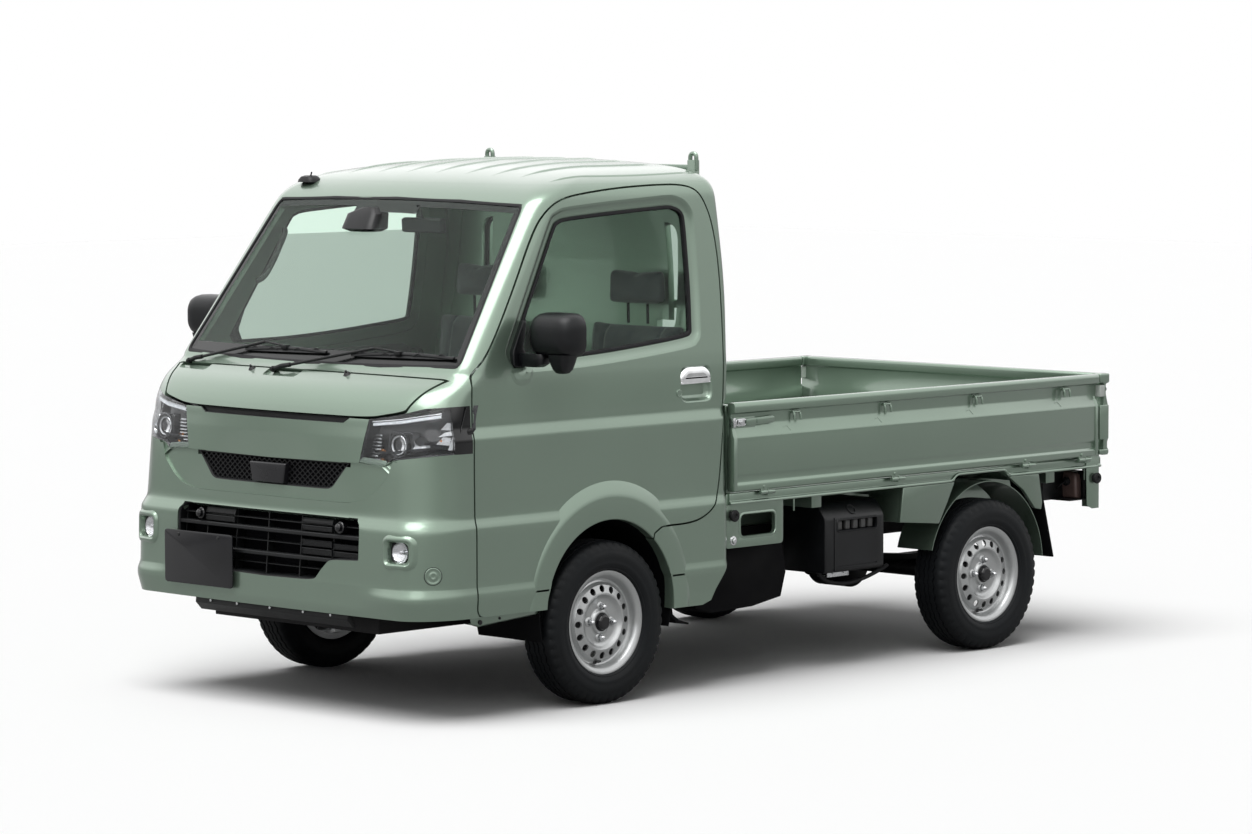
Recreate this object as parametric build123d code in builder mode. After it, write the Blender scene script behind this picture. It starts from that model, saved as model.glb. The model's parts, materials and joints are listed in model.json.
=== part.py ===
from build123d import *
import os
from math import atan2, cos, radians, sin

# A light cab-over truck with a drop-side bed, in millimetres.
# Frame: X is the truck's left, -Y is forward, Z is up, with the ground at Z = 0.
# The origin is under the middle of the truck's length and width.

# ---------------------------------------------------------------- main sizes
LENGTH = 3395.0
WIDTH = 1475.0
WHEELBASE = 1905.0
FRONT_OVERHANG = 848.0
FRONT_TRACK = 1305.0
REAR_TRACK = 1300.0
TYRE_RADIUS = 265.0
TYRE_WIDTH = 145.0
BED_FLOOR_Z = 650.0
GATE_HEIGHT = 293.0

FRONT_AXLE_Y = FRONT_OVERHANG - LENGTH / 2
REAR_AXLE_Y = FRONT_AXLE_Y + WHEELBASE
AXLE_Z = TYRE_RADIUS
HALF_WIDTH = WIDTH / 2

# ---------------------------------------------------------------- clearances
SHUT_GAP = 8.0              # between a closed door or lid and its frame
PIN_CLEARANCE = 0.3         # round a hinge pin
SHAFT_CLEARANCE = 0.08      # round a running shaft

# ---------------------------------------------------------------- cab shell
SIDE_WALL = 48.0            # a door, or a side of the body, with its inner panel
BACK_WALL = 30.0
ROOF_WALL = 34.0
REAR_CORNER = 34.0          # radius of the cab's back corners
LEAST_CORNER = 10.0

# One row per height: z, half width, front centre, how far the front bows back,
# the corner's reach across and along, the back, and the share of the wall that
# lies under the surface rather than behind it. Lengths along the truck are
# measured back from the front axle.
CAB_SECTIONS = (
    (270, 728.0, -820, 12, 130, 190, 562, 0.0),
    (333, 731.0, -827, 12, 130, 190, 562, 0.0),
    (385, 737.5, -842, 14, 130, 195, 562, 0.0),
    (405, 737.5, -841, 14, 130, 195, 562, 0.0),
    (430, 733.0, -832, 14, 130, 190, 562, 0.0),
    (610, 733.0, -828, 15, 130, 185, 562, 0.0),
    (645, 724.0, -812, 17, 140, 170, 562, 0.0),
    (800, 722.5, -807, 24, 150, 160, 562, 0.0),
    (890, 722.5, -804, 32, 150, 145, 562, 0.0),
    (925, 712.0, -802, 36, 150, 135, 564, 0.0),
    (955, 711.0, -800, 38, 150, 130, 585, 0.1),
    (1000, 709.0, -786, 42, 150, 125, 588, 0.4),
    (1040, 707.0, -752, 46, 130, 110, 590, 0.7),
    (1070, 705.0, -695, 48, 100, 90, 592, 0.8),
    (1090, 703.0, -655, 45, 70, 80, 593, 0.5),
    (1110, 701.0, -635, 42, 48, 75, 594, 0.1),
    (1340, 673.0, -463, 32, 55, 75, 616, 0.0),
    (1610, 640.0, -262, 22, 62, 75, 608, 0.0),
    (1650, 634.0, -218, 24, 75, 85, 602, 0.4),
    (1680, 606.0, -165, 30, 110, 110, 596, 1.0),
    (1705, 540.0, -80, 40, 150, 140, 588, 1.0),
    (1723, 420.0, 20, 45, 160, 150, 570, 1.0),
    (1737, 200.0, 180, 25, 100, 100, 500, 1.0),
)
ROOF_SEAM_Z = 1672.0

# ---------------------------------------------------------------- front pieces
FRONT_ZONE = -597.0         # the front pieces lie ahead of this, back from the axle
FRONT_TOP_Z = 1003.0
BUMPER_BOTTOM_Z = 333.0
# Front outlines give x and z, for the left half where a piece is symmetric.
FRONT_OUTLINE = (
    (0, 950), (441, 950), (583, 974), (640, 990), (790, FRONT_TOP_Z), (790, BUMPER_BOTTOM_Z),
    (0, BUMPER_BOTTOM_Z),
)
PANEL_OUTLINE = (
    (0, 950), (441, 950), (411, 812), (511, 805), (556, 827), (536, 773),
    (491, 731), (445, 701), (373, 684), (0, 684),
)
LAMP_OUTLINE = (
    (441, 950), (583, 974), (640, 990), (790, FRONT_TOP_Z), (790, 847), (716, 848),
    (544, 826), (511, 805), (411, 812),
)
HOOD_OUTLINE = (
    (0, 958), (441, 958), (575, 981), (579, 997), (600, 1029), (628, 1066), (654, 1084),
    (654, 1110), (0, 1110),
)
HOOD_OPENING = (
    (0, 950), (441, 950), (583, 973), (587, 994), (608, 1025), (636, 1061), (664, 1080),
    (664, 1120), (0, 1120),
)
HOOD_REAR = (-676.0, -634.0)        # at the middle and at the corners
HOOD_CORNER_X = 660.0
HOOD_AXIS = (-630.0, 1076.0)
HOOD_ARM_X = 280.0
HOOD_EYE = 7.0
HOOD_PIN_RADIUS = 4.0
HOOD_PIN_REACH = 18.0
HOOD_RECESS_Z = 1062.0
WIPER_RECESSES = ((-605.0, 130.0), (-123.0, 90.0))   # middle and width
GRILLE_OUTLINE = (
    (0, 639), (420, 639), (440, 618), (437, 509), (305, 500), (276, 475), (232, 432), (0, 430),
)
GRILLE_RECESS = 24.0
GRILLE_BAR_RECESS = 5.0
GRILLE_BARS = ((566.0, 586.0), (488.0, 508.0))      # low and high edge of each bar
MESH_OUTLINE = ((0, 799), (351, 799), (280, 725), (0, 725))
MESH_RECESS = 12.0
SENSOR_HALF = 86.0          # the box in the middle of the nose mesh
SENSOR_Z = (729.0, 790.0)
SENSOR_FACE = -815.0
SENSOR_DEPTH = 30.0
FOG_X = 605.0
FOG_Z = 545.0
FOG_SIZE = 112.0
FOG_CORNER = 18.0
WINDSCREEN_SIDE_LOW = (655, 1112)
WINDSCREEN_SIDE_HIGH = (580, 1608)
WINDSCREEN_LOW_Z = 1102.0
WINDSCREEN_HIGH_Z = 1621.0
WINDSCREEN_CORNER = 28.0
GLASS_SET = 4.0             # the glass lies this far under the panels' skin
GLASS_THICKNESS = 5.0

# ---------------------------------------------------------------- cab back
REAR_WINDOW = ((-470, 1150), (470, 1150), (470, 1530), (-470, 1530))
BACK_PANEL_BOTTOM = 484.0
BACK_PANEL_HALF = 640.0
BACK_PANEL_TOP_HALF = 540.0
BACK_PANEL_OUTLINE = (
    (0, BACK_PANEL_BOTTOM), (BACK_PANEL_HALF, BACK_PANEL_BOTTOM), (BACK_PANEL_HALF, 1000),
    (BACK_PANEL_TOP_HALF, ROOF_SEAM_Z), (0, ROOF_SEAM_Z),
)

# ---------------------------------------------------------------- doors
# Side outlines give the distance back from the front axle, and z.
DOOR_OUTLINE = (
    (-589, 333), (-589, 1060), (-565, 1098), (-503, 1147), (-379, 1328), (-252, 1530),
    (-190, 1592), (-130, 1622), (-50, 1637), (144, 1654), (340, 1660), (440, 1658),
    (497, 1643), (531, 1604), (560, 1529), (573, 1390), (563, 1181), (544, 938),
    (529, 817), (513, 680), (495, 620), (452, 586), (382, 563), (234, 563),
    (192, 540), (192, 333),
)
WINDOW_OUTLINE = (
    (-395, 1150), (-156, 1549), (-115, 1565), (85, 1579), (379, 1594), (427, 1581),
    (443, 1553), (440, 1325), (428, 1180), (410, 1164), (-38, 1126), (-375, 1122),
)
WINDOW_CORNER = 14.0
DOOR_INNER_X = 560.0        # no part of a door reaches further in
ARCH_CENTRE = (0.0, 309.0)
ARCH_LIP_RADIUS = 289.0
ARCH_WELL_RADIUS = 314.0
ARCH_LIP_DEPTH = 24.0
FLARE_FLAT = (0.0, 322.0, 353.0)    # centre back from the axle, centre z, radius
FLARE_EDGE = (5.0, 345.0, 384.0)
FLARE_EDGE_X = 721.0
SILL_CUT = (
    (190, 286), (432, 286), (472, 299), (492, 333), (547, 411), (556, 430), (700, 430),
    (700, -200), (190, -200),
)
# The hinge axis leans inward with height, as the body side does.
DOOR_HINGE_Y = -545.0
HINGE_LOW_Z = 470.0
HINGE_HIGH_Z = 830.0
HINGE_LOW_X = 719.0
HINGE_HIGH_X = 709.0
HINGE_PIN_RADIUS = 4.0
HINGE_PIN_LENGTH = 76.0
HINGE_ARM_WIDTH = 13.0
HINGE_ARM_HEIGHT = 26.0
HINGE_POCKET_HEIGHT = 38.0
HINGE_POCKET_ROOM = 1.5
POST_X = (596.0, 632.0)             # the hinge post, from its inner to its outer side
POST_Y = (-612.0, -522.0)
POST_Z = (350.0, 1000.0)

# ---------------------------------------------------------------- cab inside
FLOOR_Z = 338.0
FLOOR_THICKNESS = 12.0
DECK_Z = 600.0
DECK_THICKNESS = 18.0
FIREWALL_Y = -700.0
RISER_Y = -336.0
PLATE = 12.0
SEAT_X = 370.0
STEERING_X = -370.0


def at(distance):
    """The Y of a point this far behind the front axle."""
    return FRONT_AXLE_Y + distance


def side_points(outline):
    return [(at(distance), z) for distance, z in outline]


def both_sides(half_outline):
    """A front outline mirrored from its left half, as one closed outline."""
    left = list(half_outline)
    right = [(-x, z) for x, z in reversed(left) if x != 0]
    return left + right


def side_prism(points, x_low, x_high, corner=0.0):
    """A solid with this outline seen from the side, between two X planes."""
    with BuildPart() as prism:
        with BuildSketch(Plane.YZ.offset(x_low)) as sketch:
            with BuildLine():
                Polyline(*points, close=True)
            make_face()
            if corner > 0:
                fillet(sketch.vertices(), corner)
        extrude(amount=x_high - x_low)
    return prism.part


def front_prism(points, y_low, y_high, corner=0.0):
    """A solid with this outline seen from the front, between two Y planes."""
    with BuildPart() as prism:
        with BuildSketch(Plane.XZ.offset(-y_low)) as sketch:
            with BuildLine():
                Polyline(*points, close=True)
            make_face()
            if corner > 0:
                fillet(sketch.vertices(), corner)
        extrude(amount=y_low - y_high)
    return prism.part


def block(x_low, x_high, y_low, y_high, z_low, z_high):
    """A plain box between six planes."""
    with BuildPart() as box:
        with BuildSketch(Plane.XY.offset(z_low)):
            with Locations(((x_low + x_high) / 2, (y_low + y_high) / 2)):
                Rectangle(x_high - x_low, y_high - y_low)
        extrude(amount=z_high - z_low)
    return box.part


def rod(start, end, radius):
    """A round bar between two points."""
    path = Vector(*end) - Vector(*start)
    with BuildPart() as bar:
        with BuildSketch(Plane(origin=start, z_dir=path)):
            Circle(radius)
        extrude(amount=path.length)
    return bar.part


def mirrored(left_part):
    """The same piece on the truck's right."""
    with BuildPart() as right:
        mirror(left_part, about=Plane.YZ)
    return right.part


def finish(piece, name):
    piece.label = name
    export_step(piece, f"parts/{name}.step")


def cab_body(inset, back_inset=None, roof_inset=None):
    """The cab's closed outer form, shrunk by an inset at the front and sides."""
    back_inset = inset if back_inset is None else back_inset
    roof_inset = inset if roof_inset is None else roof_inset
    with BuildPart() as body:
        for z, half, front, bow, reach_x, reach_y, back, drop in CAB_SECTIONS:
            side = half - inset
            corner_x = max(reach_x - inset, LEAST_CORNER)
            corner_y = max(reach_y - inset, LEAST_CORNER)
            front_y = at(front) + inset * (1 - drop)
            shoulder_y = front_y + bow
            back_y = at(back) - back_inset
            rear = max(REAR_CORNER - inset, LEAST_CORNER)
            level = z - roof_inset * drop
            corner_radius = (corner_x**2 + corner_y**2) / (2 * corner_x)
            half_turn = atan2(corner_y, corner_radius - corner_x) / 2
            middle_x = side - corner_radius * (1 - cos(half_turn))
            middle_y = shoulder_y + corner_y - corner_radius * sin(half_turn)
            bulge = 1 - cos(radians(45))
            with BuildSketch(Plane.XY.offset(level)):
                with BuildLine():
                    ThreePointArc(
                        (corner_x - side, shoulder_y), (0, front_y), (side - corner_x, shoulder_y)
                    )
                    ThreePointArc(
                        (side - corner_x, shoulder_y),
                        (middle_x, middle_y),
                        (side, shoulder_y + corner_y),
                    )
                    Line((side, shoulder_y + corner_y), (side, back_y - rear))
                    ThreePointArc(
                        (side, back_y - rear),
                        (side - rear * bulge, back_y - rear * bulge),
                        (side - rear, back_y),
                    )
                    Line((side - rear, back_y), (rear - side, back_y))
                    ThreePointArc(
                        (rear - side, back_y),
                        (rear * bulge - side, back_y - rear * bulge),
                        (-side, back_y - rear),
                    )
                    Line((-side, back_y - rear), (-side, shoulder_y + corner_y))
                    ThreePointArc(
                        (-side, shoulder_y + corner_y),
                        (-middle_x, middle_y),
                        (corner_x - side, shoulder_y),
                    )
                make_face()
        loft(ruled=True)
    return body.part


os.makedirs("parts", exist_ok=True)

# ---------------------------------------------------------------- cab shell
cab_outside = cab_body(0.0)
cab_inside = cab_body(SIDE_WALL, back_inset=BACK_WALL, roof_inset=ROOF_WALL)
with BuildPart() as cab_shell:
    add(cab_outside)
    add(cab_inside, mode=Mode.SUBTRACT)

glass_outside = cab_body(GLASS_SET)
glass_inside = cab_body(GLASS_SET + GLASS_THICKNESS)
with BuildPart() as glass_shell:
    add(glass_outside)
    add(glass_inside, mode=Mode.SUBTRACT)

# The zones that divide the shell into its real panels.
door_prism = side_prism(side_points(DOOR_OUTLINE), DOOR_INNER_X, HALF_WIDTH + 60)
with BuildPart() as door_opening:
    with BuildSketch(Plane.YZ.offset(DOOR_INNER_X)):
        with BuildLine():
            Polyline(*side_points(DOOR_OUTLINE), close=True)
        make_face()
        offset(amount=SHUT_GAP, kind=Kind.INTERSECTION)
    extrude(amount=HALF_WIDTH)
window_prism = side_prism(
    side_points(WINDOW_OUTLINE), DOOR_INNER_X, HALF_WIDTH + 60, WINDOW_CORNER
)
sill_cut = side_prism(side_points(SILL_CUT), -HALF_WIDTH - 60, HALF_WIDTH + 60)
under_door = block(
    -HALF_WIDTH - 60, HALF_WIDTH + 60, at(-900), at(ARCH_CENTRE[0] + ARCH_LIP_RADIUS - 5),
    -200, DOOR_OUTLINE[0][1],
)


def hood_zone(outline, gap):
    """The hood's outline from the front, cut off behind its curved rear edge."""
    middle, corner = (at(distance) + gap for distance in HOOD_REAR)
    with BuildPart() as zone:
        with BuildSketch(Plane.XY.offset(900)):
            with BuildLine():
                ThreePointArc((-HOOD_CORNER_X - gap, corner), (0, middle), (HOOD_CORNER_X + gap, corner))
                Polyline(
                    (HOOD_CORNER_X + gap, corner), (HOOD_CORNER_X + gap, at(-900)),
                    (-HOOD_CORNER_X - gap, at(-900)), (-HOOD_CORNER_X - gap, corner),
                )
            make_face()
        extrude(amount=300)
        add(front_prism(both_sides(outline), at(-900), at(FRONT_ZONE)), mode=Mode.INTERSECT)
    return zone.part


hood_prism = hood_zone(HOOD_OUTLINE, 0.0)
hood_opening = hood_zone(HOOD_OPENING, SHUT_GAP)
panel_prism = front_prism(both_sides(PANEL_OUTLINE), at(-900), at(FRONT_ZONE))
grille_prism = front_prism(both_sides(GRILLE_OUTLINE), at(-900), at(FRONT_ZONE))
lamp_prism = front_prism(LAMP_OUTLINE, at(-900), at(FRONT_ZONE))
fog_prism = front_prism(
    [
        (FOG_X - FOG_SIZE / 2, FOG_Z - FOG_SIZE / 2), (FOG_X + FOG_SIZE / 2, FOG_Z - FOG_SIZE / 2),
        (FOG_X + FOG_SIZE / 2, FOG_Z + FOG_SIZE / 2), (FOG_X - FOG_SIZE / 2, FOG_Z + FOG_SIZE / 2),
    ],
    at(-900), at(-640), FOG_CORNER,
)
front_zone = front_prism(both_sides(FRONT_OUTLINE), at(-900), at(FRONT_ZONE))

with BuildPart() as windscreen_prism:
    with BuildSketch(Plane.XZ.offset(-at(-900))) as windscreen_sketch:
        with BuildLine():
            low_x, low_z = WINDSCREEN_SIDE_LOW
            high_x, high_z = WINDSCREEN_SIDE_HIGH
            ThreePointArc((-low_x, low_z), (0, WINDSCREEN_LOW_Z), (low_x, low_z))
            Line((low_x, low_z), (high_x, high_z))
            ThreePointArc((high_x, high_z), (0, WINDSCREEN_HIGH_Z), (-high_x, high_z))
            Line((-high_x, high_z), (-low_x, low_z))
        make_face()
        fillet(windscreen_sketch.vertices(), WINDSCREEN_CORNER)
    extrude(amount=-780)


def wheel_well(x_low, x_high, radius):
    """A round arch over the front wheels' path, between two X planes."""
    with BuildPart() as well:
        with BuildSketch(Plane.YZ.offset(x_low)):
            with Locations((at(ARCH_CENTRE[0]), ARCH_CENTRE[1])):
                Circle(radius)
        extrude(amount=x_high - x_low)
    return well.part


ARCH_LIP_X = HALF_WIDTH - ARCH_LIP_DEPTH
arch_lip_well = wheel_well(ARCH_LIP_X, HALF_WIDTH + 60, ARCH_LIP_RADIUS)
arch_inner_well = wheel_well(400, ARCH_LIP_X, ARCH_WELL_RADIUS)

with BuildPart() as flare:
    for x, (distance, z, radius) in (
        (FLARE_EDGE_X - ARCH_LIP_DEPTH, FLARE_EDGE),
        (FLARE_EDGE_X, FLARE_EDGE),
        (HALF_WIDTH, FLARE_FLAT),
    ):
        with BuildSketch(Plane.YZ.offset(x)):
            with Locations((at(distance), z)):
                Circle(radius)
    loft(ruled=True)


def hinge_x(z):
    """The X of the left door's leaning hinge axis at this height."""
    lean = (HINGE_HIGH_X - HINGE_LOW_X) / (HINGE_HIGH_Z - HINGE_LOW_Z)
    return HINGE_LOW_X + lean * (z - HINGE_LOW_Z)


def hinge_rod(z_low, z_high, radius):
    return rod(
        (hinge_x(z_low), at(DOOR_HINGE_Y), z_low), (hinge_x(z_high), at(DOOR_HINGE_Y), z_high),
        radius,
    )


# ---------------------------------------------------------------- doors
with BuildPart() as door_left:
    add(cab_shell.part)
    add(flare.part)
    add(door_prism, mode=Mode.INTERSECT)
    add(window_prism, mode=Mode.SUBTRACT)
    add(arch_lip_well, mode=Mode.SUBTRACT)
    add(arch_inner_well, mode=Mode.SUBTRACT)
    add(
        block(DOOR_INNER_X, BACK_PANEL_HALF + SHUT_GAP, at(500), at(600), 300, 1200),
        mode=Mode.SUBTRACT,
    )
    for z in (HINGE_LOW_Z, HINGE_HIGH_Z):
        pocket_x = hinge_x(z) + HINGE_ARM_WIDTH / 2 + HINGE_POCKET_ROOM
        add(
            block(
                DOOR_INNER_X, pocket_x, at(-640), at(DOOR_HINGE_Y) + HINGE_ARM_WIDTH / 2 + 6,
                z - HINGE_POCKET_HEIGHT / 2, z + HINGE_POCKET_HEIGHT / 2,
            ),
            mode=Mode.SUBTRACT,
        )
        add(
            hinge_rod(
                z - HINGE_PIN_LENGTH / 2 - 1, z + HINGE_PIN_LENGTH / 2 + 1,
                HINGE_PIN_RADIUS + PIN_CLEARANCE,
            ),
            mode=Mode.SUBTRACT,
        )
finish(door_left.part, "door_left")
door_right = mirrored(door_left.part)
finish(door_right, "door_right")

with BuildPart() as door_glass_left:
    add(glass_shell.part)
    add(window_prism, mode=Mode.INTERSECT)
finish(door_glass_left.part, "door_glass_left")
finish(mirrored(door_glass_left.part), "door_glass_right")

# ---------------------------------------------------------------- cab panels
rear_window_prism = front_prism(list(REAR_WINDOW), at(480), at(700), 40)
back_zone = front_prism(both_sides(BACK_PANEL_OUTLINE), at(470), at(700))
with BuildPart() as back_panel:
    add(cab_shell.part)
    add(back_zone, mode=Mode.INTERSECT)
    add(rear_window_prism, mode=Mode.SUBTRACT)
finish(back_panel.part, "back_panel")

with BuildPart() as windscreen:
    add(glass_shell.part)
    add(windscreen_prism.part, mode=Mode.INTERSECT)

with BuildPart() as cab_glass:
    add(glass_shell.part)
    add(rear_window_prism, mode=Mode.INTERSECT)
    add(windscreen.part)
finish(cab_glass.part, "cab_glass")

roof_zone = block(-HALF_WIDTH, HALF_WIDTH, at(-400), at(700), ROOF_SEAM_Z, 2000)
with BuildPart() as roof_panel:
    add(cab_shell.part)
    add(roof_zone, mode=Mode.INTERSECT)
finish(roof_panel.part, "roof_panel")

with BuildPart() as hinge_parts:
    for z in (HINGE_LOW_Z, HINGE_HIGH_Z):
        add(
            block(
                POST_X[1] - 5, hinge_x(z),
                at(DOOR_HINGE_Y) - HINGE_ARM_WIDTH / 2, at(DOOR_HINGE_Y) + HINGE_ARM_WIDTH / 2,
                z - HINGE_ARM_HEIGHT / 2, z + HINGE_ARM_HEIGHT / 2,
            )
        )
        add(hinge_rod(z - HINGE_ARM_HEIGHT / 2, z + HINGE_ARM_HEIGHT / 2, HINGE_ARM_WIDTH / 2))
        add(hinge_rod(z - HINGE_PIN_LENGTH / 2, z + HINGE_PIN_LENGTH / 2, HINGE_PIN_RADIUS))
    add(block(POST_X[0], POST_X[1], at(POST_Y[0]), at(POST_Y[1]), POST_Z[0], POST_Z[1]))
    add(block(POST_X[1] - 6, 658, at(-640), at(-598), 985, 1045))
    add(block(650, 690, at(-640), at(-598), 1008, 1045))

hood_pin_y = at(HOOD_AXIS[0])
with BuildPart() as hood_pins:
    for x in (-HOOD_ARM_X, HOOD_ARM_X):
        add(
            rod(
                (x - HOOD_PIN_REACH, hood_pin_y, HOOD_AXIS[1]),
                (x + HOOD_PIN_REACH, hood_pin_y, HOOD_AXIS[1]), HOOD_PIN_RADIUS,
            )
        )

with BuildPart() as cab_frame:
    add(cab_shell.part)
    add(flare.part)
    add(mirrored(flare.part))
    add(cab_inside, mode=Mode.SUBTRACT)
    add(front_zone, mode=Mode.SUBTRACT)
    add(hood_opening, mode=Mode.SUBTRACT)
    add(windscreen_prism.part, mode=Mode.SUBTRACT)
    add(roof_zone, mode=Mode.SUBTRACT)
    add(back_zone, mode=Mode.SUBTRACT)
    add(sill_cut, mode=Mode.SUBTRACT)
    add(
        block(-BACK_PANEL_HALF, BACK_PANEL_HALF, at(480), at(600), 200, BACK_PANEL_BOTTOM),
        mode=Mode.SUBTRACT,
    )
    add(under_door, mode=Mode.SUBTRACT)
    for opening in (door_opening.part, arch_lip_well, arch_inner_well):
        add(opening, mode=Mode.SUBTRACT)
        add(mirrored(opening), mode=Mode.SUBTRACT)
    for x in (-HOOD_ARM_X, HOOD_ARM_X):
        add(
            block(x - 13, x + 13, at(-700), at(-590), 1020, HOOD_AXIS[1] + HOOD_EYE + 2),
            mode=Mode.SUBTRACT,
        )
    add(hood_pins.part)
    add(hinge_parts.part)
    add(mirrored(hinge_parts.part))
finish(cab_frame.part, "cab_frame")

with BuildPart() as hood:
    add(cab_shell.part)
    add(hood_prism, mode=Mode.INTERSECT)
    for x, width in WIPER_RECESSES:
        add(
            block(x - width / 2, x + width / 2, at(-690), at(-590), HOOD_RECESS_Z, 1200),
            mode=Mode.SUBTRACT,
        )
    for x in (-HOOD_ARM_X, HOOD_ARM_X):
        low = HOOD_AXIS[1] - 36
        add(block(x - 7, x + 7, hood_pin_y - 5, hood_pin_y + 5, low, HOOD_AXIS[1]))
        add(block(x - 7, x + 7, at(-700), hood_pin_y + 5, low, low + 10))
        add(
            rod(
                (x - 7, hood_pin_y, HOOD_AXIS[1]), (x + 7, hood_pin_y, HOOD_AXIS[1]), HOOD_EYE
            )
        )
        add(
            rod(
                (x - 9, hood_pin_y, HOOD_AXIS[1]), (x + 9, hood_pin_y, HOOD_AXIS[1]),
                HOOD_PIN_RADIUS + PIN_CLEARANCE,
            ),
            mode=Mode.SUBTRACT,
        )
finish(hood.part, "hood")

with BuildPart() as mesh_recess:
    add(cab_outside)
    add(cab_body(MESH_RECESS), mode=Mode.SUBTRACT)
    add(front_prism(both_sides(MESH_OUTLINE), at(-900), at(FRONT_ZONE)), mode=Mode.INTERSECT)

with BuildPart() as front_panel:
    add(cab_shell.part)
    add(panel_prism, mode=Mode.INTERSECT)
    add(mesh_recess.part, mode=Mode.SUBTRACT)
    add(
        block(
            -SENSOR_HALF, SENSOR_HALF, at(SENSOR_FACE), at(SENSOR_FACE) + SENSOR_DEPTH, *SENSOR_Z
        )
    )
finish(front_panel.part, "front_panel")

with BuildPart() as fog_lamp:
    add(cab_shell.part)
    add(fog_prism, mode=Mode.INTERSECT)

with BuildPart() as front_lamps:
    add(cab_shell.part)
    add(lamp_prism, mode=Mode.INTERSECT)
    add(fog_lamp.part)
    mirror(about=Plane.YZ)
finish(front_lamps.part, "front_lamps")

with BuildPart() as front_bumper:
    add(cab_shell.part)
    add(front_zone, mode=Mode.INTERSECT)
    add(hood_opening, mode=Mode.SUBTRACT)
    add(panel_prism, mode=Mode.SUBTRACT)
    add(grille_prism, mode=Mode.SUBTRACT)
    for opening in (lamp_prism, fog_prism):
        add(opening, mode=Mode.SUBTRACT)
        add(mirrored(opening), mode=Mode.SUBTRACT)
finish(front_bumper.part, "front_bumper")

with BuildPart() as bar_zone:
    for low, high in GRILLE_BARS:
        add(block(-HALF_WIDTH, HALF_WIDTH, at(-900), at(FRONT_ZONE), low, high))
with BuildPart() as grille_bars:
    add(cab_shell.part.moved(Location((0, GRILLE_BAR_RECESS, 0))))
    add(bar_zone.part, mode=Mode.INTERSECT)

with BuildPart() as lower_grille:
    add(cab_shell.part.moved(Location((0, GRILLE_RECESS, 0))))
    add(grille_bars.part)
    add(grille_prism, mode=Mode.INTERSECT)
finish(lower_grille.part, "lower_grille")


# ---------------------------------------------------------------- cab inside
FLOOR_TOP = FLOOR_Z + FLOOR_THICKNESS
DECK_TOP = DECK_Z + DECK_THICKNESS
FLOOR_HALF = 655.0
FLOOR_BACK = at(532)
SEAT_HALF = 235.0
CUSHION_THICKNESS = 150.0
SEAT_ROOM = 0.3
BACK_PROFILE = ((398, 0), (470, 450), (522, 450), (505, 0))
HEADREST_PROFILE = ((462, 475), (468, 610), (520, 618), (528, 480))
DASH_HALF = 590.0
DASH_PROFILE = (
    (-688, 780), (-688, 1010), (-640, 1022), (-480, 1036), (-430, 1015), (-440, 900), (-520, 780),
)

# Steering: the kingpins lean inward, and the shaft leans back from the floor.
KINGPIN_LOW = (612.0, 180.0)        # x and z of the ball joint
KINGPIN_HIGH = (540.0, 640.0)
COLUMN_TILT = 40.0                  # from the vertical
WHEEL_CENTRE = (-370.0, -200.0, 990.0)
STEERING_RIM_RADIUS = 178.0

KINGPIN_RISE = Vector(KINGPIN_HIGH[0] - KINGPIN_LOW[0], 0, KINGPIN_HIGH[1] - KINGPIN_LOW[1])


def kingpin_point(z):
    """A point on the left kingpin axis at this height."""
    share = (z - KINGPIN_LOW[1]) / (KINGPIN_HIGH[1] - KINGPIN_LOW[1])
    return (KINGPIN_LOW[0] + share * KINGPIN_RISE.X, FRONT_AXLE_Y, z)


def kingpin_rod(z_low, z_high, radius):
    return rod(kingpin_point(z_low), kingpin_point(z_high), radius)


STRUT_PIN_RADIUS = 8.0
STRUT_PIN_TOP = 596.0
BUSH_RADIUS = 30.0
BUSH_BOTTOM = 578.0

with BuildPart() as strut_bushes:
    add(block(500, 590, FRONT_AXLE_Y - 45, FRONT_AXLE_Y + 45, BUSH_BOTTOM, DECK_Z))
    add(
        kingpin_rod(BUSH_BOTTOM - 20, STRUT_PIN_TOP + 2, STRUT_PIN_RADIUS + PIN_CLEARANCE),
        mode=Mode.SUBTRACT,
    )
    mirror(about=Plane.YZ)

with BuildPart() as cab_floor:
    add(block(-DASH_HALF, DASH_HALF, at(-700), at(-688), FLOOR_TOP, 1000))
    add(block(-FLOOR_HALF, FLOOR_HALF, at(-700), at(RISER_Y), FLOOR_Z, FLOOR_TOP))
    add(block(-FLOOR_HALF, FLOOR_HALF, at(RISER_Y) - PLATE, at(RISER_Y), FLOOR_Z, DECK_TOP))
    add(block(-FLOOR_HALF, FLOOR_HALF, at(RISER_Y) - PLATE, FLOOR_BACK, DECK_Z, DECK_TOP))
    add(strut_bushes.part)
finish(cab_floor.part, "cab_floor")

with BuildPart() as seat_cushions:
    with BuildSketch(Plane.XY.offset(DECK_TOP + SEAT_ROOM)):
        with Locations((-SEAT_X, at(225)), (SEAT_X, at(225))):
            RectangleRounded(2 * SEAT_HALF, 500, 50)
    extrude(amount=CUSHION_THICKNESS)
finish(seat_cushions.part, "seat_cushions")

SEAT_BACK_BASE = DECK_TOP + 2 * SEAT_ROOM + CUSHION_THICKNESS


def seat_slab(profile, half):
    """A slab on the left seat with this profile, over the cushion's top."""
    points = [(at(distance), SEAT_BACK_BASE + rise) for distance, rise in profile]
    return side_prism(points, SEAT_X - half, SEAT_X + half)


with BuildPart() as seat_backs:
    add(seat_slab(BACK_PROFILE, SEAT_HALF))
    add(seat_slab(HEADREST_PROFILE, 130))
    add(seat_slab(((492, 440), (492, 500), (504, 500), (504, 440)), 60))
    mirror(about=Plane.YZ)
finish(seat_backs.part, "seat_backs")

with BuildPart() as dashboard:
    add(side_prism(side_points(DASH_PROFILE), -DASH_HALF, DASH_HALF))
finish(dashboard.part, "dashboard")

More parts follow.
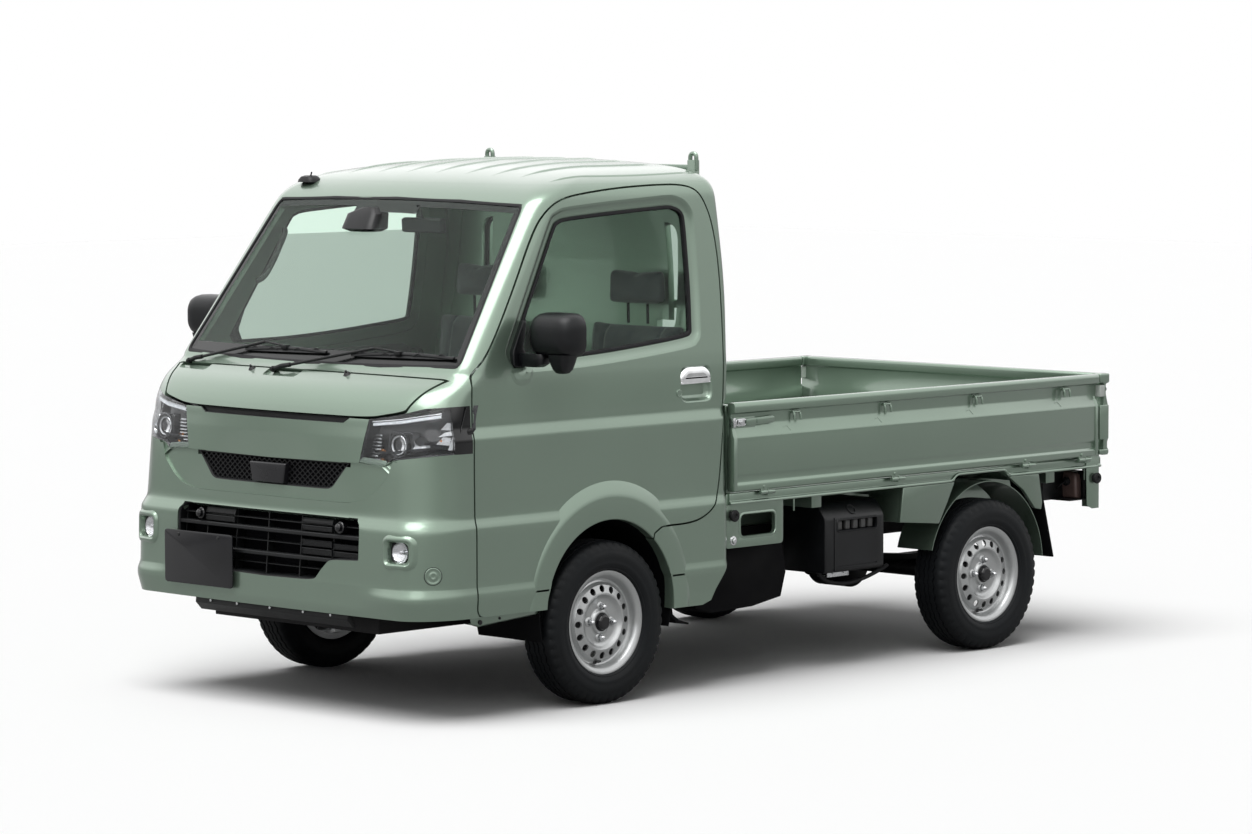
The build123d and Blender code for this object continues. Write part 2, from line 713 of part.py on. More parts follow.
column_axis = Vector(0, sin(radians(COLUMN_TILT)), cos(radians(COLUMN_TILT)))
steering_centre = Vector(WHEEL_CENTRE[0], at(WHEEL_CENTRE[1]), WHEEL_CENTRE[2])


def along_column(distance):
    """A point on the steering axis, measured down from the wheel's centre."""
    return steering_centre - column_axis * distance


COLUMN_TOP = 42.0
COLUMN_BOTTOM = 330.0
COLUMN_FOOT = 600.0
COLUMN_RADIUS = 32.0
SHAFT_RADIUS = 9.0
HUB_RADIUS = 30.0
with BuildPart() as steering_column:
    add(block(STEERING_X - 45, STEERING_X + 45, at(-440), at(-300), 840, 890))
    add(dashboard.part, mode=Mode.SUBTRACT)
    add(rod(along_column(COLUMN_TOP), along_column(COLUMN_BOTTOM), COLUMN_RADIUS))
    add(rod(along_column(8), along_column(COLUMN_TOP + 5), SHAFT_RADIUS))
    add(rod(along_column(COLUMN_BOTTOM - 10), along_column(COLUMN_FOOT), 12))
    foot = along_column(COLUMN_FOOT)
    with BuildSketch(Plane.XY.offset(FLOOR_TOP)):
        with Locations((foot.X, foot.Y)):
            Circle(14)
    extrude(amount=foot.Z - FLOOR_TOP)
finish(steering_column.part, "steering_column")

wheel_plane = Plane(origin=steering_centre, x_dir=(1, 0, 0), z_dir=column_axis)
with BuildPart() as steering_wheel:
    with BuildSketch(Plane(origin=steering_centre, x_dir=(1, 0, 0), z_dir=wheel_plane.y_dir)):
        with Locations((STEERING_RIM_RADIUS, 0)):
            Circle(14)
    revolve(axis=Axis(steering_centre, column_axis))
    with BuildSketch(wheel_plane.offset(-COLUMN_TOP + 1)):
        Circle(HUB_RADIUS)
    extrude(amount=COLUMN_TOP + 4)
    with BuildSketch(wheel_plane.offset(-16)):
        for turn in (0, 180, 270):
            with Locations(Location((0, 0, 0), (0, 0, turn))):
                with Locations((STEERING_RIM_RADIUS / 2, 0)):
                    Rectangle(STEERING_RIM_RADIUS, 34)
    extrude(amount=14)
    add(
        rod(along_column(6), along_column(COLUMN_TOP + 2), SHAFT_RADIUS + SHAFT_CLEARANCE),
        mode=Mode.SUBTRACT,
    )
finish(steering_wheel.part, "steering_wheel")

# ---------------------------------------------------------------- mirrors and wipers
MIRROR_X = (735.0, 925.0)
MIRROR_Y = (-387.0, -290.0)
MIRROR_Z = (1140.0, 1279.0)
with BuildPart() as mirror_left:
    with BuildSketch(Plane.XZ.offset(-at(MIRROR_Y[0]))) as mirror_sketch:
        with Locations(((MIRROR_X[0] + MIRROR_X[1]) / 2, (MIRROR_Z[0] + MIRROR_Z[1]) / 2)):
            RectangleRounded(MIRROR_X[1] - MIRROR_X[0], MIRROR_Z[1] - MIRROR_Z[0], 30)
    extrude(amount=MIRROR_Y[0] - MIRROR_Y[1])
    add(block(640, 790, at(-372), at(-330), 1105, 1150))
    add(door_left.part, mode=Mode.SUBTRACT)
    add(cab_outside, mode=Mode.SUBTRACT)
finish(mirror_left.part, "mirror_left")
finish(mirrored(mirror_left.part), "mirror_right")

WIPER_STAND = (5.0, 14.0)          # the wipers lie between these heights over the skin
WIPER_PIVOTS = ((-588.0, 1102.0, -628.0), (-115.0, 1097.0, -664.0))
WIPER_ELBOWS = ((-243, 1157), (280, 1158))
WIPER_BLADES = (((-330, 1131), (68, 1138)), ((190, 1134), (622, 1140)))
BLADE_WIDTH = 12.0
ARM_WIDTH = 14.0


def front_strip(start, end, width):
    """A straight strip seen from the front, between two points of x and z."""
    run = Vector(end[0] - start[0], end[1] - start[1])
    side = Vector(-run.Y, run.X).normalized() * (width / 2)
    corners = [
        (start[0] + side.X, start[1] + side.Y), (end[0] + side.X, end[1] + side.Y),
        (end[0] - side.X, end[1] - side.Y), (start[0] - side.X, start[1] - side.Y),
    ]
    return front_prism(corners, at(-900), at(-500))


with BuildPart() as wiper_strips:
    for pivot, elbow, (start, end) in zip(WIPER_PIVOTS, WIPER_ELBOWS, WIPER_BLADES):
        middle = ((start[0] + end[0]) / 2, (start[1] + end[1]) / 2)
        add(front_strip(start, end, BLADE_WIDTH))
        add(front_strip(pivot[:2], elbow, ARM_WIDTH))
        add(front_strip(elbow, middle, ARM_WIDTH))
with BuildPart() as wipers:
    add(cab_body(-WIPER_STAND[1]))
    add(cab_body(-WIPER_STAND[0]), mode=Mode.SUBTRACT)
    add(wiper_strips.part, mode=Mode.INTERSECT)
    for x, z, front in WIPER_PIVOTS:
        add(rod((x, at(front), z - 2), (x, at(-560), z - 2), 9))
    add(cab_outside, mode=Mode.SUBTRACT)
finish(wipers.part, "wipers")

# ---------------------------------------------------------------- chassis
RAIL_X = (340.0, 396.0)
RAIL_LOW = (262.0, FLOOR_Z)
RAIL_HIGH = (400.0, 480.0)
RAIL_OUTLINE = (
    (-700, RAIL_LOW[0]), (-330, RAIL_LOW[0]), (-140, RAIL_HIGH[0]), (2450, RAIL_HIGH[0]),
    (2450, RAIL_HIGH[1]), (-150, RAIL_HIGH[1]), (-332, RAIL_LOW[1]), (-700, RAIL_LOW[1]),
)
CROSS_MEMBERS = (
    (-700, -640, RAIL_LOW), (640, 700, RAIL_HIGH), (1300, 1350, RAIL_HIGH),
    (2390, 2450, RAIL_HIGH),
)
with BuildPart() as chassis_frame:
    add(side_prism(side_points(RAIL_OUTLINE), *RAIL_X))
    mirror(about=Plane.YZ)
    for front, back, (low, high) in CROSS_MEMBERS:
        add(block(-RAIL_X[0] - 1, RAIL_X[0] + 1, at(front), at(back), low, high))
finish(chassis_frame.part, "chassis_frame")

with BuildPart() as engine:
    add(block(-RAIL_X[0], RAIL_X[0], at(300), at(340), 420, 460))
    add(block(-210, 210, at(152), at(522), 250, 590))
finish(engine.part, "engine")

# ---------------------------------------------------------------- front axle
ARM_Z = (168.0, 192.0)              # the lower arm's ball joint
ARM_ROOT = (350.0, -15.0, 200.0)    # x, distance back from the axle, z
ARM_RADIUS = 13.0
BALL_RADIUS = 22.0
BRACKET_HALF = 22.0
BEAM_Y = (-45.0, 10.0)              # the cross beam under the rails
BEAM_LOW_Z = 330.0
LINK_FRONT = (350.0, -330.0, 275.0)
LINK_REAR = (470.0, -12.0, 191.0)
LINK_RADIUS = 9.0
BALL_PIN_RADIUS = 9.0
RACK_Y = at(130)
RACK_Z = 214.0
RACK_RADIUS = 10.0
RACK_HALF = 542.0
RACK_HOUSING_HALF = 250.0
RACK_HOUSING_RADIUS = 24.0
RACK_STRAP_X = 200.0
RACK_STRAP_HALF = 18.0
RACK_STRAP_Z = (331.0, 345.0)


def from_axle(point):
    """A front-axle point given as x, distance back, z."""
    return (point[0], at(point[1]), point[2])


with BuildPart() as left_arm:
    add(
        block(
            ARM_ROOT[0] - BRACKET_HALF, ARM_ROOT[0] + BRACKET_HALF, at(-40), at(10), 180,
            BEAM_LOW_Z + 10,
        )
    )
    add(rod(from_axle(ARM_ROOT), (KINGPIN_LOW[0] - 20, FRONT_AXLE_Y, KINGPIN_LOW[1]), ARM_RADIUS))
    add(rod(from_axle(LINK_FRONT), from_axle(LINK_REAR), LINK_RADIUS))
    add(kingpin_rod(*ARM_Z, BALL_RADIUS))
    add(
        kingpin_rod(ARM_Z[0] - 12, ARM_Z[1] + 12, BALL_PIN_RADIUS + PIN_CLEARANCE),
        mode=Mode.SUBTRACT,
    )
    strap_x = (RACK_STRAP_X - RACK_STRAP_HALF, RACK_STRAP_X + RACK_STRAP_HALF)
    add(block(*strap_x, RACK_Y - 14, RACK_Y + 14, RACK_Z, RACK_STRAP_Z[1]))
    add(block(*strap_x, at(BEAM_Y[1]) - 10, RACK_Y + 14, *RACK_STRAP_Z))

with BuildPart() as front_suspension:
    add(block(-RAIL_X[1], RAIL_X[1], at(BEAM_Y[0]), at(BEAM_Y[1]), BEAM_LOW_Z, RAIL_HIGH[0]))
    add(left_arm.part)
    add(mirrored(left_arm.part))
    add(
        rod(
            (-RACK_HOUSING_HALF, RACK_Y, RACK_Z), (RACK_HOUSING_HALF, RACK_Y, RACK_Z),
            RACK_HOUSING_RADIUS,
        )
    )
    add(
        rod(
            (-RACK_HOUSING_HALF - 5, RACK_Y, RACK_Z), (RACK_HOUSING_HALF + 5, RACK_Y, RACK_Z),
            RACK_RADIUS + SHAFT_CLEARANCE,
        ),
        mode=Mode.SUBTRACT,
    )
    add(chassis_frame.part, mode=Mode.SUBTRACT)
finish(front_suspension.part, "front_suspension")

with BuildPart() as steering_rack:
    add(rod((-RACK_HALF, RACK_Y, RACK_Z), (RACK_HALF, RACK_Y, RACK_Z), RACK_RADIUS))
finish(steering_rack.part, "steering_rack")

SPINDLE_RADIUS = 18.0
SPINDLE_END = 50.0          # outboard of the wheel's middle plane
SPINDLE_ROOT = 595.0
STEERING_ARM_ROOT = (600.0, 10.0, 246.0)
STEERING_ARM_END = (RACK_HALF, 130.0, 246.0)
STRUT_FOOT = (600.0, 0.0, 300.0)
STRUT_BEND = (546.0, 0.0, 372.0)
STRUT_X = 545.0
STRUT_RADIUS = 21.0
with BuildPart() as knuckle_left:
    add(kingpin_rod(ARM_Z[0] + 2, ARM_Z[1] + 20, BALL_PIN_RADIUS))
    add(block(586, 626, at(-26), at(26), ARM_Z[1] + 6, 330))
    add(
        rod(
            (SPINDLE_ROOT, FRONT_AXLE_Y, AXLE_Z),
            (FRONT_TRACK / 2 + SPINDLE_END, FRONT_AXLE_Y, AXLE_Z), SPINDLE_RADIUS,
        )
    )
    add(rod(from_axle(STRUT_FOOT), from_axle(STRUT_BEND), STRUT_RADIUS - 1))
    add(rod((STRUT_X, FRONT_AXLE_Y, 352), (STRUT_X, FRONT_AXLE_Y, 545), STRUT_RADIUS))
    add(rod(from_axle(STEERING_ARM_ROOT), from_axle(STEERING_ARM_END), 10))
    add(kingpin_rod(536, BUSH_BOTTOM - 8, BUSH_RADIUS))
    add(kingpin_rod(536, STRUT_PIN_TOP, STRUT_PIN_RADIUS))
finish(knuckle_left.part, "knuckle_left")
finish(mirrored(knuckle_left.part), "knuckle_right")

# ---------------------------------------------------------------- wheels
# Profiles give the distance outboard of the wheel's middle plane, and the radius.
BEAD_RADIUS = 152.4
RIM_HALF = 57.0
RIM_LIP_RADIUS = 167.0
BARREL_RADIUS = 146.0
BARREL_WALL = 5.0
TYRE_HALF_PROFILE = (
    (49.5, BEAD_RADIUS + 0.2), (52.1, RIM_LIP_RADIUS + 0.3), (57.3, RIM_LIP_RADIUS + 0.3),
    (67, 182), (TYRE_WIDTH / 2, 208), (70.5, 236), (60, TYRE_RADIUS - 8), (43, TYRE_RADIUS),
)
SLEEVE_START = -26.0
HUB_BORE = SPINDLE_RADIUS + SHAFT_CLEARANCE
RIM_PROFILE = (
    (-RIM_HALF, BEAD_RADIUS - 4), (-RIM_HALF, RIM_LIP_RADIUS), (-52.4, RIM_LIP_RADIUS),
    (-49.8, BEAD_RADIUS), (-24, BARREL_RADIUS), (24, BARREL_RADIUS), (49.8, BEAD_RADIUS),
    (52.4, RIM_LIP_RADIUS), (RIM_HALF, RIM_LIP_RADIUS), (RIM_HALF, BEAD_RADIUS - 4),
    (28, BARREL_RADIUS - BARREL_WALL), (34, 127), (45, 95), (45, 32), (60, 28), (60, 0),
    (SPINDLE_END + 1, 0), (SPINDLE_END + 1, HUB_BORE), (SLEEVE_START, HUB_BORE),
    (SLEEVE_START, 38), (26, 38), (28, 56), (39, 62), (39, 93), (28, 126),
    (20, BARREL_RADIUS - BARREL_WALL), (-24, BARREL_RADIUS - BARREL_WALL),
)
VENT_COUNT = 16
VENT_CIRCLE = 111.0
VENT_RADIUS = 10.5


def wheel_plane_at(x, y):
    return Plane(origin=(x, y, AXLE_Z), x_dir=(1, 0, 0), z_dir=(0, -1, 0))


def turned(profile, x, y):
    """A solid of revolution about a wheel's axle on the left."""
    with BuildPart() as solid:
        with BuildSketch(wheel_plane_at(x, y)):
            with BuildLine():
                Polyline(*profile, close=True)
            make_face()
        revolve(axis=Axis((x, y, AXLE_Z), (1, 0, 0)))
    return solid.part


tyre_outline = list(TYRE_HALF_PROFILE) + [(-u, r) for u, r in reversed(TYRE_HALF_PROFILE)]
tyre = turned(tyre_outline, FRONT_TRACK / 2, FRONT_AXLE_Y)
with BuildPart() as rim:
    add(turned(RIM_PROFILE, FRONT_TRACK / 2, FRONT_AXLE_Y))
    with BuildSketch(Plane.YZ.offset(FRONT_TRACK / 2 + 24)):
        with Locations((FRONT_AXLE_Y, AXLE_Z)):
            with PolarLocations(VENT_CIRCLE, VENT_COUNT):
                Circle(VENT_RADIUS)
    extrude(amount=30, mode=Mode.SUBTRACT)

to_rear_axle = Location(((REAR_TRACK - FRONT_TRACK) / 2, WHEELBASE, 0))
for place, shift in (("front", Location((0, 0, 0))), ("rear", to_rear_axle)):
    for name, piece in (("tyre", tyre), ("rim", rim.part)):
        left = piece.moved(shift)
        finish(left, f"{name}_{place}_left")
        finish(mirrored(left), f"{name}_{place}_right")

# ---------------------------------------------------------------- rear axle
PROPSHAFT_FRONT_Z = 330.0
PROPSHAFT_RADIUS = 26.0
with BuildPart() as rear_axle:
    tube_end = REAR_TRACK / 2 - 90
    add(rod((-tube_end, REAR_AXLE_Y, AXLE_Z), (tube_end, REAR_AXLE_Y, AXLE_Z), 32))
    add(rod((-70, REAR_AXLE_Y, AXLE_Z), (70, REAR_AXLE_Y, AXLE_Z), 95))
    add(rod((0, REAR_AXLE_Y - 150, AXLE_Z), (0, REAR_AXLE_Y, AXLE_Z), 45))
    for side in (-1, 1):
        plate_x = REAR_TRACK / 2 + SLEEVE_START - 0.5
        add(rod((side * tube_end, REAR_AXLE_Y, AXLE_Z), (side * plate_x, REAR_AXLE_Y, AXLE_Z), 100))
        spindle_x = REAR_TRACK / 2 + SPINDLE_END
        add(
            rod(
                (side * plate_x, REAR_AXLE_Y, AXLE_Z), (side * spindle_x, REAR_AXLE_Y, AXLE_Z),
                SPINDLE_RADIUS,
            )
        )
    add(rod((0, at(500), PROPSHAFT_FRONT_Z), (0, REAR_AXLE_Y - 100, AXLE_Z), PROPSHAFT_RADIUS))
    add(engine.part, mode=Mode.SUBTRACT)
finish(rear_axle.part, "rear_axle")

SPRING_OUTLINE = (
    (-470, 372), (-470, 356), (-240, 316), (-60, 297), (60, 297), (240, 316), (470, 356),
    (470, 372), (240, 334), (60, 318), (-60, 318), (-240, 334),
)
with BuildPart() as leaf_springs:
    spring_points = [(REAR_AXLE_Y + distance, z) for distance, z in SPRING_OUTLINE]
    add(side_prism(spring_points, 343, 393))
    for distance in (-458, 458):
        add(block(350, 386, REAR_AXLE_Y + distance - 14, REAR_AXLE_Y + distance + 14, 360, RAIL_HIGH[0]))
    mirror(about=Plane.YZ)
    add(rod((-400, REAR_AXLE_Y, AXLE_Z), (400, REAR_AXLE_Y, AXLE_Z), 32), mode=Mode.SUBTRACT)
finish(leaf_springs.part, "leaf_springs")

# ---------------------------------------------------------------- bed
BED_FRONT = at(578)
BED_BACK = at(2490)
FLOOR_EDGE = 697.0
SILL_FACE = 716.0
SILL_TOP = 642.0
SILL_LOW = 602.0
GATE_INNER = 703.5
GATE_OUTER = HALF_WIDTH
GATE_BOTTOM = 648.0
GATE_TOP = GATE_BOTTOM + GATE_HEIGHT
HINGE_X = 730.5
HINGE_Z = 637.0
BARREL = 7.0
GATE_PIN = 3.5
HINGE_PLACES = (707.0, 1365.0, 2063.0, 2378.0)
BARREL_LENGTH = 34.0
# A gate's section: how far its outer side stands inside the widest plane, and z.
GATE_PROFILE = (
    (GATE_OUTER - GATE_INNER, GATE_BOTTOM), (4.5, GATE_BOTTOM), (4.5, 668), (9.5, 674), (9.5, 697),
    (5.5, 703), (5.5, 823), (10.5, 829), (10.5, 903), (0, 908), (0, GATE_TOP - 4), (4, GATE_TOP),
    (GATE_OUTER - GATE_INNER, GATE_TOP),
)
TAILGATE_OUTER = at(2547)
TAILGATE_HALF = 734.0
SIDE_GATE_END = at(2487)


with BuildPart() as gate_left:
    with BuildSketch(Plane.XZ.offset(-BED_FRONT)):
        with BuildLine():
            Polyline(*[(GATE_OUTER - depth, z) for depth, z in GATE_PROFILE], close=True)
        make_face()
    extrude(amount=-(SIDE_GATE_END - BED_FRONT))
    for place in HINGE_PLACES:
        y = at(place)
        add(block(HINGE_X - 5, HINGE_X + 5, y, y + BARREL_LENGTH, HINGE_Z, GATE_BOTTOM + 2))
        add(rod((HINGE_X, y, HINGE_Z), (HINGE_X, y + BARREL_LENGTH, HINGE_Z), BARREL))
        add(
            rod(
                (HINGE_X, y - 1, HINGE_Z), (HINGE_X, y + BARREL_LENGTH + 1, HINGE_Z),
                GATE_PIN + PIN_CLEARANCE,
            ),
            mode=Mode.SUBTRACT,
        )
finish(gate_left.part, "gate_left")
finish(mirrored(gate_left.part), "gate_right")

TAIL_HINGE_Y = TAILGATE_OUTER - (HALF_WIDTH - HINGE_X)
TAIL_HINGES = (-600.0, -200.0, 200.0, 600.0)
with BuildPart() as tailgate:
    with BuildSketch(Plane.YZ.offset(-TAILGATE_HALF)):
        with BuildLine():
            Polyline(*[(TAILGATE_OUTER - depth, z) for depth, z in GATE_PROFILE], close=True)
        make_face()
    extrude(amount=2 * TAILGATE_HALF)
    for x in TAIL_HINGES:
        add(
            block(
                x, x + BARREL_LENGTH, TAIL_HINGE_Y - 5, TAIL_HINGE_Y + 5, HINGE_Z, GATE_BOTTOM + 2
            )
        )
        add(rod((x, TAIL_HINGE_Y, HINGE_Z), (x + BARREL_LENGTH, TAIL_HINGE_Y, HINGE_Z), BARREL))
        add(
            rod(
                (x - 1, TAIL_HINGE_Y, HINGE_Z), (x + BARREL_LENGTH + 1, TAIL_HINGE_Y, HINGE_Z),
                GATE_PIN + PIN_CLEARANCE,
            ),
            mode=Mode.SUBTRACT,
        )
finish(tailgate.part, "tailgate")

BEARERS = (590.0, 1010.0, 1500.0, 2250.0)
BEARER_LENGTH = 50.0
BED_REAR_FACE = TAIL_HINGE_Y - 14.5
RACK_FRONT = at(626)
POST_HALF = 16.0
RACK_BACK = RACK_FRONT + 2 * POST_HALF
FLOOR_START = RACK_BACK + 4         # ahead of this the floor steps down under the headboard
FLOOR_STEP = 3.0
FLOOR_THICK = 20.0
LEDGE_Z = BED_FLOOR_Z - FLOOR_STEP

with BuildPart() as sill:
    add(block(SILL_FACE - 32, SILL_FACE, BED_FRONT, BED_REAR_FACE, SILL_LOW, SILL_TOP))
    for place in HINGE_PLACES:
        y = at(place) + BARREL_LENGTH + 1
        add(block(SILL_FACE - 10, HINGE_X, y, y + BARREL_LENGTH, HINGE_Z - 4, HINGE_Z + 4))
        add(rod((HINGE_X, y, HINGE_Z), (HINGE_X, y + BARREL_LENGTH, HINGE_Z), BARREL))
        add(rod((HINGE_X, y - BARREL_LENGTH - 1, HINGE_Z), (HINGE_X, y + 1, HINGE_Z), GATE_PIN))

with BuildPart() as bed_floor:
    add(block(-FLOOR_EDGE, FLOOR_EDGE, BED_FRONT, BED_BACK, BED_FLOOR_Z - FLOOR_THICK, LEDGE_Z))
    add(block(-FLOOR_EDGE, FLOOR_EDGE, FLOOR_START, BED_BACK, LEDGE_Z, BED_FLOOR_Z))
    for bearer in BEARERS:
        add(
            block(
                -SILL_FACE + 30, SILL_FACE - 30, at(bearer), at(bearer) + BEARER_LENGTH,
                RAIL_HIGH[1], BED_FLOOR_Z - FLOOR_THICK + 2,
            )
        )
    add(sill.part)
    add(mirrored(sill.part))
    add(block(-SILL_FACE, SILL_FACE, BED_REAR_FACE - 40, BED_REAR_FACE, SILL_LOW, SILL_TOP))
    for x in TAIL_HINGES:
        start = x + BARREL_LENGTH + 1
        end = start + BARREL_LENGTH
        add(block(start, end, BED_REAR_FACE - 10, TAIL_HINGE_Y, HINGE_Z - 4, HINGE_Z + 4))
        add(rod((start, TAIL_HINGE_Y, HINGE_Z), (end, TAIL_HINGE_Y, HINGE_Z), BARREL))
        add(rod((x - 1, TAIL_HINGE_Y, HINGE_Z), (start + 1, TAIL_HINGE_Y, HINGE_Z), GATE_PIN))
finish(bed_floor.part, "bed_floor")

POST_PLACE = 488.0
HEADBOARD_THICK = 22.0
HEADBOARD_TOP = 1740.0
HOOK_TOP = 1765.0
HOOK_RADIUS = 9.0
CROSS_BARS = (1240.0, 1690.0)       # the cross bars' lower faces
with BuildPart() as headboard:
    add(
        block(
            -FLOOR_EDGE, FLOOR_EDGE, BED_FRONT, BED_FRONT + HEADBOARD_THICK, LEDGE_Z, GATE_TOP - 8
        )
    )
    for place in (-POST_PLACE, POST_PLACE):
        sides = (place - POST_HALF, place + POST_HALF)
        hook_y = RACK_FRONT + POST_HALF
        add(block(*sides, RACK_FRONT, RACK_BACK, LEDGE_Z, HEADBOARD_TOP))
        add(block(*sides, BED_FRONT + 10, RACK_FRONT + 4, 860, 900))
        add(rod((place, hook_y, HEADBOARD_TOP - 5), (place, hook_y, HOOK_TOP), HOOK_RADIUS))
    for low in CROSS_BARS:
        add(
            block(
                -POST_PLACE, POST_PLACE, RACK_FRONT + 2, RACK_BACK - 2, low, low + 2 * POST_HALF
            )
        )
finish(headboard.part, "headboard")

# ---------------------------------------------------------------- under the bed
with BuildPart() as battery_box:
    add(block(500, 700, at(1063), at(1365), 330, 572))
    add(block(RAIL_X[1], 502, at(1150), at(1190), 420, 460))
    add(block(RAIL_X[1], 502, at(1280), at(1320), 420, 460))
finish(battery_box.part, "battery_box")

with BuildPart() as fuel_tank:
    add(block(-690, -440, at(800), at(1340), 232, 472))
    add(block(-442, -RAIL_X[1], at(900), at(940), 410, 450))
    add(block(-442, -RAIL_X[1], at(1200), at(1240), 410, 450))
finish(fuel_tank.part, "fuel_tank")

with BuildPart() as exhaust:
    add(rod((-250, at(560), 330), (-250, at(1500), 330), 22))
    add(rod((-250, at(700), 330), (-250, at(1250), 330), 75))
    add(rod((-250, at(1500), 330), (-250, at(1600), 330), 22))
    add(block(-262, -238, at(640), at(660), 330, RAIL_HIGH[0]))
finish(exhaust.part, "exhaust")

FENDER_FRONT = ((1430, 482), (1447, 602), (1717, 602), (1635, 462), (1584, 468))
FENDER_BACK = ((2092, 549), (2098, 602), (2176, 602), (2190, 473), (2156, 480))
FLAP_OUTLINE = ((2172, 602), (2180, 602), (2262, 300), (2254, 298))
with BuildPart() as rear_fenders:
    for outline in (FENDER_FRONT, FENDER_BACK):
        add(side_prism(side_points(outline), 700, 716))
    add(side_prism(side_points(FLAP_OUTLINE), 590, 699))
    mirror(about=Plane.YZ)
finish(rear_fenders.part, "rear_fenders")

with BuildPart() as tail_lamps:
    add(block(470, 680, at(2455), at(2505), 485, 590))
    add(block(560, 600, at(2470), at(2490), 588, SILL_LOW))
    mirror(about=Plane.YZ)
finish(tail_lamps.part, "tail_lamps")

with BuildPart() as number_plates:
    add(block(-470, -140, at(-848), at(-844), 378, 548))
    add(block(-465, -145, at(-846), at(-830), 384, 412))
    add(front_bumper.part, mode=Mode.SUBTRACT)
    add(block(-165, 165, at(2506), at(2510), 432, 597))
    add(block(-30, 30, at(2490), at(2508), 570, SILL_LOW))
finish(number_plates.part, "number_plates")
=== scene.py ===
import json
from math import atan2, ceil, cos, hypot, pi, radians, sin, tau

import bpy
from mathutils import Matrix, Vector

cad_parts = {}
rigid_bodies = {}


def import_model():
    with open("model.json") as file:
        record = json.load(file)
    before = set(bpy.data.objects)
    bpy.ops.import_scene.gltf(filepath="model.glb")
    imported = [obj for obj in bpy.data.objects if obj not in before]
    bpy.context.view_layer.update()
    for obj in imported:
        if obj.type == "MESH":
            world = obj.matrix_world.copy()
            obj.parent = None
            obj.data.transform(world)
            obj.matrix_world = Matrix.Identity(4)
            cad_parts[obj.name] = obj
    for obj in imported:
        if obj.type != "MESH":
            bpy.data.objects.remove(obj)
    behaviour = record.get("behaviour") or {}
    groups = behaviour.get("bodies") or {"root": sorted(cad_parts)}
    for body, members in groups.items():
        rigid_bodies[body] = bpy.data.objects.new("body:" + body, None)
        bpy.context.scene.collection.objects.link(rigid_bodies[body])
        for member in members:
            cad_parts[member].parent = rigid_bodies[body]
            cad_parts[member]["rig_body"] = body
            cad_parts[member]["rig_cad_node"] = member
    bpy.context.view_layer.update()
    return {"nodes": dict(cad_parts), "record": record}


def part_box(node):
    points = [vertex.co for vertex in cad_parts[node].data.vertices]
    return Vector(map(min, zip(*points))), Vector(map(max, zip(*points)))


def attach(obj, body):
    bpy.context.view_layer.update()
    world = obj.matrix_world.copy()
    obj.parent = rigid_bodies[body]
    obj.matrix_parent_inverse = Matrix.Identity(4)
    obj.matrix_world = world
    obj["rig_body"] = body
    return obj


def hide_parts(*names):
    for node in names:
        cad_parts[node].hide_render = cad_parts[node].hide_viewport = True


bl_info = {
    "name": "Drop-side truck dresser",
    "version": (1, 0, 0),
    "blender": (4, 5, 0),
    "location": "3D View > Sidebar > Truck",
    "description": "Dresses the bare frame of a small drop-side truck with its panels, trim, wheels and cab",
    "category": "Object",
}

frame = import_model()

MM = 0.001
AXLE_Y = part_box("tyre_front_left")[0].y / 2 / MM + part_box("tyre_front_left")[1].y / 2 / MM
WHEELBASE = 1905
AXLE_Z = 265
FRONT_WHEEL_X = 652.5
REAR_WHEEL_X = 650

# ------------------------------------------------------------ the cab's skin
# Each row of the skin: height, half width, front, how far the front bows back,
# the corner's reach across and along, the back, and how soft the row's bend is.
# Lengths along the truck are in millimetres behind the front axle.
SKIN_ROWS = (
    (270, 728, -820, 12, 130, 190, 562, 0),
    (333, 731, -827, 12, 130, 190, 562, 0.35),
    (385, 737.5, -842, 14, 130, 195, 562, 0.7),
    (405, 737.5, -841, 14, 130, 195, 562, 0.7),
    (430, 733, -832, 14, 130, 190, 562, 0.22),
    (610, 733, -828, 15, 130, 185, 562, 0.35),
    (645, 724, -812, 17, 140, 170, 562, 0.3),
    (800, 722.5, -807, 24, 150, 160, 562, 0.5),
    (890, 722.5, -804, 32, 150, 145, 562, 0.3),
    (925, 712, -802, 36, 150, 135, 564, 0.4),
    (955, 711, -800, 38, 150, 130, 585, 0.9),
    (1000, 709, -786, 42, 150, 125, 588, 1),
    (1040, 707, -752, 46, 130, 110, 590, 1),
    (1070, 705, -695, 48, 100, 90, 592, 0.9),
    (1090, 703, -655, 45, 70, 80, 593, 0.6),
    (1110, 701, -635, 42, 48, 75, 594, 0.5),
    (1340, 673, -463, 32, 55, 75, 616, 0.9),
    (1610, 640, -262, 22, 62, 75, 608, 0.5),
    (1650, 634, -218, 24, 75, 85, 602, 1),
    (1680, 606, -165, 30, 110, 110, 596, 1),
    (1705, 540, -80, 40, 150, 140, 588, 1),
    (1723, 420, 20, 45, 160, 150, 570, 1),
    (1737, 200, 180, 25, 100, 100, 500, 0),
)
REAR_CORNER = 34
ROW_STEP = 22
ROOF_SEAM_Z = 1672
FRONT_ZONE = -597

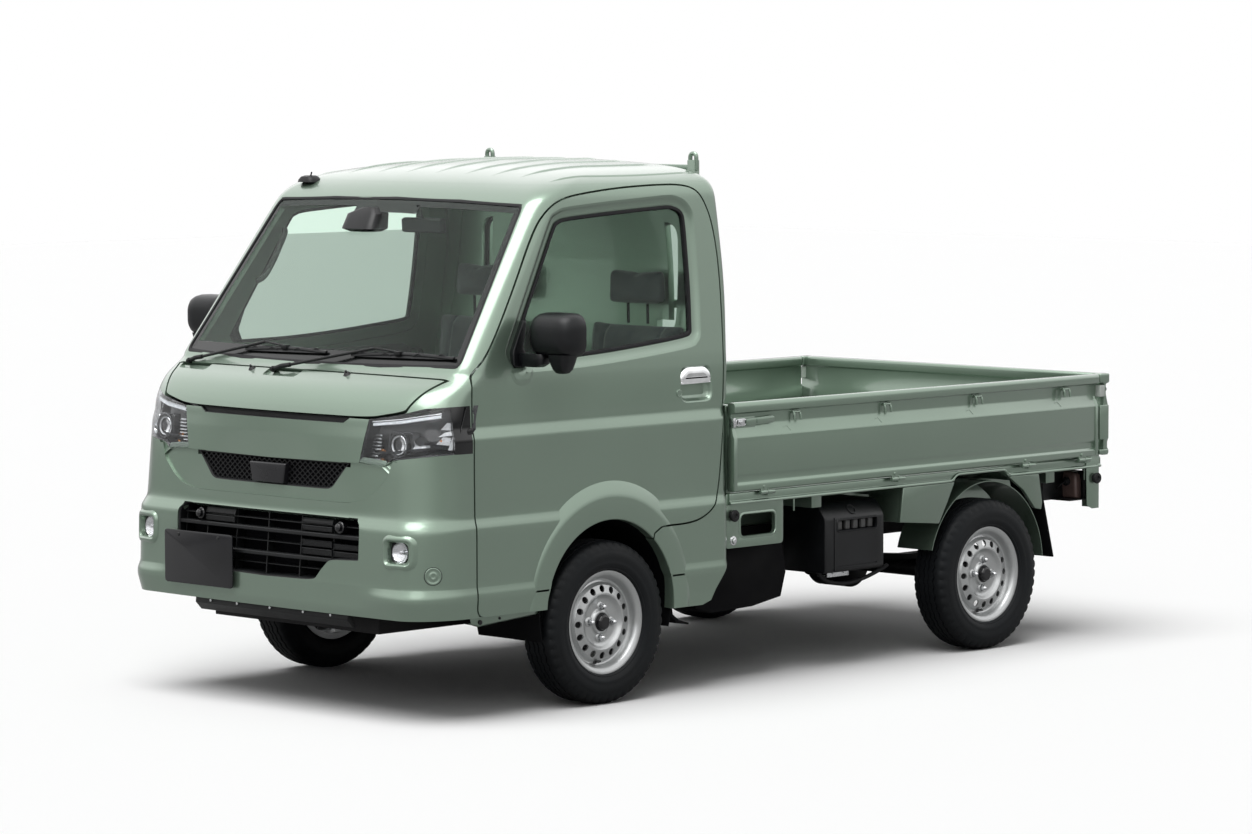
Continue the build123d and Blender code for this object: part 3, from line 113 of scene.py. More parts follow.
# Outlines seen from the side: distance behind the front axle, and height.
# A third number is how soft the corner there is.
DOOR_OUTLINE = (
    (-589, 333, 0.1), (-589, 1060, 1), (-565, 1098, 1), (-503, 1147, 1), (-379, 1328, 1),
    (-252, 1530, 1), (-190, 1592, 1), (-130, 1622, 1), (-50, 1637, 1), (144, 1654, 1),
    (340, 1660, 1), (440, 1658, 1), (497, 1643, 1), (531, 1604, 1), (560, 1529, 1),
    (573, 1390, 1), (563, 1181, 1), (544, 938, 1), (529, 817, 1), (513, 680, 1),
    (495, 620, 1), (452, 586, 1), (382, 563, 1), (234, 563, 0.5), (192, 540, 0.3), (192, 333, 0.1),
)
WINDOW_OUTLINE = (
    (-395, 1150, 0.1), (-156, 1549, 0.3), (-115, 1565, 0.6), (85, 1579, 1), (379, 1594, 0.4),
    (427, 1581, 1), (443, 1553, 0.6), (440, 1325, 1), (428, 1180, 0.2), (410, 1164, 0.8),
    (-38, 1126, 1), (-375, 1122, 0.3),
)
ARCH_Z = 309
ARCH_RADIUS = 289
SILL_CUT = (
    (190, 286), (432, 286), (472, 299), (492, 333), (547, 411), (556, 430), (700, 430),
    (700, -200), (190, -200),
)
# Outlines seen from the front: distance to the left, and height.
FRONT_TOP = (
    (0, 950), (441, 950), (583, 974), (640, 990), (790, 1003), (790, 333), (0, 333),
)
NOSE_OUTLINE = (
    (0, 950), (441, 950), (411, 812), (0, 808),
)
LAMP_OUTLINE = (
    (441, 950), (583, 974), (640, 990), (790, 1003), (790, 847), (716, 848), (544, 826),
    (511, 805), (411, 812),
)
HOOD_OUTLINE = (
    (0, 957), (441, 957, 0.5), (575, 981, 0.6), (584, 1000, 0.8), (600, 1029, 1), (628, 1066, 1),
    (654, 1084, 1), (654, 1125), (0, 1125),
)
HOOD_OPENING = (
    (0, 950), (441, 950), (583, 973, 0.3), (591, 996, 0.8), (608, 1025, 1), (636, 1061, 1),
    (664, 1080, 1), (664, 1135), (0, 1135),
)
HOOD_REAR = (-676, -634)
FRAME_OUTLINE = (
    (0, 808), (411, 812), (511, 805), (556, 827, 0.3), (536, 773, 0.5), (491, 731, 0.5),
    (445, 701, 0.5), (373, 684, 0.5), (0, 684),
)
MESH_OUTLINE = (
    (0, 808), (362, 808), (348, 796, 0.2), (290, 731, 0.4), (268, 723, 0.5), (0, 723),
)
GRILLE_OUTLINE = (
    (0, 639), (412, 639, 0.4), (440, 616, 0.6), (437, 509, 0.1), (305, 503, 0.5),
    (268, 470, 0.4), (236, 434, 0.5), (0, 430),
)
SCREEN_LOW = (655, 1112)
SCREEN_HIGH = (580, 1608)
SCREEN_MIDDLE_Z = (1102, 1621)


def at(distance):
    """The Y of a point this many millimetres behind the front axle."""
    return AXLE_Y + distance


# ------------------------------------------------------------ outlines
def softened(outline, share=0, closed=True, steps=6):
    """An outline whose corners are rounded, each by its own third number."""
    corners = [(p[0], p[1], p[2] if len(p) > 2 else share) for p in outline]
    count = len(corners)
    points = []
    for i, (x, y, soft) in enumerate(corners):
        if soft <= 0 or (not closed and i in (0, count - 1)):
            points.append((x, y))
            continue
        before, after = corners[i - 1], corners[(i + 1) % count]
        start = (x + (before[0] - x) * soft / 2, y + (before[1] - y) * soft / 2)
        end = (x + (after[0] - x) * soft / 2, y + (after[1] - y) * soft / 2)
        for step in range(steps + 1):
            t = step / steps
            a, b, c = (1 - t) ** 2, 2 * t * (1 - t), t * t
            points.append((a * start[0] + b * x + c * end[0], a * start[1] + b * y + c * end[1]))
    kept = [points[0]]
    for point in points[1:]:
        if hypot(point[0] - kept[-1][0], point[1] - kept[-1][1]) > 0.05:
            kept.append(point)
    if closed and hypot(kept[0][0] - kept[-1][0], kept[0][1] - kept[-1][1]) < 0.05:
        kept.pop()
    return kept


def filleted(outline, radius, steps=6):
    """A closed outline whose corners are rounded to one radius."""
    points = []
    count = len(outline)
    for i, corner in enumerate(outline):
        here = Vector(corner[:2])
        before = Vector(outline[i - 1][:2]) - here
        after = Vector(outline[(i + 1) % count][:2]) - here
        reach = min(radius, before.length * 0.49, after.length * 0.49)
        start, end = here + before.normalized() * reach, here + after.normalized() * reach
        for step in range(steps + 1):
            t = step / steps
            point = start * (1 - t) ** 2 + here * 2 * t * (1 - t) + end * t * t
            points.append((point.x, point.y))
    return points


def spread(outline, length, closed=True):
    """An outline with points added so that no run is longer than this."""
    points = []
    count = len(outline)
    for i in range(count if closed else count - 1):
        (x, y), (u, v) = outline[i][:2], outline[(i + 1) % count][:2]
        parts = max(1, ceil(hypot(u - x, v - y) / length))
        points += [(x + (u - x) * k / parts, y + (v - y) * k / parts) for k in range(parts)]
    return points if closed else points + [outline[-1][:2]]


def turned_area(outline):
    return sum(
        outline[i - 1][0] * outline[i][1] - outline[i][0] * outline[i - 1][1]
        for i in range(len(outline))
    ) / 2


def grown(outline, amount):
    """A closed outline moved outwards by this much, with mitred corners."""
    sign = 1 if turned_area(outline) > 0 else -1
    count = len(outline)
    points = []
    for i in range(count):
        here = Vector(outline[i][:2])
        a = (here - Vector(outline[i - 1][:2])).normalized()
        b = (Vector(outline[(i + 1) % count][:2]) - here).normalized()
        normal_a, normal_b = Vector((a.y, -a.x)) * sign, Vector((b.y, -b.x)) * sign
        middle = normal_a + normal_b
        if middle.length < 1e-6:
            middle = normal_a
        middle.normalize()
        moved = here + middle * amount / max(middle.dot(normal_a), 0.4)
        points.append((moved.x, moved.y))
    return points


def both_sides(half):
    """A left half outline and its mirror image, as one closed outline."""
    return list(half) + [(-p[0], p[1]) for p in reversed(half) if abs(p[0]) > 1e-6]


def inside(point, outline):
    """Whether a point lies within a closed outline."""
    x, y = point
    within = False
    for i in range(len(outline)):
        (a, b), (c, d) = outline[i - 1][:2], outline[i][:2]
        if (b > y) != (d > y) and x < (c - a) * (y - b) / (d - b) + a:
            within = not within
    return within


def rectangle(x_low, x_high, y_low, y_high):
    return [(x_low, y_low), (x_high, y_low), (x_high, y_high), (x_low, y_high)]


def ring_points(centre, radius, start=0, turn=tau, steps=48):
    """Points on a circle or an arc in the plane."""
    whole = abs(turn - tau) < 1e-9
    count = steps if whole else steps + 1
    return [
        (
            centre[0] + radius * cos(start + turn * k / steps),
            centre[1] + radius * sin(start + turn * k / steps),
        )
        for k in range(count)
    ]


# ------------------------------------------------------------ modelling tools
def deselect():
    if bpy.context.object and bpy.context.object.mode != "OBJECT":
        bpy.ops.object.mode_set(mode="OBJECT")
    bpy.ops.object.select_all(action="DESELECT")


def choose(*pieces):
    deselect()
    for piece in pieces:
        piece.select_set(True)
    bpy.context.view_layer.objects.active = pieces[0]


def named(name):
    piece = bpy.context.object
    piece.name = name
    piece.data.name = name
    return piece


def settle(piece):
    """Puts a piece's place, turn and scale into its mesh."""
    choose(piece)
    bpy.ops.object.transform_apply(location=True, rotation=True, scale=True)
    return piece


def weld(piece, outwards=True, distance=1e-6):
    """Closes seams and poles, and points the faces outwards."""
    choose(piece)
    bpy.ops.object.mode_set(mode="EDIT")
    bpy.ops.mesh.select_all(action="SELECT")
    bpy.ops.mesh.remove_doubles(threshold=distance)
    if outwards:
        bpy.ops.mesh.normals_make_consistent(inside=False)
    bpy.ops.object.mode_set(mode="OBJECT")
    return piece


def capped(piece):
    """Closes a tube's open ends."""
    choose(piece)
    bpy.ops.object.mode_set(mode="EDIT")
    bpy.ops.mesh.select_all(action="SELECT")
    bpy.ops.mesh.fill_holes(sides=0)
    bpy.ops.mesh.normals_make_consistent(inside=False)
    bpy.ops.object.mode_set(mode="OBJECT")
    return piece


def modify(piece, kind, **settings):
    """Adds a modifier with these settings and applies it."""
    choose(piece)
    bpy.ops.object.modifier_add(type=kind)
    modifier = piece.modifiers[-1]
    for name, value in settings.items():
        setattr(modifier, name, value)
    bpy.ops.object.modifier_apply(modifier=modifier.name)
    return piece


def edge_round(piece, width, segments=2, angle=32):
    return modify(
        piece, "BEVEL", width=width * MM, segments=segments, limit_method="ANGLE",
        angle_limit=radians(angle), harden_normals=False,
    )


def smooth(piece, angle=32):
    choose(piece)
    bpy.ops.object.shade_smooth_by_angle(angle=radians(angle))
    return piece


def joined(name, pieces):
    choose(*pieces)
    if len(pieces) > 1:
        bpy.ops.object.join()
    return named(name)


def copied(piece, name, move=(0, 0, 0), mirror=False):
    """A copy with its own mesh, shifted or mirrored across the truck's middle."""
    choose(piece)
    bpy.ops.object.duplicate(linked=False)
    copy = named(name)
    shift = Matrix.Translation(Vector(move) * MM)
    copy.data.transform(shift @ (Matrix.Diagonal((-1, 1, 1, 1)) if mirror else Matrix()))
    if mirror:
        copy.data.flip_normals()
    return copy


def removed(*pieces):
    for piece in pieces:
        bpy.data.objects.remove(piece, do_unlink=True)


def cut_away(piece, *tools, keep=False, operation="DIFFERENCE"):
    """Cuts the tools' shapes from a piece, and removes the tools."""
    for tool in tools:
        modify(piece, "BOOLEAN", operation=operation, object=tool, solver="EXACT")
    if not keep:
        removed(*tools)
    return piece


def lattice(name, rows, closed=False, flip=False):
    """A sheet whose points are given in millimetres, row by row."""
    if closed:
        rows = [list(row) + [row[0]] for row in rows]
    deselect()
    bpy.ops.mesh.primitive_grid_add(x_subdivisions=len(rows[0]) - 1, y_subdivisions=len(rows) - 1)
    piece = named(name)
    piece.data.vertices.foreach_set("co", [value * MM for row in rows for point in row for value in point])
    if closed:
        weld(piece, outwards=False)
    if flip:
        piece.data.flip_normals()
    piece.data.update()
    return piece


def block_loops(name, rows):
    """A soft-cornered solid from level rows of height and four sides."""
    loops = []
    for z, x_low, x_high, y_low, y_high in rows:
        outline = filleted(rectangle(x_low, x_high, at(y_low), at(y_high)), (y_high - y_low) * 0.4)
        loops.append([(x, y, z) for x, y in outline])
    return capped(lattice(name, loops, closed=True))


def placed(axis, along, a, b):
    """A point from its place along an axis and its two other numbers."""
    return {"X": (along, a, b), "Y": (a, along, b), "Z": (a, b, along)}[axis]


def prism(name, outline, axis, low, high):
    """A flat outline drawn out along an axis into a closed solid."""
    deselect()
    bpy.ops.mesh.primitive_circle_add(vertices=len(outline), fill_type="NGON")
    piece = named(name)
    for vertex, point in zip(piece.data.vertices, outline):
        vertex.co = Vector(placed(axis, low, point[0], point[1])) * MM
    bpy.ops.object.mode_set(mode="EDIT")
    bpy.ops.mesh.select_all(action="SELECT")
    bpy.ops.mesh.extrude_region_move(
        TRANSFORM_OT_translate={"value": Vector(placed(axis, high - low, 0, 0)) * MM}
    )
    bpy.ops.mesh.select_all(action="SELECT")
    bpy.ops.mesh.normals_make_consistent(inside=False)
    bpy.ops.object.mode_set(mode="OBJECT")
    return piece


def side_outline(outline):
    """An outline seen from the side, as points along Y and up."""
    return [(at(point[0]), point[1]) for point in outline]


def side_prism(name, outline, low, high):
    """An outline seen from the side, drawn out across the truck."""
    return prism(name, side_outline(outline), "X", low, high)


def slab(name, low, high, edge=0, segments=2):
    """A block between two corners, with rounded edges."""
    deselect()
    bpy.ops.mesh.primitive_cube_add(size=1)
    piece = named(name)
    low, high = Vector(low), Vector(high)
    for vertex in piece.data.vertices:
        vertex.co = Vector(
            (low[i] if vertex.co[i] < 0 else high[i]) * MM for i in range(3)
        )
    if edge > 0:
        edge_round(piece, edge, segments)
    return piece


def lathe(name, profile, centre, steps=64, axis=(1, 0, 0), turn=360):
    """A closed profile of (along the axis, radius) spun about the axis."""
    along = Vector(axis).normalized()
    side = Vector((0, 0, 1)) if abs(along.z) < 0.9 else Vector((0, 1, 0))
    side = (side - along * side.dot(along)).normalized()
    origin = Vector(centre)
    deselect()
    bpy.ops.mesh.primitive_circle_add(vertices=len(profile), fill_type="NOTHING")
    piece = named(name)
    for vertex, (reach, radius) in zip(piece.data.vertices, profile):
        vertex.co = (origin + along * reach + side * radius) * MM
    bpy.ops.object.mode_set(mode="EDIT")
    bpy.ops.mesh.select_all(action="SELECT")
    bpy.ops.mesh.spin(steps=steps, angle=radians(turn), center=origin * MM, axis=along)
    bpy.ops.object.mode_set(mode="OBJECT")
    return weld(piece)


def pin(name, start, end, radius, edge=0, sides=24):
    """A round bar between two points, with softened ends."""
    run = Vector(end) - Vector(start)
    edge = min(edge, radius * 0.6, run.length * 0.4)
    if edge > 0:
        profile = [(0, 0), (0, radius - edge), (edge * 0.3, radius - edge * 0.3), (edge, radius),
                   (run.length - edge, radius), (run.length - edge * 0.3, radius - edge * 0.3),
                   (run.length, radius - edge), (run.length, 0)]
    else:
        profile = [(0, 0), (0, radius), (run.length, radius), (run.length, 0)]
    return lathe(name, profile, start, steps=sides, axis=run)


def eased(points, reach, steps=5):
    """A run of points in space whose bends are rounded."""
    points = [Vector(p) for p in points]
    made = [points[0]]
    for i in range(1, len(points) - 1):
        before, here, after = points[i - 1], points[i], points[i + 1]
        a = min(reach, (before - here).length * 0.48)
        b = min(reach, (after - here).length * 0.48)
        start, end = here + (before - here).normalized() * a, here + (after - here).normalized() * b
        for step in range(steps + 1):
            t = step / steps
            made.append(start * (1 - t) ** 2 + here * 2 * t * (1 - t) + end * t * t)
    return made + [points[-1]]


def wire(name, points, radius, sides=2, cyclic=False):
    """A round bar bent along a run of points."""
    line = bpy.data.curves.new(name, "CURVE")
    line.dimensions = "3D"
    line.bevel_depth = radius * MM
    line.bevel_resolution = sides
    line.use_fill_caps = True
    spline = line.splines.new("POLY")
    spline.points.add(len(points) - 1)
    spline.use_cyclic_u = cyclic
    for point, place in zip(spline.points, points):
        point.co = (*(Vector(place) * MM), 1)
    piece = bpy.data.objects.new(name, line)
    bpy.context.scene.collection.objects.link(piece)
    choose(piece)
    bpy.ops.object.convert(target="MESH")
    return smooth(named(name), 50)


def bent(name, points, reach, radius, sides=2, steps=5, **settings):
    """A round bar whose bends are rounded."""
    return wire(name, eased(points, reach, steps), radius, sides, **settings)


def merged_copy(node, name, angle=28):
    """A welded and smoothly shaded copy of a frame node, which it stands for."""
    copy = frame["nodes"][node].copy()
    copy.data = copy.data.copy()
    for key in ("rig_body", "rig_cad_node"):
        del copy[key]
    copy.parent = None
    bpy.context.scene.collection.objects.link(copy)
    choose(copy)
    named(name)
    weld(copy, outwards=False, distance=1e-5)
    smooth(copy, angle)
    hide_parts(node)
    return copy


def ready(piece, finish, slot=None, stands_for=(), body="chassis", angle=32):
    """Gives a finished piece its shading, finish and body."""
    if angle:
        smooth(piece, angle)
    piece.data.materials.clear()
    piece.data.materials.append(FINISHES[finish])
    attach(piece, body)
    if stands_for:
        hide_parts(*([stands_for] if isinstance(stands_for, str) else stands_for))
    return piece


def finished(name, pieces, finish, *details, **settings):
    """Joins a list of forms and finishes them as one piece."""
    return ready(joined(name, pieces), finish, *details, **settings)


def doubled(name, part, finish, *details, **settings):
    """Finishes a left form and its mirror image as one piece."""
    return finished(name, [part, copied(part, "other", mirror=True)], finish, *details, **settings)


def both(name, piece):
    """A left piece, its mirror image, and their names."""
    piece.name = name + "_left"
    return (("left", piece), ("right", copied(piece, name + "_right", mirror=True)))


def paired(name, piece, body, finish, slot=None, node="", angle=32):
    """Finishes a left piece and its mirror image, each on its own side's body."""
    for side, half in both(name, piece):
        ready(half, finish, slot, node and node + side, body if body == "chassis" else body + side, angle)


# ------------------------------------------------------------ the skin's form
def mixed(a, b, share):
    return tuple(x + (y - x) * share for x, y in zip(a, b))


def skin_levels():
    """The skin's rows after each bend is softened and long runs are divided."""
    levels = []
    for i, (*values, soft) in enumerate(SKIN_ROWS):
        values = tuple(values)
        if i in (0, len(SKIN_ROWS) - 1) or soft <= 0:
            levels.append(values)
            continue
        start = mixed(values, SKIN_ROWS[i - 1][:7], soft / 2)
        end = mixed(values, SKIN_ROWS[i + 1][:7], soft / 2)
        for step in range(5):
            t = step / 4
            a, b, c = (1 - t) ** 2, 2 * t * (1 - t), t * t
            levels.append(tuple(a * p + b * q + c * r for p, q, r in zip(start, values, end)))
    divided = [levels[0]]
    for level in levels[1:]:
        last = divided[-1]
        run = hypot(level[0] - last[0], level[1] - last[1], level[2] - last[2])
        if run < 0.5:
            continue
        parts = ceil(run / ROW_STEP)
        divided += [mixed(last, level, k / parts) for k in range(1, parts + 1)]
    return divided


LEVELS = skin_levels()


def level_at(z):
    """The skin's row at any height."""
    if z <= LEVELS[0][0]:
        return LEVELS[0]
    for low, high in zip(LEVELS, LEVELS[1:]):
        if z <= high[0]:
            return mixed(low, high, (z - low[0]) / (high[0] - low[0]))
    return LEVELS[-1]


def half_at(z):
    """Half of the cab's width at a height."""
    return level_at(z)[1]


def row_points(level, inset=0):
    """The left half of a row, from the front's middle round to the back's."""
    _, half, front, bow, reach_x, reach_y, back = level
    half, front, back = half - inset, at(front) + inset, at(back) - inset
    reach_x, reach_y = max(reach_x - inset, 8), max(reach_y - inset, 8)
    flat = half - reach_x
    shoulder = front + bow
    points = [(flat * k / 14, front + bow * (k / 14) ** 2) for k in range(15)]
    slope = 2 * bow / flat
    reach = 0.56 * reach_x
    bends = (
        (flat, shoulder), (flat + reach, shoulder + slope * reach),
        (half, shoulder + reach_y * 0.5), (half, shoulder + reach_y),
    )
    for k in range(1, 13):
        t = k / 12
        shares = ((1 - t) ** 3, 3 * t * (1 - t) ** 2, 3 * t * t * (1 - t), t**3)
        points.append(tuple(sum(s * p[i] for s, p in zip(shares, bends)) for i in (0, 1)))
    rear = max(REAR_CORNER - inset, 6)
    start, end = shoulder + reach_y, back - rear
    points += [(half, start + (end - start) * k / 44) for k in range(1, 45)]
    for k in range(1, 6):
        turn = k / 5 * pi / 2
        points.append((half - rear * (1 - cos(turn)), end + rear * sin(turn)))
    points += [((half - rear) * (1 - k / 12), back) for k in range(1, 13)]
    return points


def front_at(x, z, inset=0):
    """The Y of the skin's front at a place across and up."""
    points = row_points(level_at(z), inset)[:27]
    x = abs(x)
    for (a, b), (c, d) in zip(points, points[1:]):
        if x <= c:
            return b + (d - b) * (x - a) / max(c - a, 1e-6)
    return points[-1][1]


def on_front(x, z, depth=0):
    """A point on the skin's front, sunk straight back by a depth."""
    return (x, front_at(x, z) + depth, z)


def on_side(distance, z, depth=0):
    """A point on the skin's left side, sunk straight in by a depth."""
    return (half_at(z) - depth, at(distance), z)


def collar(name, outline, profile, place, flip=False):
    """A strip round a closed outline. The profile gives how far each row
    lies outside the outline and how deep it is sunk."""
    rows = []
    for outwards, depth in profile:
        moved = grown(outline, outwards) if abs(outwards) > 1e-6 else outline
        rows.append([place(a, b, depth) for a, b in moved])
    return lattice(name, rows, closed=True, flip=flip)


def strip(name, path, profile, place, flip=False):
    """A strip along an open run, with the same kind of profile."""
    count = len(path)
    normals = []
    for i in range(count):
        before, after = Vector(path[max(i - 1, 0)]), Vector(path[min(i + 1, count - 1)])
        run = (after - before).normalized()
        normals.append(Vector((run.y, -run.x)))
    rows = [
        [place(a + n.x * out, b + n.y * out, depth) for (a, b), n in zip(path, normals)]
        for out, depth in profile
    ]
    return lattice(name, rows, flip=flip)


def pane_of(name, outline, place, depth, thickness):
    """A flat or gently curved pane that fills an outline."""
    deselect()
    bpy.ops.mesh.primitive_circle_add(vertices=len(outline), fill_type="NGON")
    pane = named(name)
    for vertex, point in zip(pane.data.vertices, outline):
        vertex.co = Vector(place(point[0], point[1], depth)) * MM
    if pane.data.polygons[0].normal.x < 0:
        pane.data.flip_normals()
    pane.data.update()
    return modify(pane, "SOLIDIFY", thickness=thickness * MM, offset=-1)


def filled(name, outline, place, depth, thickness=2, length=60):
    """A plate that fills an outline and follows the skin at a depth."""
    return pane_of(name, spread(outline, length), place, depth, thickness)


# ------------------------------------------------------------ finishes
def principled(name, colour, roughness, metallic=0, **sockets):
    """A finish with plain values on the shader's own sockets."""
    finish = bpy.data.materials.new(name)
    finish.use_nodes = True
    shader = finish.node_tree.nodes["Principled BSDF"]
    shader.inputs["Base Color"].default_value = (*colour, 1)
    shader.inputs["Roughness"].default_value = roughness
    shader.inputs["Metallic"].default_value = metallic
    for socket, value in sockets.items():
        shader.inputs[socket.replace("_", " ")].default_value = value
    return finish


def added(tree, kind, **inputs):
    """A new shader node with these inputs."""
    made = tree.nodes.new("ShaderNode" + kind)
    for socket, value in inputs.items():
        made.inputs[socket.replace("_", " ")].default_value = value
    return made


def driving(tree, source, socket):
    """Lets an output drive a socket of the finish's own shader."""
    tree.links.new(source, tree.nodes["Principled BSDF"].inputs[socket])


def pattern(finish, kind, scale, **inputs):
    """A texture node on the piece's own coordinates."""
    tree = finish.node_tree
    place = tree.nodes.get("Texture Coordinate") or added(tree, "TexCoord")
    place.name = "Texture Coordinate"
    texture = added(tree, kind, Scale=scale, **inputs)
    tree.links.new(place.outputs["Object"], texture.inputs["Vector"])
    return texture


def ranged(finish, source, low, high, socket, start=0.3, end=0.7):
    """Drives a number on the shader from a texture, between two values."""
    tree = finish.node_tree
    scale = added(tree, "MapRange", From_Min=start, From_Max=end, To_Min=low, To_Max=high)
    tree.links.new(source, scale.inputs["Value"])
    driving(tree, scale.outputs["Result"], socket)


def tinted(finish, source, first, second, start=0.35, end=0.65):
    """Varies the base colour between two colours."""
    tree = finish.node_tree
    ramp = added(tree, "ValToRGB")
    for stop, position, colour in zip(ramp.color_ramp.elements, (start, end), (first, second)):
        stop.position = position
        stop.color = (*colour, 1)
    tree.links.new(source, ramp.inputs["Fac"])
    driving(tree, ramp.outputs["Color"], "Base Color")


def raised(finish, source, strength, distance):
    """Adds a texture's relief, on top of any relief already there."""
    tree = finish.node_tree
    bump = added(tree, "Bump", Strength=strength, Distance=distance)
    tree.links.new(source, bump.inputs["Height"])
    earlier = tree.nodes["Principled BSDF"].inputs["Normal"].links
    if earlier:
        tree.links.new(earlier[0].from_socket, bump.inputs["Normal"])
    driving(tree, bump.outputs["Normal"], "Normal")


def scaled(colour, factor):
    return tuple(min(value * factor, 1) for value in colour)


def body_paint(colour, name="body_paint", shade=1):
    """Metallic paint: fine flakes under a clear coat with a trace of waviness. A shade below 1 darkens the
    whole colour, making a copy that paints shade.
    """
    colour = scaled(colour, shade)
    finish = principled(
        name, colour, 0.3, metallic=0.65, Coat_Weight=0.9, Coat_Roughness=0.06, Coat_IOR=1.5,
    )
    flakes = pattern(finish, "TexVoronoi", 1400)
    tinted(finish, flakes.outputs["Distance"], scaled(colour, 1.1), scaled(colour, 0.9), 0.1, 0.9)
    waves = pattern(finish, "TexNoise", 3, Detail=2)
    ranged(finish, waves.outputs["Fac"], 0.28, 0.35, "Roughness")
    peel = pattern(finish, "TexNoise", 260, Detail=1)
    raised(finish, peel.outputs["Fac"], 0.02, 0.0006)
    return finish


def moulded(name, colour, roughness, grain=900, relief=0.25, specular=0.3):
    """Moulded plastic with a fine pebbled grain and slightly uneven gloss."""
    finish = principled(name, colour, roughness, Specular_IOR_Level=specular)
    pebbles = pattern(finish, "TexVoronoi", grain)
    raised(finish, pebbles.outputs["Distance"], relief, 0.0006)
    cloud = pattern(finish, "TexNoise", 7, Detail=4)
    tinted(finish, cloud.outputs["Fac"], scaled(colour, 0.8), scaled(colour, 1.25))
    ranged(finish, cloud.outputs["Fac"], roughness * 0.85, min(roughness * 1.15, 1), "Roughness")
    return finish


def bare_metal(name, colour, roughness, streaks=60):
    """Rolled or plated metal with fine streaks in its gloss."""
    finish = principled(name, colour, roughness, metallic=1)
    lines = pattern(finish, "TexNoise", streaks, Detail=6)
    ranged(finish, lines.outputs["Fac"], roughness * 0.7, roughness * 1.4, "Roughness")
    tinted(finish, lines.outputs["Fac"], scaled(colour, 0.92), scaled(colour, 1.05))
    return finish


def clear(name, colour, roughness=0, ior=1.45, **sockets):
    """Clear or tinted glass and lens plastic."""
    finish = principled(name, colour, roughness, Transmission_Weight=1, IOR=ior, **sockets)
    haze = pattern(finish, "TexNoise", 9, Detail=3)
    ranged(finish, haze.outputs["Fac"], roughness, roughness + 0.02, "Roughness", 0.4, 0.8)
    return finish


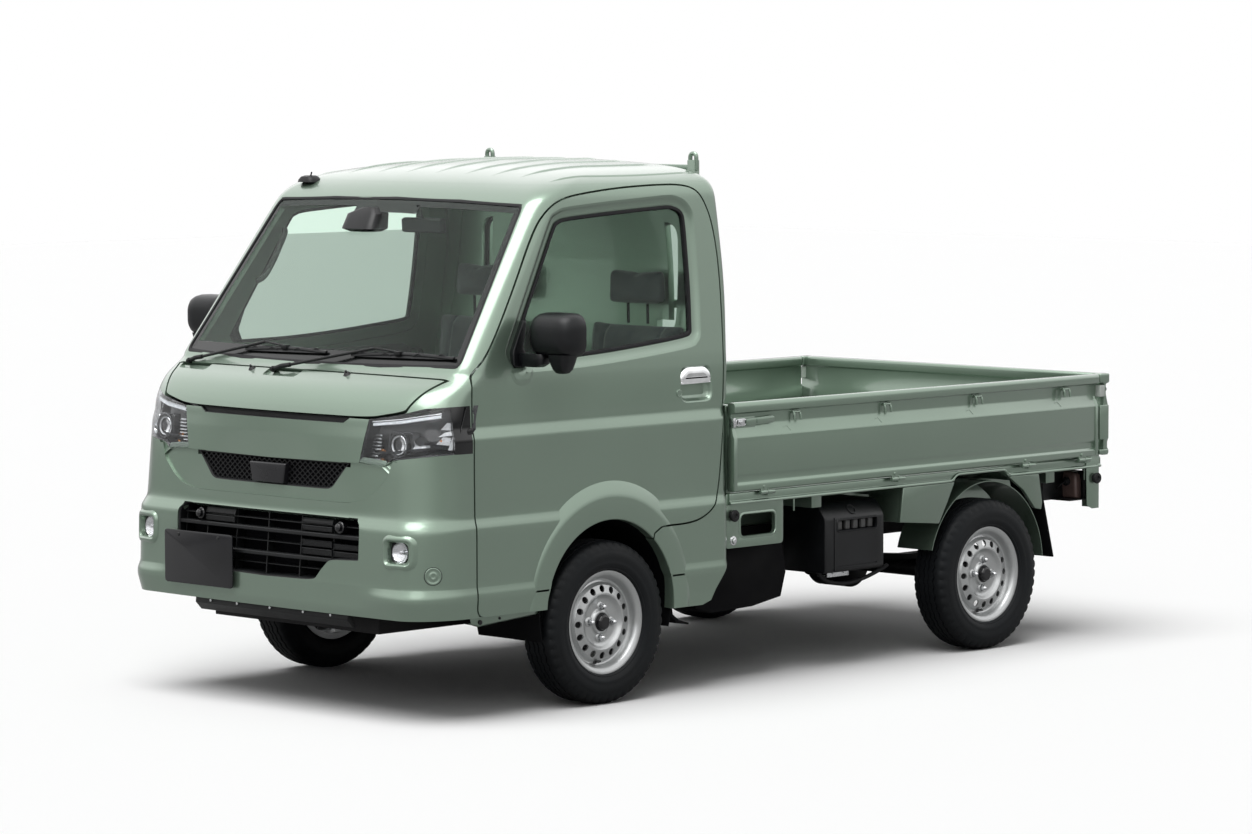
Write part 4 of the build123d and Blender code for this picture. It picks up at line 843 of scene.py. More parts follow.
def make_finishes(settings):
    """Every finish of the truck, by name."""
    paint = tuple(settings.paint_colour)
    # The second paint is the body paint darkened to 0.82: painted shade for the bed's inside, the floor pan,
    # the cab flanges, the rear fenders and the arch liners.
    made = {"paint": body_paint(paint), "shade_darkened_paint": body_paint(paint, "shade_darkened_paint", 0.82)}
    made["trim"] = moulded("black_trim", (0.005, 0.0055, 0.006), 0.45)
    made["gloss_black"] = moulded("gloss_black", (0.006, 0.006, 0.007), 0.12, 200, 0.02, 0.5)
    made["rubber"] = moulded("seal_rubber", (0.010, 0.010, 0.011), 0.62, 500, 0.1, 0.25)
    made["mirror_case"] = moulded("mirror_case", (0.0035, 0.004, 0.005), 0.36, 1500, 0.18, 0.3)
    made["chassis"] = moulded("chassis_black", (0.003, 0.003, 0.0035), 0.5, 120, 0.12, 0.2)
    made["cast"] = moulded("cast_grey", (0.10, 0.10, 0.10), 0.6, 240, 0.5, 0.4)
    made["flap"] = moulded("flap_rubber", (0.002, 0.002, 0.0025), 0.75, 350, 0.2, 0.1)
    made["silver"] = principled(
        "wheel_silver", (0.42, 0.43, 0.43), 0.34, metallic=0.75, Coat_Weight=0.3, Coat_Roughness=0.15,
    )
    sparkle = pattern(made["silver"], "TexNoise", 900, Detail=2)
    tinted(made["silver"], sparkle.outputs["Fac"], (0.36, 0.37, 0.37), (0.48, 0.49, 0.49))
    dust = pattern(made["silver"], "TexNoise", 14, Detail=5)
    ranged(made["silver"], dust.outputs["Fac"], 0.28, 0.44, "Roughness")
    made["nut"] = bare_metal("zinc_nut", (0.60, 0.61, 0.62), 0.24, 90)
    made["chrome"] = bare_metal("bright_chrome", (0.86, 0.87, 0.88), 0.05, 30)
    made["reflector"] = bare_metal("lamp_reflector", (0.70, 0.71, 0.72), 0.10, 40)
    made["bezel"] = moulded("lamp_bezel", (0.035, 0.037, 0.040), 0.22, 300, 0.05, 0.5)
    made["tyre"] = moulded("tyre_rubber", (0.0035, 0.0045, 0.0055), 0.6, 700, 0.3, 0.2)
    made["glass"] = clear("window_glass", (0.84, 0.95, 0.88), 0, 1.18)
    made["lens"] = clear("lamp_lens", (0.80, 0.81, 0.82), 0, 1.35)
    made["fog_lens"] = clear("fog_lens", (0.93, 0.93, 0.94), 0.03)
    made["amber"] = clear("amber_lens", (0.90, 0.30, 0.03), 0.08)
    made["red"] = principled(
        "red_lens", (0.42, 0.012, 0.010), 0.12, Transmission_Weight=0.35, Coat_Weight=0.8,
    )
    ribs = pattern(made["red"], "TexVoronoi", 260)
    raised(made["red"], ribs.outputs["Distance"], 0.4, 0.001)
    made["led"] = principled(
        "led_strip", (0.86, 0.88, 0.90), 0.2, Emission_Color=(0.9, 0.95, 1, 1), Emission_Strength=0.3,
    )
    pips = pattern(made["led"], "TexNoise", 80)
    tinted(made["led"], pips.outputs["Fac"], (0.7, 0.73, 0.76), (0.92, 0.94, 0.96))
    made["frit"] = moulded("glass_border", (0.006, 0.007, 0.007), 0.18, 900, 0.02, 0.5)
    made["mirror"] = bare_metal("mirror_glass", (0.80, 0.82, 0.84), 0.02, 5)
    made["floor_grey"] = moulded("cab_mat", (0.03, 0.03, 0.032), 0.85, 300, 0.5, 0.2)
    made["dash"] = moulded("dash_plastic", (0.016, 0.019, 0.018), 0.55, 700, 0.35, 0.3)
    made["lining"] = moulded("door_lining", (0.055, 0.06, 0.057), 0.6, 500, 0.3, 0.3)
    made["seat"] = principled(
        "seat_cloth", (0.055, 0.058, 0.062), 0.85, Sheen_Weight=0.3, Sheen_Roughness=0.5,
    )
    weave = pattern(made["seat"], "TexVoronoi", 520)
    raised(made["seat"], weave.outputs["Distance"], 0.6, 0.0012)
    wear = pattern(made["seat"], "TexNoise", 11, Detail=5)
    tinted(made["seat"], wear.outputs["Fac"], (0.040, 0.043, 0.047), (0.072, 0.075, 0.080))
    made["seat_side"] = moulded("seat_vinyl", (0.020, 0.021, 0.022), 0.5, 420, 0.4, 0.35)
    made["latch_white"] = moulded("latch_white", (0.62, 0.66, 0.62), 0.35, 400, 0.1, 0.4)
    made["lamp_back"] = moulded("lamp_back", (0.16, 0.105, 0.095), 0.4, 300, 0.15, 0.4)
    # A near-black, rough sheet that paints the shade deep inside the mesh and grille openings.
    made["shade_black"] = moulded("painted_shade_sheet", (0.004, 0.004, 0.005), 0.9, 60, 0.1, 0.05)
    made["sensor"] = moulded("sensor_cover", (0.010, 0.010, 0.012), 0.28, 500, 0.06, 0.5)
    made["plate"] = moulded("blank_plate", (0.008, 0.008, 0.010), 0.16, 160, 0.02, 0.5)
    made["reflex"] = principled("amber_reflex", (0.75, 0.20, 0.02), 0.15, Coat_Weight=1)
    cells = pattern(made["reflex"], "TexVoronoi", 420)
    raised(made["reflex"], cells.outputs["Distance"], 0.7, 0.001)
    return made


FINISHES = {}


# ------------------------------------------------------------ settings
class TruckPaintSettings(bpy.types.PropertyGroup):
    """Colours of the truck."""

    paint_colour: bpy.props.FloatVectorProperty(
        name="Body colour", description="Colour of the metallic body paint", subtype="COLOR",
        size=3, min=0, max=1, default=(0.200, 0.272, 0.212),
    )
    floor_colour: bpy.props.FloatVectorProperty(
        name="Floor colour", description="Colour of the studio floor", subtype="COLOR",
        size=3, min=0, max=1, default=(0.90, 0.90, 0.90),
    )


class TruckSizeSettings(bpy.types.PropertyGroup):
    """Sizes of the trim that a user might change."""

    door_thickness: bpy.props.FloatProperty(
        name="Door thickness", description="Thickness of a door's shell, in millimetres",
        default=30, min=10, max=45,
    )
    tread_depth: bpy.props.FloatProperty(
        name="Tread depth", description="Depth of the tyre's grooves, in millimetres",
        default=6, min=2, max=9,
    )
    vent_count: bpy.props.IntProperty(
        name="Wheel vents", description="How many round holes each wheel has", default=16, min=6, max=24,
    )
    hook_size: bpy.props.FloatProperty(
        name="Rope hook wire", description="Radius of the rope hooks' wire, in millimetres",
        default=4, min=2, max=7,
    )


# ------------------------------------------------------------ the cab's panels
DOOR = softened(DOOR_OUTLINE)
DOOR_OPENING = grown(DOOR, 6)
WINDOW = softened(WINDOW_OUTLINE)
SURROUND = 36
WINDOW_HOLE = grown(WINDOW, SURROUND)
HANDLE = filleted(rectangle(350, 500, 952, 1072), 34)
SCREEN = softened((
    (0, SCREEN_MIDDLE_Z[0]), (330, 1104.5), (*SCREEN_LOW, 0.12), (*SCREEN_HIGH, 0.12),
    (300, 1617.5), (0, SCREEN_MIDDLE_Z[1]),
), closed=False)
SCREEN_LOOP = both_sides(SCREEN)
HOOD = softened(HOOD_OUTLINE, closed=False)
HOOD_GAP = softened(HOOD_OPENING, closed=False)
FRAME_LOOP = softened(FRAME_OUTLINE, closed=False)
MESH_LOOP = softened(MESH_OUTLINE, closed=False)
GRILLE = softened(GRILLE_OUTLINE, closed=False)
SLIT = ((0, 952), (362, 952), (350, 944), (334, 934), (0, 934))
FOG_X = 606
FOG_Z = 545
FOG_HOLE = filleted(rectangle(FOG_X - 40, FOG_X + 40, FOG_Z - 34, FOG_Z + 34), 24)
REAR_WINDOW = filleted([(-470, 1150), (470, 1150), (470, 1530), (-470, 1530)], 60)
BACK_OUTLINE = ((0, 484), (640, 484), (640, 1000), (540, ROOF_SEAM_Z), (0, ROOF_SEAM_Z))
HOOD_GAP_WIDTH = 7
LENS_REAR = -668           # where the headlamp ends and the black garnish begins
SPARE_SKIN = {}             # skin pieces that a later operator finishes


def hood_rear(x):
    """How far behind the axle the hood's curved rear edge lies."""
    middle, corner = HOOD_REAR
    return middle + (corner - middle) * (x / 660) ** 2


def half_polygon(outline):
    """A left half outline, with room past the middle for a test there."""
    return [(p[0] if p[0] > 1e-6 else -1, p[1]) for p in outline]


ZONES = {
    name: half_polygon(outline)
    for name, outline in (
        ("screen", SCREEN), ("hood", HOOD), ("hood_gap", HOOD_GAP), ("front", FRONT_TOP),
        ("lamp", LAMP_OUTLINE), ("nose", NOSE_OUTLINE), ("frame", FRAME_LOOP), ("mesh", MESH_LOOP),
        ("grille", GRILLE), ("slit", SLIT), ("fog", FOG_HOLE), ("back", BACK_OUTLINE),
        ("rear_window", [p for p in REAR_WINDOW if p[0] >= 0]),
    )
}
SILL = list(SILL_CUT)


def panel_at(x, d, z):
    """The panel that a bit of skin belongs to, or None where it is cut away."""
    x = abs(x)
    if (z < 333 and d < 284) or inside((d, z), SILL):
        return None
    if x > 560:
        if hypot(d, z - ARCH_Z) < ARCH_RADIUS:
            return None
        if inside((d, z), DOOR_OPENING):
            if not inside((d, z), DOOR) or inside((d, z), WINDOW_HOLE) or inside((d, z), HANDLE):
                return None
            return "door"
    if z > ROOF_SEAM_Z:
        return "roof"
    if d > 470 and inside((x, z), ZONES["back"]):
        return None if inside((x, z), ZONES["rear_window"]) else "back"
    if d < -100 and z > 1090 and inside((x, z), ZONES["screen"]):
        return None
    if z > 940 and d < hood_rear(x) + HOOD_GAP_WIDTH and inside((x, z), ZONES["hood_gap"]):
        return "hood" if d < hood_rear(x) and inside((x, z), ZONES["hood"]) else None
    if d < FRONT_ZONE and inside((x, z), ZONES["front"]):
        if inside((x, z), ZONES["lamp"]):
            return "lens" if d < LENS_REAR else "garnish"
        if inside((x, z), ZONES["grille"]) or inside((x, z), ZONES["fog"]):
            return None
        if inside((x, z), ZONES["nose"]):
            return None if inside((x, z), ZONES["slit"]) else "nose"
        if inside((x, z), ZONES["frame"]):
            return None if inside((x, z), ZONES["mesh"]) else "surround"
        return "bumper"
    return "frame"


def wall(outline, axis, low, high, closed=True):
    """A thin wall along an outline, to cut the skin with."""
    rows = [[placed(axis, reach, *point[:2]) for point in outline] for reach in (low, high)]
    if axis == "X":
        rows = [[(x, at(y), z) for x, y, z in row] for row in rows]
    return lattice("cutter", rows, closed=closed)


def skin_sheet():
    """The cab's whole outer skin as one sheet."""
    rows = []
    for level in LEVELS:
        z = level[0]
        half = row_points(level)
        if z < 431:
            lip = row_points(level_at(431))
            half = [
                (x, y + max(lip[k][1] - y, 0) * min(max((530 - x) / 60, 0), 1) if k < 27 else y)
                for k, (x, y) in enumerate(half)
            ]
        loop = half + [(-x, y) for x, y in reversed(half[1:-1])]
        rows.append([(x, y, z) for x, y in loop])
    top = rows[-1]
    middle = Vector((0, at(340), LEVELS[-1][0]))
    for share, rise in ((0.7, 1.2), (0.35, 2), (0, 2.3)):
        rows.append([tuple(middle + (Vector(p) - middle) * share + Vector((0, 0, rise))) for p in top])
    return lattice("skin", rows, closed=True)


def skin_cutters():
    """The walls along every shut line and opening."""
    cutters = []
    for side in (1, -1):
        for outline in (
            DOOR, DOOR_OPENING, WINDOW_HOLE, HANDLE, ring_points((0, ARCH_Z), ARCH_RADIUS, steps=96),
        ):
            cutters.append(wall(outline, "X", 560 * side, 800 * side))
        cutters.append(wall([(side * x, z) for x, z, *_ in LAMP_OUTLINE], "Y", at(-900), at(FRONT_ZONE)))
        cutters.append(wall([(side * x, z) for x, z in FOG_HOLE], "Y", at(-900), at(-640)))
        corner = [(side * 560, at(LENS_REAR)), (side * 800, at(LENS_REAR))]
        cutters.append(wall(corner, "Z", 840, 1015, closed=False))
    cutters.append(wall(SILL_CUT, "X", -800, 800))
    cutters.append(wall(rectangle(-1000, 284, 100, 333), "X", -800, 800))
    cutters.append(wall(rectangle(-1000, FRONT_ZONE, 300, 1003), "X", -800, 800))
    for outline in (NOSE_OUTLINE, FRAME_LOOP, MESH_LOOP, GRILLE, SLIT, HOOD, HOOD_GAP, FRONT_TOP):
        cutters.append(wall(both_sides(outline), "Y", at(-900), at(FRONT_ZONE)))
    cutters.append(wall(SCREEN_LOOP, "Y", at(-800), at(-100)))
    cutters.append(wall(both_sides(BACK_OUTLINE), "Y", at(470), at(800)))
    cutters.append(wall(REAR_WINDOW, "Y", at(470), at(800)))
    for gap in (0, HOOD_GAP_WIDTH):
        curve = [(x, at(hood_rear(x) + gap)) for x in range(-680, 681, 20)]
        cutters.append(wall(curve, "Z", 1030, 1140, closed=False))
    cutters.append(lattice("cutter", [[(-900, at(-900), ROOF_SEAM_Z), (900, at(-900), ROOF_SEAM_Z)],
                                      [(-900, at(900), ROOF_SEAM_Z), (900, at(900), ROOF_SEAM_Z)]]))
    return cutters


def cut_skin():
    """The skin divided into its panels, as one open sheet each."""
    skin = skin_sheet()
    cutter = joined("cutter", skin_cutters())
    for piece, place in ((skin, 0), (cutter, 1)):
        piece.data.materials.clear()
        for name in ("skin_side", "cutter_side"):
            piece.data.materials.append(bpy.data.materials.get(name) or bpy.data.materials.new(name))
        piece.data.polygons.foreach_set("material_index", [place] * len(piece.data.polygons))
        piece.data.polygons.foreach_set("select", [place == 1] * len(piece.data.polygons))
    choose(skin, cutter)
    bpy.ops.object.join()
    choose(skin)
    bpy.ops.object.mode_set(mode="EDIT")
    bpy.ops.mesh.select_mode(type="FACE")
    bpy.ops.mesh.select_all(action="DESELECT")
    bpy.context.object.active_material_index = 1
    bpy.ops.object.material_slot_select()
    bpy.ops.mesh.intersect(mode="SELECT_UNSELECT", separate_mode="NONE", solver="EXACT")
    bpy.ops.object.mode_set(mode="OBJECT")
    groups = {}
    for face in skin.data.polygons:
        zone = None
        if face.material_index == 0:
            x, y, z = (value / MM for value in face.center)
            zone = panel_at(x, y - AXLE_Y, z)
            if zone == "door":
                zone = "door_left" if x > 0 else "door_right"
        groups.setdefault(zone, []).append(face.index)
    panels = {}
    for zone, faces in groups.items():
        if zone is None:
            continue
        choose(skin)
        bpy.ops.object.duplicate(linked=False)
        panel = named("panel_" + zone)
        wanted = set(faces)
        chosen = [face.index not in wanted for face in panel.data.polygons]
        panel.data.vertices.foreach_set("select", [False] * len(panel.data.vertices))
        panel.data.edges.foreach_set("select", [False] * len(panel.data.edges))
        panel.data.polygons.foreach_set("select", chosen)
        bpy.ops.object.mode_set(mode="EDIT")
        bpy.ops.mesh.delete(type="FACE")
        bpy.ops.mesh.select_all(action="SELECT")
        bpy.ops.mesh.remove_doubles(threshold=2e-5)
        bpy.ops.object.mode_set(mode="OBJECT")
        panel.data.materials.clear()
        panels[zone] = panel
    removed(skin)
    return panels


def thickened(panel, thickness):
    return modify(panel, "SOLIDIFY", thickness=thickness * MM, offset=-1, use_even_offset=False)


SUNS = (                    # name, where it stands, strength, and how wide it looks
    ("top_light", (0.05, -0.38, 1), 2.8, 50),
    ("front_light", (0.62, -0.80, 0.62), 0.30, 34),
)
CAMERA_PLACE = (11.09903, -10.465155, 2.078869)   # metres, from the front axle's middle
CAMERA_TURN = (0.774095, 0.077549, -0.0020668)    # yaw, pitch and roll, in radians
CAMERA_LENS = 132.746
CAMERA_SHIFT = (-0.011584, -0.001491)
FLOOR_SIZE = 60
SKY_LIGHT = 0.2
SKY_BEND = 0.24             # the height at which the mirrored sky has its full brightness
SKY_MIRRORED = (0.30, 1.5)   # the sky seen in the paint, at the horizon and high up
FLOOR_DIMMED = 0.5          # how much of the floor's own brightness it throws back at the truck


def placed_camera():
    """The camera, turned by its yaw, pitch and roll."""
    deselect()
    bpy.ops.object.camera_add(location=Vector(CAMERA_PLACE) + Vector((0, AXLE_Y * MM, 0)))
    camera = named("camera")
    yaw, pitch, roll = CAMERA_TURN
    back = Vector((sin(yaw) * cos(pitch), -cos(yaw) * cos(pitch), sin(pitch)))
    right = Vector((0, 0, 1)).cross(back).normalized()
    up = back.cross(right)
    right, up = right * cos(roll) + up * sin(roll), up * cos(roll) - right * sin(roll)
    turn = Matrix((right, up, back)).transposed().to_4x4()
    camera.matrix_world = Matrix.Translation(camera.location) @ turn
    camera.data.lens = CAMERA_LENS
    camera.data.shift_x, camera.data.shift_y = CAMERA_SHIFT
    camera.data.clip_end = 200
    return camera


def laid_floor(colour):
    """The pale floor, which throws back less light than it shows."""
    bpy.ops.mesh.primitive_plane_add(size=FLOOR_SIZE)
    floor = named("floor")
    settle(floor)
    finish = principled("studio_floor", colour, 0.9, Specular_IOR_Level=0.1)
    cloud = pattern(finish, "TexNoise", 0.8)
    ranged(finish, cloud.outputs["Fac"], 0.86, 0.94, "Roughness")
    floor.data.materials.append(finish)
    tree = finish.node_tree
    shade = added(tree, "Mix")
    shade.data_type = "RGBA"
    shade.inputs["A"].default_value = (*scaled(colour, FLOOR_DIMMED), 1)
    shade.inputs["B"].default_value = (*colour, 1)
    tree.links.new(added(tree, "LightPath").outputs["Is Camera Ray"], shade.inputs["Factor"])
    driving(tree, shade.outputs["Result"], "Base Color")
    return floor


def reckoned(tree, way, *values):
    """A Math node on two values, each a number or another node's output."""
    step = added(tree, "Math")
    step.operation = way
    for socket, value in zip(step.inputs, values):
        if isinstance(value, float):
            socket.default_value = value
        else:
            tree.links.new(value, socket)
    return step.outputs[0]


def made_sky():
    """A sky that is white to the eye and through glass, graded in the paint, and dim as a lamp."""
    sky = bpy.data.worlds.new("studio")
    sky.use_nodes = True
    tree = sky.node_tree
    light = tree.nodes["Background"]
    light.inputs["Color"].default_value = (1, 1, 1, 1)
    height = added(tree, "SeparateXYZ")
    tree.links.new(added(tree, "TexCoord").outputs["Generated"], height.inputs[0])
    low, high = SKY_MIRRORED
    rise = added(tree, "MapRange", To_Min=low, To_Max=high, From_Max=SKY_BEND)
    tree.links.new(height.outputs["Z"], rise.inputs["Value"])
    rays = added(tree, "LightPath").outputs
    mirrored = reckoned(tree, "MULTIPLY", rays["Is Glossy Ray"], rise.outputs[0])
    strength = rays["Is Camera Ray"]
    for other in (rays["Is Transmission Ray"], mirrored, SKY_LIGHT):
        strength = reckoned(tree, "MAXIMUM", strength, other)
    tree.links.new(strength, light.inputs["Strength"])
    return sky


class TRUCK_OT_stage(bpy.types.Operator):
    """Makes the camera, the pale floor, the lamps and the sky"""

    bl_idname = "truck.stage"
    bl_label = "Stage"

    def execute(self, context):
        context.scene.camera = placed_camera()
        context.scene.view_settings.view_transform = "Standard"
        laid_floor(tuple(context.scene.truck_paint.floor_colour))
        for name, direction, strength, spread_angle in SUNS:
            deselect()
            bpy.ops.object.light_add(type="SUN", location=(0, 0, 8))
            lamp = named(name)
            lamp.data.energy = strength
            lamp.data.angle = radians(spread_angle)
            lamp.rotation_euler = Vector(direction).to_track_quat("Z", "Y").to_euler()
        context.scene.world = made_sky()
        return {"FINISHED"}


def flare_parts():
    """The left wheel arch's raised flare, as its door part and its body part."""
    rows = []
    for x, distance, z, radius in (
        (713, 0, 309, 289), (734, 0, 309, 289), (737, 0, 310, 290.5), (737.5, 0, 311, 294),
        (737.5, 0, 322, 346), (736.8, 0, 323, 352), (734.6, 1, 327, 358), (724, 4, 342, 379),
        (720.5, 5, 345, 384), (715, 5, 345, 386), (705, 5, 345, 386), (705, 0, 309, 289),
    ):
        arc = ring_points((distance, z), radius, radians(-14), radians(208), 96)
        rows.append([(x, at(d), high) for d, high in arc])
    flare = lattice("flare", rows + [rows[0]])
    capped(weld(flare, outwards=False))
    low = side_prism("low", rectangle(-600, 600, 0, 333), 690, 760)
    door_part = copied(flare, "door_flare")
    door_part = cut_away(door_part, low)
    door_part = cut_away(door_part, side_prism("door_tool", DOOR, 690, 760), operation="INTERSECT")
    opening = side_prism("opening_tool", DOOR_OPENING, 690, 760)
    front = side_prism("front_tool", rectangle(-600, 185, 0, 345), 690, 760)
    body_part = cut_away(flare, opening, front, side_prism(
        "sill_tool", rectangle(180, 600, 0, 288), 690, 760,
    ))
    return door_part, body_part


class TRUCK_OT_cab_panels(bpy.types.Operator):
    """Makes the painted panels of the cab, with their shut lines"""

    bl_idname = "truck.cab_panels"
    bl_label = "Cab panels"

    def execute(self, context):
        panels = cut_skin()
        SPARE_SKIN.update(lens=panels["lens"], garnish=panels["garnish"])
        door_flare, body_flare = flare_parts()
        thickness = context.scene.truck_sizes.door_thickness
        for side in ("left", "right"):
            mirror = side == "right"
            panel = thickened(panels["door_" + side], thickness)
            pieces = [panel, copied(door_flare, "flare", mirror=mirror)]
            surround = collar("surround", WINDOW, (
                (SURROUND + 0.5, 0), (SURROUND - 5, 1.2), (SURROUND - 10, 5), (SURROUND - 14, 9.5),
                (SURROUND - 20, 12), (SURROUND - 27, 12.5), (2, 13), (0, 14), (0, 28), (SURROUND + 0.5, 28),
                (SURROUND + 0.5, 0),
            ), on_side)
            weld(surround)
            cup = collar("cup", HANDLE, (
                (1, 0), (-2, 0.8), (-5, 4), (-8, 11), (-13, 18), (-22, 22), (-50, 23),
            ), on_side)
            for part in (surround, cup):
                pieces.append(copied(part, "part", mirror=mirror))
                removed(part)
            door = joined("door_panel_" + side, pieces)
            ready(door, "paint", "body_paint", "door_" + side, body="door_" + side)
        removed(door_flare)
        shell = joined("cab_shell", [
            thickened(panels["frame"], 36), copied(body_flare, "flare"),
            copied(body_flare, "flare", mirror=True),
        ])
        removed(body_flare)
        ready(shell, "paint", "body_paint", "cab_frame")
        ready(thickened(panels["roof"], 30), "paint", "body_paint", "roof_panel")
        ready(thickened(panels["back"], 28), "paint", "body_paint", "back_panel")
        ready(thickened(panels["hood"], 20), "paint", "body_paint", "hood", body="hood")
        ready(thickened(panels["bumper"], 24), "paint", "body_paint", "front_bumper")
        nose = thickened(panels["nose"], 22)
        inset = panels["surround"]
        inset.data.transform(Matrix.Translation((0, 7 * MM, 0)))
        finished("nose_panel", [nose, thickened(inset, 20)], "paint", "body_paint", "front_panel")
        return {"FINISHED"}


class TRUCK_OT_glazing(bpy.types.Operator):
    """Gives the windows their glass, seals and dark borders"""

    bl_idname = "truck.glazing"
    bl_label = "Glazing"

    def execute(self, context):
        glass = pane_of("door_pane", grown(WINDOW, 4), on_side, 17, 4)
        paired("door_pane", glass, "door_", "glass", "clear_glass", "door_glass_")
        seal = collar("window_seal", WINDOW, (
            (1, 9), (-3, 8), (-9, 9), (-11, 13), (-11, 24), (1, 24), (1, 9),
        ), on_side)
        paired("window_seal", weld(seal), "door_", "rubber", angle=40)
        rubber = collar("windscreen_rubber", SCREEN_LOOP, (
            (4, 0), (2.5, -1.6), (-1, -1.8), (-5, -0.5), (-6.5, 3), (-6.5, 12), (4, 12), (4, 0),
        ), on_front)
        ready(weld(rubber), "rubber", angle=40)
        border = collar("windscreen_border", SCREEN_LOOP, ((-4, 3.6), (-26, 3.6)), on_front)
        ready(border, "frit")
        return {"FINISHED"}


# ------------------------------------------------------------ the nose and the lower grille
SLIT_DEPTH = 13
MESH_DEPTH = 9            # the mesh lies this far behind the raised frame round it
MESH_PITCH = 15
MESH_BAR = 1.5
FRAME_STEPS = (             # the stepped edge of the nose frame: inwards, depth
    (0, -0.3), (-2.5, 1.8), (-5, 3.2), (-12, 3.6), (-14.5, 5.6), (-18, 7.2), (-20, 9),
)
SENSOR_TOP = ((-87, 792), (87, 792), (74, 728), (-74, 728))
SENSOR_FRONT = -816
SENSOR_DEPTH = 34
GRILLE_BACK = 64
MAIN_BARS = (576, 499)
FINS = (607, 538, 466)
RIBS = (-422, -315, -169, -15, 143, 296, 420)
BLANKS = (                  # low and high x, low and high z
    (-315, -170, 586, 629), (157, 296, 586, 626), (157, 296, 510, 558), (305, 418, 510, 552),
)
STUDS = ((-338, 608), (336, 607))
DAM_TOP_Z = 334
DAM_BOTTOM_Z = 289
DAM_HALF = 368
DAM_Y = (-806, -784)
BODY_PLATES = (             # name, low and high x, low and high z, distance back, thickness
    ("front_plate", -473, -137, 377, 550, -848, 5), ("rear_plate", -165, 165, 432, 597, 2506, 4),
)


def crossing(outline, origin, direction):
    """Where a line enters and leaves a closed outline, as distances along it."""
    hits = []
    for i in range(len(outline)):
        a, b = Vector(outline[i - 1][:2]), Vector(outline[i][:2])
        edge = b - a
        turn = direction.x * edge.y - direction.y * edge.x
        if abs(turn) < 1e-9:
            continue
        gap = a - origin
        share = (gap.x * direction.y - gap.y * direction.x) / turn
        if 0 <= share < 1:
            hits.append((gap.x * edge.y - gap.y * edge.x) / turn)
    return (min(hits), max(hits)) if len(hits) > 1 else None


def mesh_bars(outline, angle, place, depth):
    """One family of thin parallel bars that fill an outline."""
    direction = Vector((cos(angle), sin(angle)))
    across = Vector((-direction.y, direction.x))
    middle = Vector((0, sum(p[1] for p in outline) / len(outline)))
    reach = max(abs(p[0]) for p in outline)
    bars = []
    count = int(reach / MESH_PITCH)
    for k in range(-count, count + 1):
        origin = middle + across * k * MESH_PITCH
        ends = crossing(outline, origin, direction)
        if not ends or ends[1] - ends[0] < 6:
            continue
        path = spread([tuple(origin + direction * t) for t in ends], 45, closed=False)
        bars.append(strip("bar", path, (
            (-MESH_BAR, depth + 3), (-MESH_BAR, depth), (MESH_BAR, depth), (MESH_BAR, depth + 3),
        ), place))
    return bars


def facing(x, z, depth=0):
    """A point sunk into the skin's front, and the way that the skin faces there."""
    here = Vector(on_front(x, z))
    away = (Vector(on_front(x + 3, z)) - here).cross(Vector(on_front(x, z + 3)) - here).normalized()
    return here - away * depth, away


class TRUCK_OT_nose_trim(bpy.types.Operator):
    """Makes the slit, the mesh with its sensor box, and the stepped frame of the nose"""

    bl_idname = "truck.nose_trim"
    bl_label = "Nose trim"

    def execute(self, context):
        slit = filled("nose_slit", both_sides(SLIT), on_front, SLIT_DEPTH)
        lip = collar(
            "slit_lip", spread(both_sides(SLIT), 60), ((0.5, 1), (-1.5, 3), (-2, SLIT_DEPTH)), on_front,
        )
        finished("nose_slit", [slit, lip], "trim")

        path = [p for p in FRAME_LOOP if p[1] < 813]
        path = [(x, z) for x, z in path if not (x < 411 and z > 800)]
        path = path + [(-x, z) for x, z in reversed(path[:-1])]
        step = strip("nose_step", spread(path, 40, closed=False), FRAME_STEPS, on_front)
        ready(step, "paint", "body_paint", angle=24)

        opening = both_sides(MESH_LOOP)
        back = filled("nose_mesh_back", opening, on_front, MESH_DEPTH + 12)
        lip = collar("mesh_lip", spread(opening, 60), (
            (1, 6.5), (-2, 7.5), (-4, 11), (-4, MESH_DEPTH + 12),
        ), on_front)
        bars = []
        for angle in (radians(38), radians(-38)):
            bars += mesh_bars(opening, angle, on_front, MESH_DEPTH + 3)
        finished("nose_mesh", [lip] + bars, "trim")
        # The plate behind the mesh is a sheet of painted shade.
        ready(back, "shade_black")

        box = prism("sensor_box", SENSOR_TOP, "Y", at(SENSOR_FRONT), at(SENSOR_FRONT + SENSOR_DEPTH))
        edge_round(box, 5, 3)
        ready(box, "sensor")
        return {"FINISHED"}


